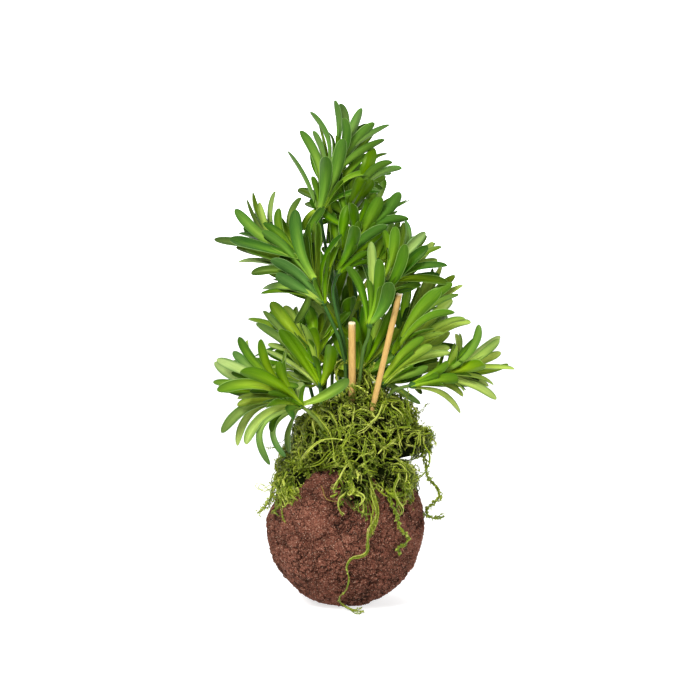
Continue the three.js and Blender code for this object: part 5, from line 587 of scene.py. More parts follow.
# Further leaves of the whorls, mostly deep inside the plant.
INNER = {
    "top_back_1": [
        [-1.5, 16.4, 270.9, -22, 21.7, 266.1, -44.2, 26.4, 261.1, -0.25, -0.96, 0.09, 5.1, "d"],
        [1.5, 16.4, 271.7, 23.4, 21.6, 271, 43.3, 26.2, 282.9, 0.12, -0.93, 0.35, 2.2, "m"],
    ],
    "upper_left_2": [
        [-23.4, -13.3, 229, -24.8, -10.6, 212.9, -35.5, -8.2, 198.8, -0.01, -0.99, -0.16, 5.1, "og"],
        [-24.3, -12.8, 230.7, -40.3, -4.7, 228.5, -55.8, 2.5, 235.9, -0.41, -0.9, 0.13, 5.1, "o"],
    ],
    "right_out_3": [
        [70.1, -21.4, 166, 91.9, -11.4, 161.3, 113.6, -2.7, 169.6, 0.33, -0.85, 0.41, 3.6, "y"],
        [70, -21.7, 166.6, 90.9, -16.7, 171.7, 106.6, -12.3, 188.3, -0, -0.92, 0.4, 5.1, "pg"],
        [69.7, -21.5, 166.9, 79.9, -16.3, 177.6, 91.2, -11.6, 189.5, -0.26, -0.77, 0.59, 3.6, "i"],
        [69.1, -21.5, 167.3, 72.2, -17.7, 175.9, 75.7, -14.2, 186.1, 0.18, -0.94, 0.3, 2.2, "o"],
    ],
    "top_2": [
        [-14.4, 4.6, 293.9, -10.4, 14.4, 314.6, -19.1, 22.9, 335.8, -0.2, -0.91, 0.37, 2.2, "o"],
        [-14.9, 4.5, 293.8, -23.2, 9.2, 303.5, -24.8, 13.4, 317.7, -0.17, -0.94, 0.28, 2.2, "d"],
        [-14.2, 4.3, 290.8, -8.2, 7.7, 272.8, -13, 10.8, 252.7, 0.09, -0.98, -0.17, 3.6, "l"],
    ],
    "right_out_1": [
        [48.2, -16.6, 156.7, 69, -11.5, 156, 91.5, -6.9, 155.4, 0.21, -0.87, 0.44, 3.6, "o"],
    ],
    "left_mid_2": [
        [-20.8, -3.2, 171.1, -14.4, 1.9, 191.3, 3.4, 6.3, 206, -0.19, -0.91, 0.38, 5.1, "ms"],
    ],
    "right_low_1": [
        [28, -2.3, 156.6, 41.3, 4, 155.5, 53.8, 9.7, 162.4, 0.37, -0.9, 0.22, 5.1, "i"],
    ],
    "back_right_1": [
        [17.2, 14.4, 229.8, 6, 20.6, 210.2, 6.7, 26, 185.9, -0.3, -0.94, -0.18, 5.1, "y"],
        [16.2, 14.4, 232, 0.2, 19.7, 240, -17.3, 24.3, 248.9, -0.07, -0.91, 0.4, 5.1, "i"],
    ],
    "upper_right_3": [
        [5.9, -3.7, 263.8, -5.2, 1.2, 282, -4.5, 5.5, 304.9, -0.05, -0.98, 0.21, 5.1, "i"],
        [5, -3.7, 263.2, -12.7, -0, 269.1, -25.3, 3.2, 284.7, 0.24, -0.77, 0.59, 5.1, "ds"],
        [7.5, -3.5, 263.3, 17.7, 2.4, 278.6, 36.2, 7.6, 286.6, -0.05, -0.88, 0.48, 3.6, "o"],
    ],
    "right_low_2": [
        [38.1, -5.4, 180.6, 59.3, 4.9, 185.6, 82.1, 13.9, 178.2, 0.4, -0.91, 0.12, 3.6, "o"],
    ],
    "right_mid_3": [
        [26.7, -25.5, 230.3, 39, -17.4, 247.2, 40, -10.3, 269.7, 0.39, -0.89, 0.21, 5.1, "o"],
        [27.8, -25.7, 228.9, 48.4, -20.9, 234.6, 70.6, -16.8, 228, 0.2, -0.97, 0.14, 5.1, "gs"],
        [26.7, -25.5, 227.4, 35.9, -20.2, 213.9, 36.7, -15.5, 196, 0.71, -0.7, 0, 5.1, "i"],
        [27.7, -25.4, 229, 45.5, -17.2, 230.7, 64.9, -10, 232.7, 0.27, -0.79, 0.56, 5.1, "d"],
        [27.4, -25.6, 229.9, 47.2, -19.4, 237.8, 60.2, -14.1, 256.3, 0.17, -0.96, 0.21, 5.1, "p"],
        [27.2, -25.3, 229.9, 41.2, -14.6, 244.3, 56.2, -5.3, 260, 0.33, -0.9, 0.28, 3.6, "o"],
        [27.6, -25.5, 229.5, 40.5, -21.6, 230.5, 51.6, -17.9, 239.4, 0.07, -0.86, 0.5, 2.2, "o"],
    ],
    "top_3": [
        [-8.9, 6.5, 308.6, 8.4, 12.4, 315.6, 19.9, 17.7, 332.1, -0.11, -0.84, 0.53, 3.6, "o"],
        [-9.1, 6.5, 308.7, -1.1, 13.4, 325.4, 16.1, 19.4, 335.9, -0.01, -0.9, 0.44, 5.1, "i"],
        [-8.7, 6.4, 306.9, 7.7, 11.1, 299.3, 25.7, 15.4, 291.1, 0.3, -0.95, 0.11, 3.6, "m"],
        [-9.8, 6.3, 309.2, -5.1, 8.2, 317.9, -6.2, 9.9, 329.3, 0.6, -0.8, 0.04, 3.6, "d"],
    ],
    "left_mid_3": [
        [-24.7, -3.5, 182.2, -16.1, 2.9, 167.8, -0.2, 8.5, 159.8, 0.49, -0.87, 0.07, 5.1, "ys"],
        [-27.2, -3.3, 182.8, -46.4, 6.7, 183.2, -64.8, 15.4, 172.6, -0.49, -0.84, 0.25, 2.2, "d"],
    ],
    "centre_1": [
        [-5.2, 18.5, 186.5, -16.5, 27.2, 166.2, -16, 34.7, 141.4, 0.22, -0.9, -0.37, 3.6, "o"],
    ],
    "upper_left_1": [
        [-17.5, -8.7, 214.4, -33.3, -5.6, 214.9, -47.5, -2.8, 224.8, 0.01, -0.85, 0.52, 2.2, "i"],
        [-15, -8.4, 212.8, -7.1, -0.8, 194.8, 10.1, 5.9, 183, 0.28, -0.94, -0.21, 3.6, "hs"],
    ],
    "upper_left_3": [
        [-31.1, -17.3, 247.4, -28.2, -8.3, 265.2, -14.9, -0.3, 279.7, 0.19, -0.9, 0.38, 5.1, "d"],
        [-32.5, -17.6, 247.5, -40.1, -13.3, 260.2, -48.5, -9.5, 274.3, 0.19, -0.91, 0.38, 5.1, "h"],
        [-32.9, -17.6, 247.2, -52.1, -11.8, 256.6, -63.8, -6.7, 276.1, 0.03, -0.92, 0.38, 2.2, "m"],
        [-33.1, -17.5, 246.8, -54.4, -10, 250.4, -71.2, -3.5, 265.8, -0.32, -0.95, 0.05, 5.1, "d"],
    ],
    "top_1": [
        [-17.1, 2.6, 277.6, -3.2, 11.6, 292.4, 11.8, 19.4, 308.6, 0.27, -0.93, 0.25, 3.6, "i"],
        [-18.3, 2.6, 275, -15.7, 8, 261.7, -21.2, 12.8, 247.8, 0.03, -0.93, -0.36, 5.1, "y"],
    ],
    "back_right_2": [
        [23.2, 18.7, 242.1, 34.3, 26.7, 253.2, 37.5, 33.8, 270, 0.08, -0.89, 0.44, 3.6, "i"],
    ],
    "left_low_2": [
        [-41.7, -32.8, 152.4, -63.2, -21.5, 146, -85.3, -11.7, 152.5, -0.4, -0.82, 0.41, 2.2, "d"],
    ],
    "back_side_1": [
        [38.8, 28.4, 166.7, 46.1, 32, 155.6, 54.1, 35.3, 143.2, 0.24, -0.96, -0.13, 3.6, "o"],
    ],
    "left_low_3": [
        [-47.2, -39.6, 161, -40.6, -37.5, 159.8, -32.5, -35.5, 158.3, 0.3, -0.91, 0.28, 3.6, "g"],
    ],
    "top_back_2": [
        [2.7, 20.6, 281.1, -16.3, 28.3, 278.9, -34.5, 35, 288, -0.22, -0.83, 0.52, 2.2, "i"],
    ],
}

STRANDS = {
    "moss_strand_front": [[14.6, -31.3, 99.3], [17.3, -41.2, 89.8], [20, -47.7, 79.4], [20.7, -51.9, 69.3], [16.2, -55.5, 60.5], [14.5, -56.6, 53.5], [14.8, -56.3, 47.2], [11.4, -56.5, 43], [4.2, -57.3, 41.8], [0.4, -56.1, 36], [1.9, -52.6, 26.9], [0, -47.4, 18.1], [-4.5, -41.7, 11.6], [-3.5, -35.6, 6], [2.8, -36, 1.9], [12.5, -43, 1.5]],
    "moss_strand_right": [[29.1, -34.6, 88.7], [31.1, -41.6, 78.3], [34.5, -42.7, 71.2], [38, -43.4, 59.4], [42.6, -39.5, 53], [41.5, -40.5, 48.7], [36.6, -44.9, 47.8], [36.6, -44, 42.2]],
    "moss_strand_left": [[-44, -14, 95], [-48.9, -16, 91.1], [-50.3, -17, 82.8], [-52.7, -18, 76.6], [-56.2, -17, 70.8], [-61.2, -16, 66.3]],
    "moss_strand_dangling": [[50.8, -7, 112.3], [53.9, -8, 108.2], [56, -9, 98.5], [57.8, -10, 90.1], [62.7, -11, 83.9], [66, -12, 77], [61.6, -12, 72], [56.8, -11, 67.9], [57.2, -9, 62.9], [63.2, -8, 61.3], [68.5, -8, 62.7]],
}
# Single fibres and thin bunches that stand out in the tangle.
LOOSE = {
    "grass": [[-32, -21.4, 103.3], [-26.7, -47, 114.4], [-18.1, -46, 121.6], [-9.6, -46, 123.6], [-0.2, -43, 121.8], [4.2, -40, 119.6]],
    "curl": [[-17.2, -38.8, 89.4], [-16, -40.9, 87.6], [-14.8, -44.2, 84], [-12.7, -46.6, 81.4], [-7.5, -48.4, 80.1], [-3.4, -49, 80]],
    "left_e": [[-42.5, -18, 91.5], [-46.7, -18, 84.4], [-49.5, -19, 78.9], [-52.3, -19, 72.5], [-55.2, -18, 68.1]],
    "floor_a": [[-3.5, -27.6, 4], [1.4, -31.3, 1.6], [6.3, -34.9, 1.3], [10.5, -27.6, 1.5]],
    "floor_b": [[-0.7, -27.3, 2.5], [5.6, -40.2, 1.4], [9.7, -44.7, 1.3], [12.5, -38.6, 1.4]],
    "left_a": [[-44.2, -4.8, 87.8], [-46.1, -16.6, 81.3], [-48.1, -21.1, 74.3], [-48.7, -24.2, 69.2], [-46.5, -29.9, 66]],
    "left_b": [[-42, -11.6, 89], [-45.3, -20.7, 79.9], [-45.5, -27.1, 73.3], [-43.6, -33.4, 67.4], [-41.5, -37.5, 63.2]],
    "left_c": [[-39.1, -17.3, 89.9], [-39.6, -24, 85.4], [-36.7, -32.5, 81.3], [-33.1, -38, 78.7]],
    "left_d": [[-37.7, -17.3, 91.3], [-36.1, -28.2, 86.1], [-33.2, -34, 83.6], [-31.8, -37.3, 81.4]],
    "right_a": [[20.7, -39.8, 88.1], [25.6, -40.9, 83.4], [31.8, -37.9, 81.5], [38.1, -33.4, 79.3], [43.1, -28.3, 77.7]],
    "right_b": [[32, -21.4, 94.9], [26.3, -33, 91.2], [20.7, -39.8, 88.1], [15.9, -45.5, 83.5]],
    "front_b": [[1.4, -32.4, 100.9], [6.9, -37.9, 96.2], [11.8, -43, 90.1], [16.6, -46, 84.3], [18.6, -49.5, 77.3], [17.2, -53.6, 68.3], [17.9, -55.2, 59.5]],
    "front_c": [[4.2, -28.2, 104.4], [10.4, -37.2, 97.5], [14.5, -44, 89.6], [19.3, -48.2, 81.2], [22, -51.6, 72.1], [20.6, -54.8, 62.9], [17.2, -56.8, 56.3]],
    "front_d": [[-2, -31.9, 101.5], [4.2, -40.6, 94.6], [9.7, -45.3, 88.4], [14.5, -48.6, 82], [17.2, -51.7, 74.2], [18.9, -54, 65.6], [15.8, -56.4, 57.6], [13.8, -57.1, 50.1]],
    "tail_r": [[45.5, -6, 132], [49.7, -7, 135], [53.9, -7, 137.1], [57.4, -6, 141.2], [58.8, -6, 142.6]],
    "tail_l1": [[-37, -12, 111], [-41.2, -12, 114.5], [-44.7, -12, 111], [-49.6, -13, 112.5], [-55.9, -13, 111.8]],
    "tail_l2": [[-37.7, -12, 106], [-41.9, -12, 106.7], [-46.1, -13, 104.8], [-43.3, -13, 109]],
    "tail_l3": [[-39.1, -12, 103.2], [-43.3, -13, 99.1], [-48.9, -14, 96.4], [-52.4, -15, 90.2], [-51.7, -16, 84.8]],
    "arc_top": [[-0.7, -22, 154], [3.5, -24, 158.4], [9, -24, 157], [13.9, -22, 152.6], [17.4, -20, 147.4]],
    "rise_a": [[8.4, -12, 144.1], [7.7, -12, 152.6], [9.1, -11, 160.9], [11.2, -10, 167.8], [13.9, -10, 172]],
    "rise_b": [[15.4, -12, 144.1], [16, -12, 154], [15.3, -11, 162.3], [17.4, -10, 167.8], [18.8, -10, 170.6]],
    "rise_c": [[-3.5, -16, 147.5], [-6.2, -14, 155.7], [-7.6, -12, 163.8], [-5.6, -11, 170], [0, -10, 172.7]],
    "long_a": [[-3.4, -30, 145.3], [-4.1, -36, 139.2], [-3.4, -41, 133], [0.1, -45, 128]],
    "long_b": [[13.8, -46, 122.6], [11.7, -47, 114.4], [13.1, -48, 106.3], [17.2, -50, 98.2]],
    "long_c": [[-23.5, -26, 140.5], [-17.9, -34, 134.7], [-12.3, -40, 127.2], [-10.3, -44, 118.1], [-8.9, -47, 108.9], [-5.4, -50, 105.2], [0.1, -51, 106]],
    "long_d": [[4.2, -44, 132.7], [0.7, -46, 126.8], [-2, -48, 118.8], [0.1, -50, 110.7], [4.2, -53, 102.9]],
}


# ------------------------------------------------------------------ mesh helpers
def make_object(name, verts, quads=None, tris=None, attrs=None, smooth=True, scale=MM):
    """Builds a mesh object from numpy arrays; attrs holds name: (n, 3) arrays on the vertices."""
    mesh = bpy.data.meshes.new(name)
    verts = np.asarray(verts, dtype=np.float64) * scale
    q = np.zeros((0, 4), int) if quads is None else np.asarray(quads, int)
    t = np.zeros((0, 3), int) if tris is None else np.asarray(tris, int)
    loops = np.concatenate([q.ravel(), t.ravel()]).astype(np.int32)
    starts = np.concatenate([np.arange(len(q)) * 4, len(q) * 4 + np.arange(len(t)) * 3]).astype(np.int32)
    mesh.vertices.add(len(verts))
    mesh.vertices.foreach_set("co", verts.ravel().astype(np.float32))
    mesh.loops.add(len(loops))
    mesh.loops.foreach_set("vertex_index", loops)
    mesh.polygons.add(len(starts))
    mesh.polygons.foreach_set("loop_start", starts)
    mesh.update(calc_edges=True)
    mesh.validate()
    if smooth:
        mesh.polygons.foreach_set("use_smooth", np.ones(len(mesh.polygons), dtype=bool))
    for key, values in (attrs or {}).items():
        a = mesh.attributes.new(key, "FLOAT_VECTOR", "POINT")
        a.data.foreach_set("vector", np.asarray(values, dtype=np.float32).ravel())
    obj = bpy.data.objects.new(name, mesh)
    bpy.context.scene.collection.objects.link(obj)
    return obj


def unit(v):
    return v / np.maximum(np.linalg.norm(v, axis=-1, keepdims=True), 1e-12)


def spline(points, n):
    """Centripetal-like smooth curve through points, n samples evenly spread in length."""
    P = np.asarray(points, float)
    P = np.vstack([2 * P[0] - P[1], P, 2 * P[-1] - P[-2]])
    out = []
    for i in range(1, len(P) - 2):
        a, b, c, d = P[i - 1], P[i], P[i + 1], P[i + 2]
        for t in np.linspace(0, 1, 16, endpoint=False):
            out.append(0.5 * (2 * b + (c - a) * t + (2 * a - 5 * b + 4 * c - d) * t * t + (3 * b - a - 3 * c + d) * t ** 3))
    out.append(P[-2])
    C = np.array(out)
    s = np.r_[0, np.cumsum(np.linalg.norm(np.diff(C, axis=0), axis=1))]
    u = np.linspace(0, s[-1], n)
    return np.stack([np.interp(u, s, C[:, k]) for k in range(3)], 1)


def frames(C):
    """Tangents and parallel-transported normals along a curve."""
    T = unit(np.gradient(C, axis=0))
    n = np.cross(T[0], [0.3, 0.2, 0.9])
    if np.linalg.norm(n) < 1e-3:
        n = np.cross(T[0], [1, 0, 0])
    n = unit(n)
    Nn = []
    for t in T:
        n = unit(n - t * np.dot(n, t))
        Nn.append(n)
    Nn = np.array(Nn)
    return T, Nn, np.cross(T, Nn)


def tube(C, radius, sides=12, wobble=None):
    """Closed tube; radius is a number or one value a point. Returns verts, quads, tris, along."""
    n = len(C)
    R = np.broadcast_to(np.asarray(radius, float), (n,)).copy()
    T, A, B = frames(C)
    ang = np.arange(sides) * 2 * np.pi / sides
    rr = R[:, None] * (1 if wobble is None else wobble)
    V = C[:, None, :] + A[:, None, :] * (np.cos(ang) * rr)[:, :, None] + B[:, None, :] * (np.sin(ang) * rr)[:, :, None]
    V = V.reshape(-1, 3)
    i, k = np.meshgrid(np.arange(n - 1), np.arange(sides), indexing="ij")
    a = i * sides + k
    b = i * sides + (k + 1) % sides
    Q = np.stack([a, b, b + sides, a + sides], -1).reshape(-1, 4)
    caps = [V, C[:1], C[-1:]]
    base, top = len(V), len(V) + 1
    kk = np.arange(sides)
    t1 = np.stack([np.full(sides, base), (kk + 1) % sides, kk], 1)
    o = (n - 1) * sides
    t2 = np.stack([np.full(sides, top), o + kk, o + (kk + 1) % sides], 1)
    along = np.r_[np.repeat(np.linspace(0, 1, n), sides), 0, 1]
    around = np.r_[np.tile(ang, n), 0, 0]
    return np.vstack(caps), Q, np.vstack([t1, t2]), along, around


class Batch:
    """Collects meshes with attributes into one."""

    def __init__(self, keys):
        self.v, self.q, self.t, self.keys = [], [], [], keys
        self.a = {k: [] for k in keys}
        self.n = 0

    def add(self, v, q=None, t=None, **attrs):
        self.v.append(v)
        if q is not None and len(q):
            self.q.append(np.asarray(q) + self.n)
        if t is not None and len(t):
            self.t.append(np.asarray(t) + self.n)
        for k in self.keys:
            self.a[k].append(np.broadcast_to(np.asarray(attrs[k], float), (len(v), 3)))
        self.n += len(v)

    def build(self, name):
        return make_object(
            name,
            np.vstack(self.v),
            np.vstack(self.q) if self.q else None,
            np.vstack(self.t) if self.t else None,
            {k: np.vstack(self.a[k]) for k in self.keys},
        )


# --------------------------------------------------------------- material helpers
def srgb(r, g, b):
    f = lambda c: (c / 255 / 12.92) if c / 255 <= 0.04045 else ((c / 255 + 0.055) / 1.055) ** 2.4
    return (f(r), f(g), f(b), 1.0)


class Nodes:
    def __init__(self, name):
        self.mat = bpy.data.materials.new(name)
        self.mat.use_nodes = True
        self.nt = self.mat.node_tree
        self.nt.nodes.clear()
        self.out = self.nt.nodes.new("ShaderNodeOutputMaterial")
        self.bsdf = self.nt.nodes.new("ShaderNodeBsdfPrincipled")
        self.nt.links.new(self.bsdf.outputs[0], self.out.inputs[0])

    def node(self, kind, **values):
        n = self.nt.nodes.new(kind)
        for k, v in values.items():
            setattr(n, k, v)
        return n

    def link(self, a, b):
        self.nt.links.new(a, b)

    def attr(self, name):
        n = self.node("ShaderNodeAttribute", attribute_name=name)
        s = self.node("ShaderNodeSeparateXYZ")
        self.link(n.outputs["Vector"], s.inputs[0])
        return s.outputs

    def math(self, op, a, b=None, clamp=False):
        n = self.node("ShaderNodeMath", operation=op, use_clamp=clamp)
        for i, v in enumerate([a, b]):
            if v is None:
                continue
            if isinstance(v, (int, float)):
                n.inputs[i].default_value = v
            else:
                self.link(v, n.inputs[i])
        return n.outputs[0]

    def mix(self, fac, a, b, blend="MIX"):
        n = self.node("ShaderNodeMix", data_type="RGBA", blend_type=blend)
        n.clamp_factor = True
        for sock, v in ((n.inputs[0], fac), (n.inputs[6], a), (n.inputs[7], b)):
            if isinstance(v, (int, float)):
                sock.default_value = v
            elif isinstance(v, tuple):
                sock.default_value = v
            else:
                self.link(v, sock)
        return n.outputs[2]

    def ramp(self, fac, stops, interp="LINEAR"):
        n = self.node("ShaderNodeValToRGB")
        n.color_ramp.interpolation = interp
        el = n.color_ramp.elements
        while len(el) < len(stops):
            el.new(0.5)
        for e, (p, c) in zip(el, stops):
            e.position = p
            e.color = c if isinstance(c, tuple) else (c, c, c, 1)
        self.link(fac, n.inputs[0])
        return n.outputs[0]

    def noise(self, scale, detail=3, rough=0.55, vector=None, dist=0.0):
        n = self.node("ShaderNodeTexNoise")
        n.inputs["Scale"].default_value = scale
        n.inputs["Detail"].default_value = detail
        n.inputs["Roughness"].default_value = rough
        n.inputs["Distortion"].default_value = dist
        if vector is not None:
            self.link(vector, n.inputs["Vector"])
        return n.outputs[0]

    def voronoi(self, scale, vector=None, feature="F1", rand=1.0):
        n = self.node("ShaderNodeTexVoronoi", feature=feature)
        n.inputs["Scale"].default_value = scale
        n.inputs["Randomness"].default_value = rand
        if vector is not None:
            self.link(vector, n.inputs["Vector"])
        return n.outputs

    def coords(self):
        return self.node("ShaderNodeTexCoord").outputs["Object"]

    def combine(self, x, y, z):
        n = self.node("ShaderNodeCombineXYZ")
        for i, v in enumerate((x, y, z)):
            if isinstance(v, (int, float)):
                n.inputs[i].default_value = v
            else:
                self.link(v, n.inputs[i])
        return n.outputs[0]

    def bump(self, height, strength, distance, normal=None):
        n = self.node("ShaderNodeBump")
        n.inputs["Strength"].default_value = strength
        n.inputs["Distance"].default_value = distance
        self.link(height, n.inputs["Height"])
        if normal is not None:
            self.link(normal, n.inputs["Normal"])
        return n.outputs[0]

    def done(self, color, rough, normal=None, specular=0.5, sss=0.0, sss_radius=(1, 1, 1), sss_scale=0.002, coat=0.0, coat_rough=0.3, sheen=0.0, tint=(1, 1, 1, 1)):
        b = self.bsdf
        self.link(color, b.inputs["Base Color"]) if not isinstance(color, tuple) else setattr(b.inputs["Base Color"], "default_value", color)
        if isinstance(rough, (int, float)):
            b.inputs["Roughness"].default_value = rough
        else:
            self.link(rough, b.inputs["Roughness"])
        if normal is not None:
            self.link(normal, b.inputs["Normal"])
        b.inputs["Specular IOR Level"].default_value = specular
        b.inputs["Specular Tint"].default_value = tint
        b.inputs["Subsurface Weight"].default_value = sss
        b.inputs["Subsurface Radius"].default_value = sss_radius
        b.inputs["Subsurface Scale"].default_value = sss_scale
        b.inputs["Coat Weight"].default_value = coat
        b.inputs["Coat Roughness"].default_value = coat_rough
        b.inputs["Sheen Weight"].default_value = sheen
        return self.mat


# ------------------------------------------------------------------- materials
def leaf_material():
    m = Nodes("leaf")
    along, across, under = m.attr("lf")[0:3]
    tone, warm, rnd = m.attr("tone")[0:3]
    dark = m.ramp(along, [(0.0, srgb(134, 168, 18)), (0.2, srgb(68, 122, 4)), (0.5, srgb(27, 84, 3)), (0.8, srgb(16, 68, 8)), (1.0, srgb(12, 58, 14))])
    light = m.ramp(along, [(0.0, srgb(194, 212, 70)), (0.25, srgb(162, 191, 46)), (0.5, srgb(122, 160, 28)), (0.8, srgb(86, 130, 24)), (1.0, srgb(58, 102, 22))])
    c = m.mix(tone, dark, light)
    warmc = m.mix(tone, m.ramp(along, [(0.0, srgb(92, 106, 6)), (0.5, srgb(64, 82, 2)), (1.0, srgb(46, 60, 3))]), m.ramp(along, [(0.0, srgb(172, 176, 46)), (0.5, srgb(148, 158, 34)), (1.0, srgb(108, 120, 22))]))
    c = m.mix(warm, c, warmc)
    # the palest tones get a pale wash, partly the pale leaf colour and partly a painted highlight
    c = m.mix(m.ramp(tone, [(0.86, 0.0), (1.0, 0.42)]), c, srgb(182, 198, 104))
    # lengthwise streaks and soft mottling in the leaf's own coordinates
    v = m.combine(m.math("MULTIPLY", across, 5.0), m.math("MULTIPLY", along, 2.2), m.math("MULTIPLY", rnd, 71.0))
    streak = m.noise(1.6, 4, 0.6, v)
    v2 = m.combine(m.math("MULTIPLY", across, 1.4), m.math("MULTIPLY", along, 3.0), m.math("MULTIPLY", rnd, 37.0))
    cloud = m.noise(1.3, 3, 0.5, v2)
    c = m.mix(m.ramp(streak, [(0.42, 0.0), (0.75, 0.24)]), c, m.mix(0.5, c, srgb(168, 190, 60)), "MIX")
    c = m.mix(m.ramp(cloud, [(0.42, 0.0), (0.75, 0.5)]), c, m.mix(0.6, c, srgb(10, 58, 10)))
    # painted light: a glow down the centre towards the base stands for light shining through the leaf; darker
    # shoulders; a thin pale rim is a painted highlight along the edge of some leaves
    ax = m.math("ABSOLUTE", across)
    glow = m.math("MULTIPLY", m.ramp(ax, [(0.0, 0.6), (0.62, 0.0)]), m.ramp(along, [(0.0, 1.0), (0.4, 0.75), (0.75, 0.2), (1.0, 0.0)]))
    c = m.mix(glow, c, m.mix(tone, srgb(112, 156, 20), srgb(176, 202, 68)))
    edge = m.math("MULTIPLY", m.ramp(ax, [(0.55, 0.0), (0.93, 0.7)]), m.ramp(along, [(0.1, 0.25), (0.7, 1.0)]))
    c = m.mix(edge, c, m.mix(tone, srgb(12, 52, 8), srgb(48, 92, 14)))
    # painted highlight: a thin pale line along the edge, on some leaves
    rim = m.math("MULTIPLY", m.ramp(ax, [(0.88, 0.0), (0.95, 0.7)]), m.ramp(rnd, [(0.35, 0.1), (0.65, 1.0)]))
    c = m.mix(rim, c, srgb(142, 174, 92))
    # a paler, flatter underside
    c = m.mix(m.math("MULTIPLY", under, 0.3), c, srgb(92, 134, 20))
    part = m.node("ShaderNodeSeparateColor")
    m.link(c, part.inputs[0])
    blue = m.math("MULTIPLY_ADD", part.outputs[1], m.attr("dust")[0])
    m.link(part.outputs[2], blue.node.inputs[2])
    whole = m.node("ShaderNodeCombineColor")
    m.link(part.outputs[0], whole.inputs[0])
    m.link(part.outputs[1], whole.inputs[1])
    m.link(m.math("MAXIMUM", blue, 0.0), whole.inputs[2])
    c = whole.outputs[0]
    rough = m.ramp(cloud, [(0.2, 0.28), (0.8, 0.42)])
    n = m.bump(streak, 0.16, 0.0005)
    n = m.bump(m.noise(1400, 2), 0.06, 0.0002, n)
    return m.done(c, rough, n, specular=0.16, tint=(0.8, 1.0, 0.35, 1))


def stem_material():
    m = Nodes("stem")
    along, around, kind = m.attr("lf")[0:3]
    tone, warm, rnd = m.attr("tone")[0:3]
    base = m.ramp(along, [(0.0, srgb(64, 74, 24)), (0.35, srgb(46, 76, 24)), (0.75, srgb(34, 78, 28)), (1.0, srgb(46, 98, 36))])
    base = m.mix(warm, base, srgb(134, 144, 56))
    nz = m.noise(260, 4, 0.6, m.coords())
    c = m.mix(m.ramp(nz, [(0.35, 0.0), (0.75, 0.6)]), base, m.mix(0.7, base, srgb(20, 42, 20)))
    ribs = m.noise(1.0, 2, 0.5, m.combine(m.math("MULTIPLY", around, 2.4), m.math("MULTIPLY", along, 3.0), rnd))
    c = m.mix(m.ramp(ribs, [(0.4, 0.0), (0.7, 0.35)]), c, srgb(72, 116, 60))
    n = m.bump(ribs, 0.4, 0.0006)
    n = m.bump(nz, 0.25, 0.0004, n)
    return m.done(c, m.ramp(nz, [(0.2, 0.32), (0.8, 0.5)]), n, specular=0.25, tint=(0.7, 1.0, 0.45, 1))


def soil_material():
    m = Nodes("soil")
    co = m.coords()
    low = m.attr("soil")[0]
    fine = m.noise(1000, 5, 0.72, co)
    grain = m.noise(430, 4, 0.65, co)
    broad = m.noise(38, 4, 0.6, co)
    # the ground's own coordinates, pushed about so that no clod is regular
    at = co
    for scale, push in ((70, 0.016), (260, 0.004), (900, 0.0012)):
        n = m.node("ShaderNodeTexNoise")
        n.inputs["Scale"].default_value = scale
        n.inputs["Detail"].default_value = 2
        m.link(co, n.inputs["Vector"])
        v = m.node("ShaderNodeVectorMath", operation="MULTIPLY_ADD")
        m.link(n.outputs["Color"], v.inputs[0])
        v.inputs[1].default_value = (push, push, push)
        m.link(at, v.inputs[2])
        at = v.outputs[0]
    cracks = []
    for scale, width, patch_at in ((95, 0.06, 31.0), (190, 0.075, 47.0), (400, 0.09, 63.0)):
        e = m.voronoi(scale, at, feature="DISTANCE_TO_EDGE")[0]
        patch = m.ramp(m.noise(patch_at, 3, 0.6, co), [(0.42, 0.1), (0.58, 1.0)])
        cracks.append(m.math("MULTIPLY", m.ramp(e, [(0.0, 1.0), (width, 0.0)]), patch))
    crack = m.math("MAXIMUM", cracks[0], m.math("MAXIMUM", cracks[1], m.math("MULTIPLY", cracks[2], 0.4)))
    c = m.ramp(broad, [(0.25, srgb(116, 67, 53)), (0.5, srgb(134, 80, 64)), (0.75, srgb(153, 95, 77))])
    c = m.mix(m.ramp(fine, [(0.51, 0.0), (0.62, 0.9)]), c, srgb(184, 134, 110))
    c = m.mix(m.ramp(fine, [(0.36, 0.92), (0.48, 0.0)]), c, srgb(42, 22, 16))
    c = m.mix(m.ramp(grain, [(0.3, 0.5), (0.44, 0.0)]), c, srgb(48, 26, 20))
    # painted shade: the low places between clods and the cracks are darkened as if shadow lay in them
    c = m.mix(m.ramp(low, [(0.1, 0.8), (0.6, 0.0)]), c, srgb(34, 17, 12))
    c = m.mix(m.math("MULTIPLY", crack, 0.95), c, srgb(22, 11, 8))
    speck = m.voronoi(560, co)
    c = m.mix(m.ramp(speck[0], [(0.12, 0.9), (0.22, 0.0)]), c, srgb(216, 180, 156))
    n = m.bump(fine, 1.0, 0.0018)
    n = m.bump(grain, 0.9, 0.003, n)
    n = m.bump(m.math("SUBTRACT", 1.0, crack), 0.8, 0.0022, n)
    return m.done(c, m.ramp(fine, [(0.3, 0.7), (0.8, 0.95)]), n, specular=0.12, tint=(1.0, 0.7, 0.5, 1))


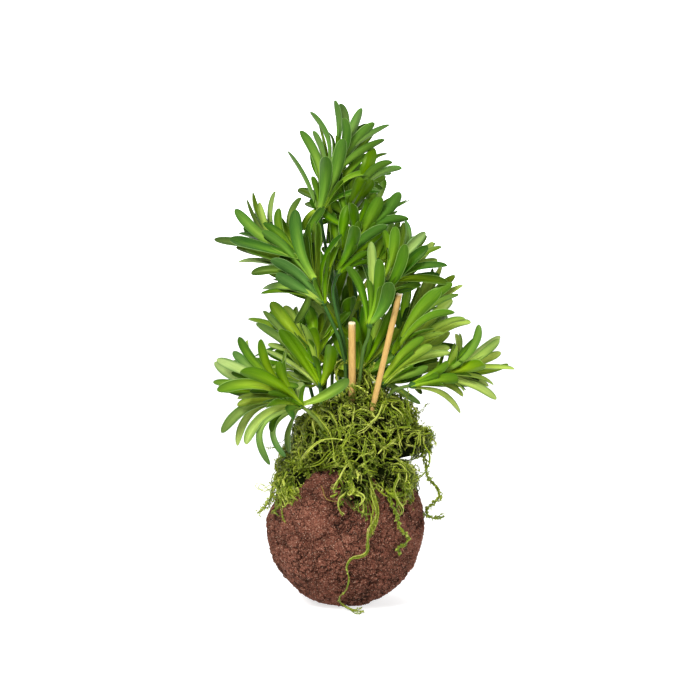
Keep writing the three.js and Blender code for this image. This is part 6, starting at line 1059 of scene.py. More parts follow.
def moss_material(name="moss", deep=False):
    m = Nodes(name)
    hue, painted_depth_shade, part = m.attr("moss")[0:3]
    co = m.coords()
    c = m.ramp(hue, [(0.0, srgb(46, 64, 2)), (0.25, srgb(78, 99, 6)), (0.5, srgb(112, 132, 16)), (0.75, srgb(150, 165, 40)), (0.9, srgb(190, 200, 92)), (0.96, srgb(180, 182, 84)), (1.0, srgb(140, 108, 56))])
    patch = m.noise(60, 3, 0.6, co)
    c = m.mix(m.ramp(patch, [(0.45, 0.0), (0.7, 0.55)]), c, m.mix(0.6, c, srgb(72, 116, 14)))
    fine = m.noise(1300, 3, 0.6, co)
    c = m.mix(m.ramp(fine, [(0.3, 0.45), (0.65, 0.0)]), c, m.mix(0.75, c, srgb(22, 32, 0)))
    # painted shade: fibres that lie deep in the tangle are darkened nearly to black
    c = m.mix(m.ramp(painted_depth_shade, [(0.0, 0.97), (0.45, 0.72), (0.95, 0.0)]), c, srgb(10, 16, 0))
    # painted highlight: leaflets grow paler towards their tips
    c = m.mix(m.math("MULTIPLY", part, 0.4), c, srgb(202, 210, 112))
    n = m.bump(fine, 0.6, 0.0006)
    return m.done(c, 0.33, n, specular=0.5, tint=(1.0, 1.0, 0.35, 1))


# painted shade: a near-black mat under the strands stands for the shadowed inside of the moss
def moss_shade_core_material():
    m = Nodes("moss_inner_shade")
    co = m.coords()
    a = m.noise(420, 5, 0.7, co)
    b = m.voronoi(360, co)
    c = m.ramp(a, [(0.35, srgb(9, 13, 0)), (0.6, srgb(20, 28, 1)), (0.8, srgb(44, 56, 6))])
    n = m.bump(a, 1.0, 0.003)
    n = m.bump(b[0], 0.8, 0.002, n)
    return m.done(c, 0.9, n, specular=0.05)


def bamboo_material():
    m = Nodes("bamboo")
    along, around, end = m.attr("lf")[0:3]
    rnd = m.attr("tone")[2]
    v = m.combine(m.math("MULTIPLY", around, 5.5), m.math("MULTIPLY", along, 2.5), m.math("MULTIPLY", rnd, 20.0))
    fib = m.noise(3.0, 5, 0.65, v)
    v2 = m.combine(m.math("MULTIPLY", around, 1.3), m.math("MULTIPLY", along, 7.0), rnd)
    patch = m.noise(1.2, 3, 0.5, v2)
    c = m.ramp(fib, [(0.25, srgb(150, 112, 54)), (0.5, srgb(184, 148, 80)), (0.78, srgb(208, 176, 108))])
    c = m.mix(m.ramp(patch, [(0.5, 0.0), (0.75, 0.55)]), c, srgb(160, 118, 68))
    dots = m.voronoi(1500, m.coords())
    endc = m.mix(m.ramp(dots[0], [(0.1, 0.7), (0.3, 0.0)]), srgb(246, 230, 196), srgb(186, 146, 100))
    c = m.mix(end, c, endc)
    n = m.bump(fib, 0.5, 0.0005)
    return m.done(c, 0.5, n, specular=0.4)


LEAF = leaf_material()
STEM = stem_material()
SOIL = soil_material()
MOSS = moss_material()
MOSS_IN_SHADE = moss_shade_core_material()
BAMBOO = bamboo_material()

# ------------------------------------------------------------------------ leaves
# painted light and shade: the tone holds both a leaf's own lightness and how much light falls on it; the olive o is
# mostly painted shade
SHADE = {  # tone 0 dark to 1 light, warm 0 green to 1 olive yellow
    "d": (0.04, 0.0), "m": (0.38, 0.04), "l": (0.82, 0.1), "p": (1.0, 0.25),
    "k": (0.2, 0.02), "h": (0.6, 0.06), "y": (0.78, 0.55), "w": (0.5, 0.45), "o": (0.1, 0.6), "g": (0.35, 0.3), "i": (0.0, 0.35),
}
DUST = {"": 0.0, "s": -0.03, "g": 0.06, "v": 0.14}  # a second letter: fuller or dustier green
# How much lighter or darker a sprig is than the table's shades: partly the sprig's own tone, partly painted light and
# shade as it falls on that sprig.
SPRIG_TONE_AND_LIGHT = {
    "top": -0.08, "top_back": -0.12, "upper_right": -0.18, "back_right": -0.1, "right_mid": -0.04, "right_low": 0.26,
    "right_out": 0.3, "left_mid": 0.28, "left_low": 0.2, "upper_left": 0.04, "centre": 0.06, "centre_low": 0.1,
}
SPRIG_WARM = {"right_out": 0.22, "right_low": 0.08, "left_low": 0.06}  # and how much yellower
NL = 20
U = np.linspace(0, 1, NL)
TS = 1 - (1 - U) ** 1.45
WIDTH_T = [0, 0.08, 0.2, 0.34, 0.48, 0.62, 0.74, 0.84, 0.9]
WIDTH_W = [0.44, 0.45, 0.54, 0.7, 0.86, 0.97, 1.0, 1.0, 0.98]
FULL = 1.18  # how much wider the finished leaf is than the frame's slim solid
TOP_X = np.array([-1, -0.88, -0.66, -0.36, 0, 0.36, 0.66, 0.88, 1])
BOT_X = np.array([0.93, 0.7, 0.38, 0, -0.38, -0.7, -0.93])
RX = np.r_[TOP_X, BOT_X]
RU = np.r_[np.zeros(len(TOP_X)), np.ones(len(BOT_X))]


def leaf(batch, row, rng, lighter=0.0, warmer=0.0):
    P0, P1, P2 = (np.array(row[i : i + 3], float) for i in (0, 3, 6))
    N, w, shade = np.array(row[9:12], float), row[12], row[13]
    t = TS[:, None]
    C = (1 - t) ** 2 * P0 + 2 * t * (1 - t) * P1 + t * t * P2
    T = unit(2 * (1 - t) * (P1 - P0) + 2 * t * (P2 - P1))
    n = unit(N - T * (T @ N)[:, None])
    W = np.cross(T, n)
    long = np.linalg.norm(P2 - P0)
    C = C + n * (np.sin(TS * np.pi * rng.uniform(1.2, 2.2) + rng.uniform(0, 3)) * np.sin(np.pi * TS) * long * rng.normal(0, 0.012))[:, None]
    roll = np.radians(rng.normal(0, 13)) * TS ** 1.3 + np.radians(rng.normal(0, 4))
    cr, sr = np.cos(roll)[:, None], np.sin(roll)[:, None]
    n, W = n * cr + W * sr, W * cr - n * sr
    if w < 3.3:  # a narrow leaf runs to a point
        s = np.interp(TS, [0, 0.25, 0.5, 0.7, 0.85, 0.95, 1], [0.5, 0.82, 1.0, 0.98, 0.78, 0.45, 0.06])
    else:
        s = np.interp(TS, WIDTH_T, WIDTH_W)
        tipn = np.clip((TS - 0.77) / 0.23, 0, 1)
        s = s * np.sqrt(np.clip(1 - tipn ** 2.4, 0, 1))
        s[-1] = 0.03
    half = w / 2 * s * FULL
    cup = np.interp(TS, [0, 0.15, 0.4, 0.7, 1], [0.95, 0.8, 0.6, 0.42, 0.25]) * rng.uniform(0.5, 1.7)
    thick = np.interp(TS, [0, 0.1, 0.4, 0.8, 0.95, 1], [1.0, 0.85, 0.6, 0.42, 0.3, 0.12])
    wave = rng.normal(0, 0.13) * np.sin(TS * rng.uniform(6, 11) + rng.uniform(0, 6)) * w / 2
    x = RX[None, :]
    lift = cup[:, None] * half[:, None] * (np.abs(x) ** 1.25 + 0.12 * x * rng.normal())
    fold = 0.12 * half[:, None] * np.cos(2.6 * np.pi * x + rng.normal(0, 0.5)) * rng.uniform(0.3, 1.3) * np.sin(np.pi * np.clip(TS[:, None], 0.0, 1.0)) ** 0.5
    groove = -0.2 * np.exp(-((x / 0.16) ** 2)) * (1 - TS[:, None]) ** 0.6
    rim = 0.06 * np.exp(-(((np.abs(x) - 0.9) / 0.1) ** 2)) * np.sin(np.pi * np.clip(TS[:, None], 0.02, 0.98))
    h = lift + fold + wave[:, None] * x * 0.7
    top = h + (groove + rim) * np.clip(s[:, None] * 1.6, 0, 1)
    body = (1 - np.abs(x) ** 2.0) ** 0.8
    keel = 0.3 * np.exp(-((x / 0.2) ** 2)) * np.interp(TS, [0, 0.6, 1], [1, 0.5, 0])[:, None]
    bot = h - 0.1 - thick[:, None] * (0.6 * body + keel) * np.clip(s[:, None] * 1.6, 0, 1)
    hgt = np.where(RU[None, :] > 0.5, bot, top)
    V = C[:, None, :] + W[:, None, :] * (half[:, None] * x)[:, :, None] + n[:, None, :] * hgt[:, :, None]
    R = len(RX)
    i, k = np.meshgrid(np.arange(NL - 1), np.arange(R), indexing="ij")
    a = i * R + k
    b = i * R + (k + 1) % R
    Q = np.stack([b, a, a + R, b + R], -1).reshape(-1, 4)
    V = V.reshape(-1, 3)
    V = np.vstack([V, C[:1], C[-1:] + T[-1:] * 0.04])
    kk = np.arange(R)
    t1 = np.stack([np.full(R, len(V) - 2), kk, (kk + 1) % R], 1)
    o = (NL - 1) * R
    t2 = np.stack([np.full(R, len(V) - 1), o + (kk + 1) % R, o + kk], 1)
    lf = np.stack([np.r_[np.repeat(TS, R), 0, 1], np.r_[np.tile(RX, NL), 0, 0], np.r_[np.tile(RU, NL), 1, 0]], 1)
    # the tone, with its sprig's lift, is partly painted light and shade
    tone, warm = SHADE[shade[0]]
    tn = np.array([np.clip(tone + lighter + rng.normal(0, 0.04), 0, 1), np.clip(warm + warmer + rng.normal(0, 0.05), 0, 1), rng.uniform()])
    batch.add(V, Q, np.vstack([t1, t2]), lf=lf, tone=tn, dust=np.array([DUST[shade[1:]], 0, 0]))


def collar(batch, c, A, rng):
    """A ribbed cone that the stem passes through and the leaves grow from."""
    c, A = np.array(c), unit(np.array(A))
    n, sides = 9, 20
    z = np.linspace(-2.9, 2.7, n)
    r = np.array([1.45, 1.95, 2.3, 2.62, 2.75, 2.7, 2.5, 2.2, 1.5])
    C = c + A * z[:, None]
    rib = 1 + 0.07 * np.cos(np.arange(sides) * 2 * np.pi / sides * 5)[None, :] * np.ones((n, 1))
    V, Q, T, al, ar = tube(C, r, sides, rib)
    batch.add(V, Q, T, lf=np.stack([al * 0.4 + 0.5, ar, np.zeros(len(V))], 1), tone=np.array([0.3, 0.06, rng.uniform()]), dust=np.zeros(3))


def young_leaves(c, A, rows, rng):
    """Shorter inner leaves between neighbours of a whorl."""
    c, A = np.array(c), unit(np.array(A))
    ref = unit(np.cross(A, [0.3, 0.2, 0.9]))
    oth = np.cross(A, ref)
    R = []
    for row in rows:
        v = np.array(row[6:9]) - c
        R.append((math.atan2(v @ oth, v @ ref), row))
    R.sort(key=lambda x: x[0])
    made = []
    for i in range(len(R)):
        (a0, r0), (a1, r1) = R[i - 1], R[i]
        gap = (a1 - a0) % (2 * math.pi)
        if len(R) < 2 or gap > 1.9 or gap < 0.12:
            continue
        m = rng.uniform(0.35, 0.65)
        p = [np.array(r0[k : k + 3]) * (1 - m) + np.array(r1[k : k + 3]) * m for k in (0, 3, 6, 9)]
        share = rng.uniform(0.5, 0.74)
        start = c + (p[0] - c) * 0.8 - A * 0.4
        mid = start + (p[1] - start) * share
        tip = start + (p[2] - start) * share
        # the inner ones stand a little closer to the stem
        lift = A * np.linalg.norm(tip - start) * rng.uniform(0.02, 0.12)
        w = max(2.2, min(r0[12], r1[12]) * rng.uniform(0.62, 0.85))
        made.append([*start, *(mid + lift * 0.5), *(tip + lift), *unit(p[3]), w, "i"])
    return made


for name, (stem, c, A, rows) in WHORLS.items():
    rng = np.random.default_rng(abs(hash_name := sum(ord(ch) * (i + 7) for i, ch in enumerate(name))))
    b = Batch(["lf", "tone", "dust"])
    for row in rows:
        leaf(b, row, rng, SPRIG_TONE_AND_LIGHT.get(stem, 0.0), SPRIG_WARM.get(stem, 0.0))
    for row in young_leaves(c, A, rows, rng) + INNER.get(name, []):
        leaf(b, row, rng)
    nleaf = sum(len(q) for q in b.q) + sum(len(t) for t in b.t)
    collar(b, c, A, rng)
    o = b.build("foliage_" + name)
    o.data.materials.append(LEAF)
    o.data.materials.append(STEM)
    # faces of the collar: those whose vertices come after the leaves
    nv = sum(len(v) for v in b.v[:-1])
    idx = np.zeros(len(o.data.polygons), dtype=np.int32)
    first = np.array([p.vertices[0] for p in o.data.polygons])
    idx[first >= nv] = 1
    o.data.polygons.foreach_set("material_index", idx)
    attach(o, "root")
    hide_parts("leaves_" + name)

# ------------------------------------------------------------------------- stems
STEM_WARM = {"left_low": 0.55, "centre": 0.3, "right_out": 0.35, "right_mid": 0.2, "left_mid": 0.15}
for name, pts in STEMS.items():
    C = spline(pts, 60)
    rng = np.random.default_rng(sum(ord(ch) for ch in name))
    r = 1.22 + 0.07 * np.sin(np.linspace(0, 40, 60) + rng.uniform(0, 6)) * rng.uniform(0.3, 1)
    # small swellings where old leaves sat
    for k in range(7):
        p = rng.uniform(0.25, 0.98)
        r = r + 0.25 * np.exp(-(((np.linspace(0, 1, 60) - p) / 0.012) ** 2))
    V, Q, T, al, ar = tube(C, r, 12)
    b = Batch(["lf", "tone"])
    b.add(V, Q, T, lf=np.stack([al, ar, np.zeros(len(V))], 1), tone=np.array([0.4, STEM_WARM.get(name, 0.05), rng.uniform()]))
    o = b.build("stalk_" + name)
    o.data.materials.append(STEM)
    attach(o, "root")
    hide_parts("stem_" + name)

# ------------------------------------------------------------------------ sticks
for name, (top, through, radius) in STICKS.items():
    top, through = np.array(top), np.array(through)
    d = unit(through - top)
    foot = through + d * STICK_DEPTH
    rng = np.random.default_rng(len(name) * 7)
    n, sides = 70, 36
    C = top + (foot - top) * np.linspace(0, 1, n)[:, None]
    ang = np.arange(sides) * 2 * np.pi / sides
    wob = 1 + 0.012 * np.sin(3 * ang + 1)[None, :] + 0.01 * np.sin(7 * ang)[None, :] + 0.012 * np.sin(np.linspace(0, 9, n))[:, None]
    r = np.full(n, radius)
    r[0], r[1] = radius * 0.93, radius
    C[1] = C[0] + d * 0.35
    C[2] = C[0] + d * 1.6
    V, Q, T, al, ar = tube(C, r, sides, wob)
    # uneven cut at the top
    cut = 0.4 * np.sin(2 * ang + 0.6) + (0.55 if name == "stick_left" else 0.2) * rng.normal(size=sides)
    for k in range(sides):
        V[k] -= d * cut[k] * 0.6
        V[sides + k] -= d * cut[k] * 0.6
    b = Batch(["lf", "tone"])
    end = np.zeros(len(V))
    end[: 2 * sides] = 0.9
    end[2 * sides : 3 * sides] = rng.uniform(-0.4, 0.6, sides).clip(0) * (1.0 if name == "stick_left" else 0.3)
    end[-2] = 1
    b.add(V, Q, T, lf=np.stack([al * 4, ar, end], 1), tone=np.array([0, 0, rng.uniform()]))
    o = b.build("bamboo_" + name)
    o.data.materials.append(BAMBOO)
    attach(o, "root")
    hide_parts(name)


# ------------------------------------------------------------------------- soil
def icosphere(sub):
    me = bpy.data.meshes.new("tmp")
    import bmesh

    bm = bmesh.new()
    bmesh.ops.create_icosphere(bm, subdivisions=sub, radius=1.0)
    bm.to_mesh(me)
    bm.free()
    V = np.zeros(len(me.vertices) * 3)
    me.vertices.foreach_get("co", V)
    F = np.zeros(len(me.polygons) * 3, dtype=np.int32)
    me.polygons.foreach_get("vertices", F)
    bpy.data.meshes.remove(me)
    return unit(V.reshape(-1, 3)), F.reshape(-1, 3)


def lumps(D, k):
    x, y, z = D[:, 0] * k, D[:, 1] * k, D[:, 2] * k
    return (np.sin(3.1 * x + 1.3) * np.cos(2.7 * y - 0.6) + np.sin(4.3 * y + 2.1) * np.cos(3.7 * z + 0.4) + np.sin(3.9 * z - 1.1) * np.cos(4.1 * x + 1.7)) / 2.2


def push(p):
    """Three noises at three places: the ready-made vector noise differs from run to run."""
    return Vector((noise.noise(p + Vector((9.321, -1.531, -7.951))), noise.noise(p), noise.noise(p + Vector((6.327, 0.167, -2.672)))))


def step(a, b, x):
    t = min(1.0, max(0.0, (x - a) / (b - a)))
    return t * t * (3 - 2 * t)


D, F = icosphere(7)
R0 = BALL_R + 0.7 + 1.2 * lumps(D, 1.25)
# bulges and flats of this ball, as directions
for side, size, reach in (((-0.62, 0, -0.78), 1.3, 0.5), ((0.9, -0.1, 0.4), 2.6, 0.32), ((0.75, 0, -0.66), -0.9, 0.4), ((-0.98, -0.1, 0.16), 1.7, 0.12), ((-0.3, -0.9, -0.3), 0.8, 0.3), ((0.35, -0.85, 0.1), -0.9, 0.3)):
    R0 = R0 + size * np.exp(-((np.arccos(np.clip(D @ unit(np.array(side, float)), -1, 1)) / reach) ** 2))
disp = np.zeros(len(D))
low = np.zeros(len(D))
for i, d in enumerate(D):
    p = Vector(d * BALL_R)
    q = p + push(p * 0.06) * 7.0 + push(p * 0.19) * 2.6 + push(p * 0.5) * 0.8
    loose = 0.4 + 0.6 * step(-0.25, 0.3, noise.noise(p * 0.05 + Vector((3, 5, 8))))
    d1, c1 = noise.voronoi(q * 0.085)
    d2, c2 = noise.voronoi(q * 0.19 + Vector((7, 3, 1)))
    d3, c3 = noise.voronoi(q * 0.5 + Vector((1, 9, 4)))
    e1, e2, e3 = step(0, 0.11, d1[1] - d1[0]), step(0, 0.17, d2[1] - d2[0]), step(0, 0.3, d3[1] - d3[0])
    h1, h2, h3 = (noise.noise(Vector(c) * 3.7) for c in (c1[0], c2[0], c3[0]))
    f = noise.fractal(p * 0.5, 0.8, 2.1, 4)
    disp[i] = 1.4 * h1 * e1 + (0.25 + 0.75 * loose) * h2 * e2 + 0.3 * h3 * e3
    disp[i] -= (0.3 + 1.4 * loose) * (1 - e1) + (0.15 + 0.95 * loose) * (1 - e2) + (0.05 + 0.2 * loose) * (1 - e3)
    g = noise.fractal(p * 1.1 + Vector((4, 4, 1)), 0.7, 2.0, 3)
    disp[i] += 0.6 * f + 0.3 * g
    # how far down between clods a point lies; the soil material paints shade there
    low[i] = 1 - max((0.35 + 0.65 * loose) * (1 - e1), (0.15 + 0.75 * loose) * (1 - e2), (0.05 + 0.3 * loose) * (1 - e3)) + 0.14 * f + 0.12 * g
R1 = R0 + disp
V = D * R1[:, None]
V[:, 2] += BALL_Z
flat = V[:, 2] < 0.0
V[:, 2] = np.where(flat, 0.0, V[:, 2])
ball = make_object("soil", V, tris=F, attrs={"soil": np.stack([low, low, low], 1)})
ball.data.materials.append(SOIL)
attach(ball, "root")
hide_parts("soil_ball")

# ------------------------------------------------------------------------- moss
BALL_C = np.array([0, 0, BALL_Z])


def exit_of(d, centre, radii):
    """How far from MOSS_MID a ray along each d leaves an ellipsoid; 0 where it misses."""
    o = (MOSS_MID - centre) / radii
    e = d / radii
    a = (e * e).sum(-1)
    b = (e * o).sum(-1)
    q = b * b - a * ((o * o).sum() - 1)
    return np.where(q > 0, np.maximum((-b + np.sqrt(np.maximum(q, 0))) / a, 0), 0)


def moss_reach(d):
    m = np.max([exit_of(d, L[:3], L[3:]) for L in MOSS_LOBES], axis=0)
    P = MOSS_MID + d * m[..., None]
    for B in MOSS_BARE:
        m = m - 13 * np.exp(-((np.linalg.norm(P - B[:3], axis=-1) / B[3]) ** 4))
    return np.maximum(m, 1.0)


def ball_reach(d, extra=0.0):
    return exit_of(d, BALL_C, np.full(3, BALL_R + extra))


def height_over_moss(P):
    v = P - MOSS_MID
    r = np.linalg.norm(v, axis=-1)
    d = v / np.maximum(r, 1e-9)[..., None]
    return r - np.maximum(moss_reach(d), ball_reach(d, 0.9))


def moss_normal(P, e=1.6):
    h = height_over_moss(P)
    g = np.stack([height_over_moss(P + np.eye(3)[k] * e) - h for k in range(3)], -1)
    return unit(g), h


D, F = icosphere(6)
reach = moss_reach(D)
shrink = np.zeros(len(D))
for i, d in enumerate(D):
    shrink[i] = 5.0 + 2.2 * noise.fractal(Vector(d * 6), 0.8, 2.1, 4)
R = np.maximum(reach - shrink, ball_reach(D, -5.0))
V = MOSS_MID + D * R[:, None]
# the mat under the strands, coloured as painted shade
inner = make_object("moss_mat", V, tris=F, attrs={"moss": np.zeros((len(V), 3))})
inner.data.materials.append(MOSS_IN_SHADE)
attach(inner, "root")
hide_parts("moss_cap")


def keep_off_ball(P, gap=0.8):
    q = P - BALL_C
    d = np.linalg.norm(q, axis=-1, keepdims=True)
    return np.where(d < BALL_R + gap, BALL_C + q / np.maximum(d, 1e-9) * (BALL_R + gap), P)


GAP = np.array([41.2, 0.0, 103.4])  # a see-through gap: a point, its direction and its reach
GAP_WAY = np.array([0.0, 0.9925, -0.1219])
GAP_REACH = np.array([5.0, 2.9])


def round_gap(P):
    """Pushes strands out of the gap; False for those that would still cross it."""
    v = P - GAP
    v = v - GAP_WAY * (v @ GAP_WAY)[..., None]
    q = np.sqrt((v[..., 0] / GAP_REACH[0]) ** 2 + (v[..., 2] / GAP_REACH[1]) ** 2)
    P = P + v * np.maximum(1.08 / np.maximum(q, 0.05) - 1, 0)[..., None] * (q < 1)[..., None]
    v = (P[:, 1:] + P[:, :-1]) / 2 - GAP
    v = v - GAP_WAY * (v @ GAP_WAY)[..., None]
    q = (v[..., 0] / GAP_REACH[0]) ** 2 + (v[..., 2] / GAP_REACH[1]) ** 2
    return P, q.min(1) > 0.6


def strand_mesh(name, P, rad, hue, painted_depth_shade, leaflets, size, rng, sides=3):
    """P (n, k, 3) centre lines, rad (n, k). Leaflets are small kites along each strand."""
    P, keep = round_gap(P)
    P, rad, hue, painted_depth_shade = P[keep], rad[keep], hue[keep], painted_depth_shade[keep]
    n, k, _ = P.shape
    T = unit(np.gradient(P, axis=1))
    ref = unit(rng.normal(size=(n, 1, 3)))
    A = unit(ref - T * (ref * T).sum(-1, keepdims=True))
    B = np.cross(T, A)
    ang = np.arange(sides) * 2 * np.pi / sides
    V = P[:, :, None, :] + rad[:, :, None, None] * (A[:, :, None, :] * np.cos(ang)[None, None, :, None] + B[:, :, None, :] * np.sin(ang)[None, None, :, None])
    V = V.reshape(-1, 3)
    V[:, 2] = np.maximum(V[:, 2], 0.05)
    s, i, j = np.meshgrid(np.arange(n), np.arange(k - 1), np.arange(sides), indexing="ij")
    a = (s * k + i) * sides + j
    b = (s * k + i) * sides + (j + 1) % sides
    quads = np.stack([a, b, b + sides, a + sides], -1).reshape(-1, 4)
    m1 = np.stack([np.repeat(hue, k * sides), np.repeat(painted_depth_shade.ravel(), sides), np.zeros(n * k * sides)], 1)
    # leaflets
    u = (np.arange(leaflets)[None, :] + rng.uniform(0.1, 0.9, (n, leaflets))) / leaflets * (k - 1) * 0.98
    i0 = np.minimum(u.astype(int), k - 2)
    f = (u - i0)[..., None]
    rows = np.arange(n)[:, None]
    base = P[rows, i0] * (1 - f) + P[rows, i0 + 1] * f
    t = T[rows, i0]
    az = rng.uniform(0, 2 * np.pi, (n, leaflets, 1))
    out = A[rows, i0] * np.cos(az) + B[rows, i0] * np.sin(az)
    side = np.cross(t, out)
    L = size * rng.uniform(0.6, 1.35, (n, leaflets, 1))
    d = unit(t * rng.uniform(0.7, 1.5, (n, leaflets, 1)) + out * rng.uniform(0.4, 0.9, (n, leaflets, 1)))
    tip = base + d * L
    midp = base + d * L * 0.45 + out * L * 0.09
    wv = side * L * 0.34
    LV = np.stack([base, midp + wv, tip, midp - wv], 2).reshape(-1, 3)
    LV[:, 2] = np.maximum(LV[:, 2], 0.06)
    o = len(V)
    m = n * leaflets
    leaf_tris = np.array([[0, 1, 3], [2, 3, 1], [0, 2, 1], [0, 3, 2]])  # a thin closed wedge each
    t2 = (o + np.arange(m)[:, None, None] * 4 + leaf_tris[None]).reshape(-1, 3)
    fan = np.array([[0, c, c + 1] for c in range(1, sides - 1)])
    first = np.arange(n)[:, None, None] * k * sides
    caps = np.concatenate([first + fan[None, :, ::-1], first + (k - 1) * sides + fan[None]]).reshape(-1, 3)
    dep = painted_depth_shade[rows, i0].ravel()
    h2 = np.repeat(hue, leaflets)
    # the third value rises towards each leaflet's tip, where the moss material paints a highlight
    m2 = np.stack([np.repeat(h2, 4), np.repeat(dep, 4), np.tile([0.2, 0.6, 1.0, 0.6], m)], 1)
    obj = make_object(name, np.vstack([V, LV]), quads, np.vstack([caps, t2]), {"moss": np.vstack([m1, m2])})
    corners = np.zeros(len(obj.data.polygons), dtype=np.int32)
    obj.data.polygons.foreach_get("loop_total", corners)
    obj.data.polygons.foreach_set("use_smooth", corners == 4)
    obj.data.materials.append(MOSS)
    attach(obj, "root")
    return obj


def seeds(n, rng, grow=1.0):
    """Random points on the moss, evenly spread over its outside."""
    out = np.zeros((0, 3))
    while len(out) < n:
        d = unit(rng.normal(size=(4 * n, 3)))
        m = moss_reach(d)
        ok = (m > ball_reach(d) + grow) & (rng.uniform(size=len(d)) < (m / 62.0) ** 2)
        out = np.vstack([out, MOSS_MID + d[ok] * m[ok, None]])
    return out[:n]


def tangle(n, k, length, rng, low=-3.5, high=2.5, droop=0.1, curl=0.35, wander=0.22, spread=(0.5, 1.4), start=None, aim=None, hold=0.14):
    """Curled strands that keep to a height of their own over the moss."""
    P = seeds(n, rng) if start is None else start
    want = rng.uniform(low, high, n)
    N, h = moss_normal(P)
    P = P + N * want[:, None]
    d = rng.normal(size=(n, 3)) if aim is None else aim + rng.normal(size=(n, 3)) * 0.35
    d = unit(d - N * (d * N).sum(1, keepdims=True) * 0.9 + np.array([0, 0, -droop]))
    step = length * rng.uniform(*spread, n) / (k - 1)
    turn = rng.normal(size=(n, 3)) * curl
    pts = [P]
    for i in range(k - 1):
        p = pts[-1]
        N, h = moss_normal(p)
        d = unit(d + np.cross(d, turn) + rng.normal(size=(n, 3)) * wander - N * np.clip((h - want) * hold, -0.5, 0.6)[:, None] + np.array([0, 0, -droop]))
        v = unit(p - MOSS_MID)
        bare = moss_reach(v) < ball_reach(v) + 0.5
        pts.append(p + d * np.where(bare, step * 0.3, step)[:, None])
    return keep_off_ball(np.stack(pts, 1), 0.7)


# painted shade in hollows and one patch of painted light: where, how wide, how dark
MOSS_SHADE = np.array([[-21, -26, 106, 12, 0.42], [-26, -20, 122, 8, 0.2], [20, -30, 92, 8, 0.2], [12, -22, 127, 14, 0.12], [41, -20, 104, 13, -0.14]], float)


def shade_by_depth(P, lo=-3.6, hi=1.6):
    h = np.clip((height_over_moss(P) - lo) / (hi - lo), 0, 1)
    for B in MOSS_SHADE:
        h = h - B[4] * np.exp(-((np.linalg.norm(P - B[:3], axis=-1) / B[3]) ** 2))
    return np.clip(h, 0, 1)


def taper(k, n, rad, rng, end=0.3):
    return rad * rng.uniform(0.6, 1.3, (n, 1)) * np.interp(np.linspace(0, 1, k), [0, 0.1, 0.6, 1], [0.6, 1, 0.8, end])[None, :]


def hues(n, rng, mean, dev):
    return np.clip(rng.normal(mean, dev, n), 0, 1)


def ropes(P, m, width, rng):
    """Each path becomes m fibres that run side by side and cross over."""
    n, k, _ = P.shape
    knots = np.arange(0, k + 3, 3)
    side = rng.normal(size=(n, m, 1, 3)) * width
    wob = rng.normal(size=(n, m, len(knots), 3)) * width * 0.7
    i = np.arange(k)
    j = np.minimum(i // 3, len(knots) - 2)
    f = ((i - knots[j]) / 3.0)[None, None, :, None]
    w = wob[:, :, j] * (1 - f) + wob[:, :, j + 1] * f
    return keep_off_ball((P[:, None] + side + w).reshape(n * m, k, 3), 0.7)


# the tangle itself
for piece, (n, m, k, length, rad, mean, leaflets, size) in enumerate([(460, 3, 10, 20, 0.54, 0.32, 9, 1.25), (460, 3, 10, 24, 0.56, 0.5, 8, 1.35)]):
    rng = np.random.default_rng(900 + piece)
    P = ropes(tangle(n, k, length, rng, low=-4.2 + piece * 1.4, high=1.2 + piece * 1.4, droop=0.1 + 0.12 * piece), m, 0.75, rng)
    hue = np.repeat(hues(n, rng, mean, 0.2), m) + rng.normal(0, 0.2, n * m)
    strand_mesh("moss_fibres_%d" % (piece + 1), P, taper(k, n * m, rad, rng), np.clip(hue, 0, 0.93), shade_by_depth(P), leaflets, size, rng)

rng = np.random.default_rng(950)
n, k = 520, 14
P = tangle(n // 2, k, 34, rng, low=-0.5, high=2.6, curl=0.2, wander=0.2, droop=0.26)
P = ropes(P, 2, 0.6, rng)
strand_mesh("moss_fibres_3", P, taper(k, n, 0.48, rng), np.clip(hues(n, rng, 0.64, 0.26), 0, 0.9), shade_by_depth(P, -4.5, 0.5), 18, 1.2, rng, sides=4)

# loose wisps that stand off the outline
rng = np.random.default_rng(960)
n, k = 330, 9
S = seeds(4 * n, rng, 5.0)
S = S[(S[:, 2] > 84)][:n]
n = len(S)
N, _ = moss_normal(S)
P = tangle(n, k, 14, rng, low=0.3, high=3.4, curl=0.6, wander=0.35, droop=0.05, start=S, aim=N * 0.8, hold=0.05)
strand_mesh("moss_wisps", P, taper(k, n, 0.34, rng), hues(n, rng, 0.5, 0.2), np.full((n, k), 0.85), 9, 1.6, rng)

# the skirt at the left, where the cap thins out over the ball
rng = np.random.default_rng(965)
S = seeds(7000, rng, 0.6)
S = S[np.linalg.norm(S - np.array([-31, -22, 90]), axis=1) < 14][:170]
n, k = len(S), 11
P = tangle(n, k, 19, rng, low=-3.0, high=1.6, curl=0.3, wander=0.22, droop=0.22, start=S)
strand_mesh("moss_skirt", P, taper(k, n, 0.5, rng), np.clip(hues(n, rng, 0.6, 0.22), 0, 0.93), shade_by_depth(P, -5.5, 0.5), 10, 1.4, rng)

# upright strands between the two sticks
rng = np.random.default_rng(970)
n, k = 150, 10
S = np.stack([rng.uniform(5, 20, n), rng.uniform(-16, -2, n), rng.uniform(134, 150, n)], 1)
pts = [S]
d = unit(np.stack([rng.normal(0, 0.25, n), rng.normal(0, 0.25, n), np.ones(n)], 1))
turn = rng.normal(size=(n, 3)) * 0.3
step = rng.uniform(1.0, 2.6, n)[:, None]
for i in range(k - 1):
    d = unit(d + np.cross(d, turn) + rng.normal(size=(n, 3)) * 0.25 + np.array([0, 0, 0.12]))
    pts.append(pts[-1] + d * step)
P = np.stack(pts, 1)
strand_mesh("moss_tuft", P, taper(k, n, 0.42, rng), hues(n, rng, 0.5, 0.22), np.full((n, k), 0.85), 12, 1.6, rng)


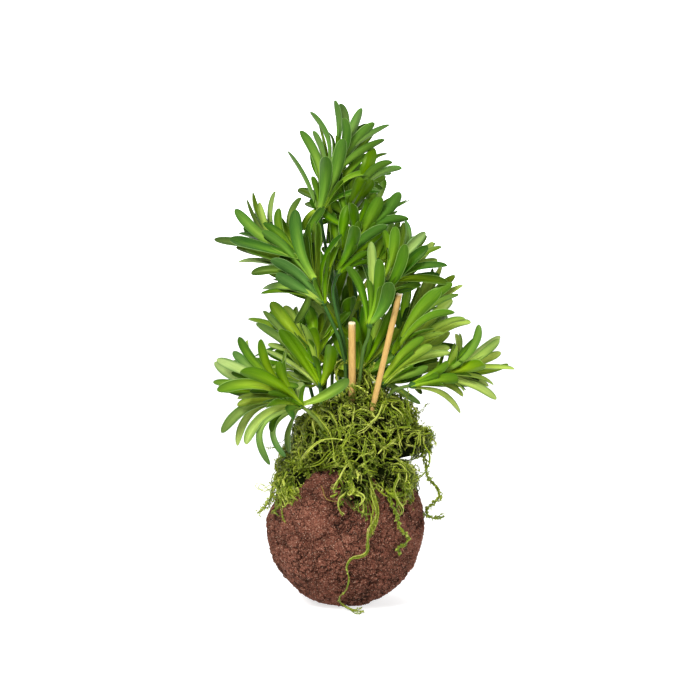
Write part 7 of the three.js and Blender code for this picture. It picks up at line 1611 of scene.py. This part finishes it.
def bunch(name, pts, m, rad, spread, wave, hue, leaflets, size, seed, k=46, sides=5, off=1.0, painted_depth_shade=0.9, knobs=0.2, twist=0.0, pitch=4.0, thin=0.4, dev=0.16, fan=(1, 1, 1)):
    rng = np.random.default_rng(seed)
    C = spline(pts, k)
    wide = np.interp(np.linspace(0, 1, k), [0, 0.45, 0.6, 1], [fan[0], fan[1], fan[2], fan[2]])[None, :, None]
    P = np.repeat(C[None], m, 0) + rng.normal(size=(m, 1, 3)) * spread * wide
    knots = np.arange(0, k + 4, 5)
    P = P + wide * np.stack([np.stack([np.interp(np.arange(k), knots, rng.normal(0, wave, len(knots))) for _ in range(3)], 1) for _ in range(m)])
    if twist:
        T, A, B = frames(C)
        s = np.concatenate([[0], np.cumsum(np.linalg.norm(np.diff(C, axis=0), axis=1))])
        a = 2 * np.pi * (s / pitch + rng.uniform(0, 1, (m, 1)))
        P = P + twist * rng.uniform(0.6, 1.2, (m, 1, 1)) * (A * np.cos(a)[..., None] + B * np.sin(a)[..., None])
    P = keep_off_ball(P, off)
    P[:, :, 2] = np.maximum(P[:, :, 2], rad + 0.1)
    r = np.full((m, k), rad) * rng.uniform(0.7, 1.25, (m, 1)) * np.interp(np.linspace(0, 1, k), [0, 0.5, 1], [1, (1 + thin) / 2 + 0.15, thin])[None, :]
    r = r * (1 + knobs * rng.uniform(-1, 1, (m, k)))
    return strand_mesh(name, P, r, np.minimum(hues(m, rng, hue, dev), 0.9 if hue < 0.95 else 1.0), np.full((m, k), painted_depth_shade), leaflets, size, rng, sides=sides)


# hanging strands: a few fibres wound along each path
BUNCH = {
    "moss_strand_front": dict(m=8, rad=0.25, spread=0.6, wave=0.62, hue=0.62, leaflets=14, size=1.3, k=60, knobs=0.3, thin=0.5, painted_depth_shade=0.9, dev=0.26, fan=(1.3, 1.2, 0.34)),
    "moss_strand_right": dict(m=5, rad=0.4, spread=0.3, wave=0.5, hue=0.42, leaflets=46, size=1.7, k=60, knobs=0.6, twist=0.75, pitch=5.0, thin=0.9, painted_depth_shade=0.86),
    "moss_strand_left": dict(m=6, rad=0.28, spread=0.9, wave=0.9, hue=0.6, leaflets=60, size=1.9, k=60, knobs=0.6),
    "moss_strand_dangling": dict(m=4, rad=0.42, spread=0.35, wave=0.6, hue=0.36, leaflets=90, size=2.0, k=70, knobs=0.6, twist=0.75, pitch=4.4, thin=1.0),
}
for name, pts in STRANDS.items():
    o = bunch("hanging_" + name[5:], pts, seed=sum(ord(c) for c in name), **BUNCH[name])
    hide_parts(name)

for i, (name, pts) in enumerate(LOOSE.items()):
    m, rad, spread, wave, hue, leaflets, size = 2, 0.34, 0.35, 0.4, 0.55, 16, 1.6
    if name.startswith("floor"):
        m, rad, spread, wave, hue, leaflets, size = 2, 0.42, 0.3, 0.4, 0.6, 10, 1.8
    elif name == "grass":
        m, rad, spread, wave, hue, leaflets, size = 3, 0.5, 0.4, 0.12, 0.76, 6, 1.6
    elif name == "curl":
        m, rad, spread, wave, hue, leaflets, size = 1, 0.45, 0, 0.05, 0.99, 2, 1.0
    elif name.startswith("long"):
        m, rad, spread, wave, hue, leaflets, size = 3, 0.3, 0.8, 0.6, 0.52, 22, 1.4
    elif name.startswith("front"):
        m, rad, spread, wave, hue, leaflets, size = 2, 0.4, 0.6, 0.8, 0.55, 26, 1.4
    elif name.startswith("tail"):
        m, rad, spread, wave, hue, leaflets, size = 2, 0.26, 0.3, 0.5, 0.4, 16, 1.5
    elif name.startswith("rise"):
        m, rad, spread, wave, hue, leaflets, size = 4, 0.42, 0.8, 0.7, 0.6, 16, 1.8
    bunch("loose_" + name, pts, m, rad, spread, wave, hue, leaflets, size, 3000 + i, k=26)

# ------------------------------------------------------------------- stage, light
def sheet(name, prof, glow, pale=0.95):
    V = np.array([[x, y, z] for (y, z) in prof for x in (-6, 6)])
    Q = [[2 * i, 2 * i + 1, 2 * i + 3, 2 * i + 2] for i in range(len(prof) - 1)]
    o = make_object(name, V, Q, scale=1.0)
    m = bpy.data.materials.new(name)
    m.use_nodes = True
    b = m.node_tree.nodes["Principled BSDF"]
    b.inputs["Base Color"].default_value = (pale, pale, pale, 1)
    b.inputs["Roughness"].default_value = 0.9
    b.inputs["Specular IOR Level"].default_value = 0.1
    b.inputs["Emission Color"].default_value = (1, 1, 1, 1)
    b.inputs["Emission Strength"].default_value = glow
    o.data.materials.append(m)
    o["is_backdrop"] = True


BEND = [(2.0 + 0.6 * math.sin(a), 0.6 - 0.6 * math.cos(a)) for a in np.linspace(0, math.pi / 2, 16)]
sheet("floor", [(-5.0, 0.0), (2.0, 0.0)], 0.7, 0.45)
sheet("wall", BEND + [(2.6, 1.6)], 1.0)


def area(name, loc, target, size, power, color=(1, 1, 1)):
    light = bpy.data.lights.new(name, "AREA")
    light.shape = "SQUARE"
    light.size = size
    light.energy = power
    light.color = color
    o = bpy.data.objects.new(name, light)
    o.location = loc
    o.rotation_euler = (Vector(target) - Vector(loc)).to_track_quat("-Z", "Y").to_euler()
    bpy.context.scene.collection.objects.link(o)


area("key", (-0.9, -1.6, 1.5), (0, 0, 0.18), 0.8, 64)
area("fill", (1.6, -1.3, 0.9), (0, 0, 0.18), 1.0, 17)
area("top", (0.2, 0.3, 2.0), (0, 0, 0.1), 1.4, 26)

world = bpy.data.worlds.new("studio")
bpy.context.scene.world = world
world.use_nodes = True
bg = world.node_tree.nodes["Background"]
bg.inputs[0].default_value = (1, 1, 1, 1)
bg.inputs[1].default_value = 0.45
bpy.context.scene.view_settings.view_transform = "Standard"
bpy.context.scene.view_settings.look = "None"
bpy.context.scene.view_settings.exposure = 0.0

# ------------------------------------------------------------------------ camera
E = math.radians(7.0)
cam = bpy.data.cameras.new("camera")
cam.sensor_width = 36.0
cam.lens = 36.0 * (2.0 / 0.0007) / 700.0 * 0.001 * 1000.0
cam.clip_start = 0.05
cam.clip_end = 60.0
co = bpy.data.objects.new("camera", cam)
co.location = (0.0028, -2.0 * math.cos(E), 0.1792 + 2.0 * math.sin(E))
co.rotation_euler = (math.pi / 2 - E, 0, 0)
bpy.context.scene.collection.objects.link(co)
bpy.context.scene.camera = co

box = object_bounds()
plain = lambda b: [[float(v) for v in corner] for corner in b]
{"cad": plain(CAD_BOX), "visual": plain(box)}
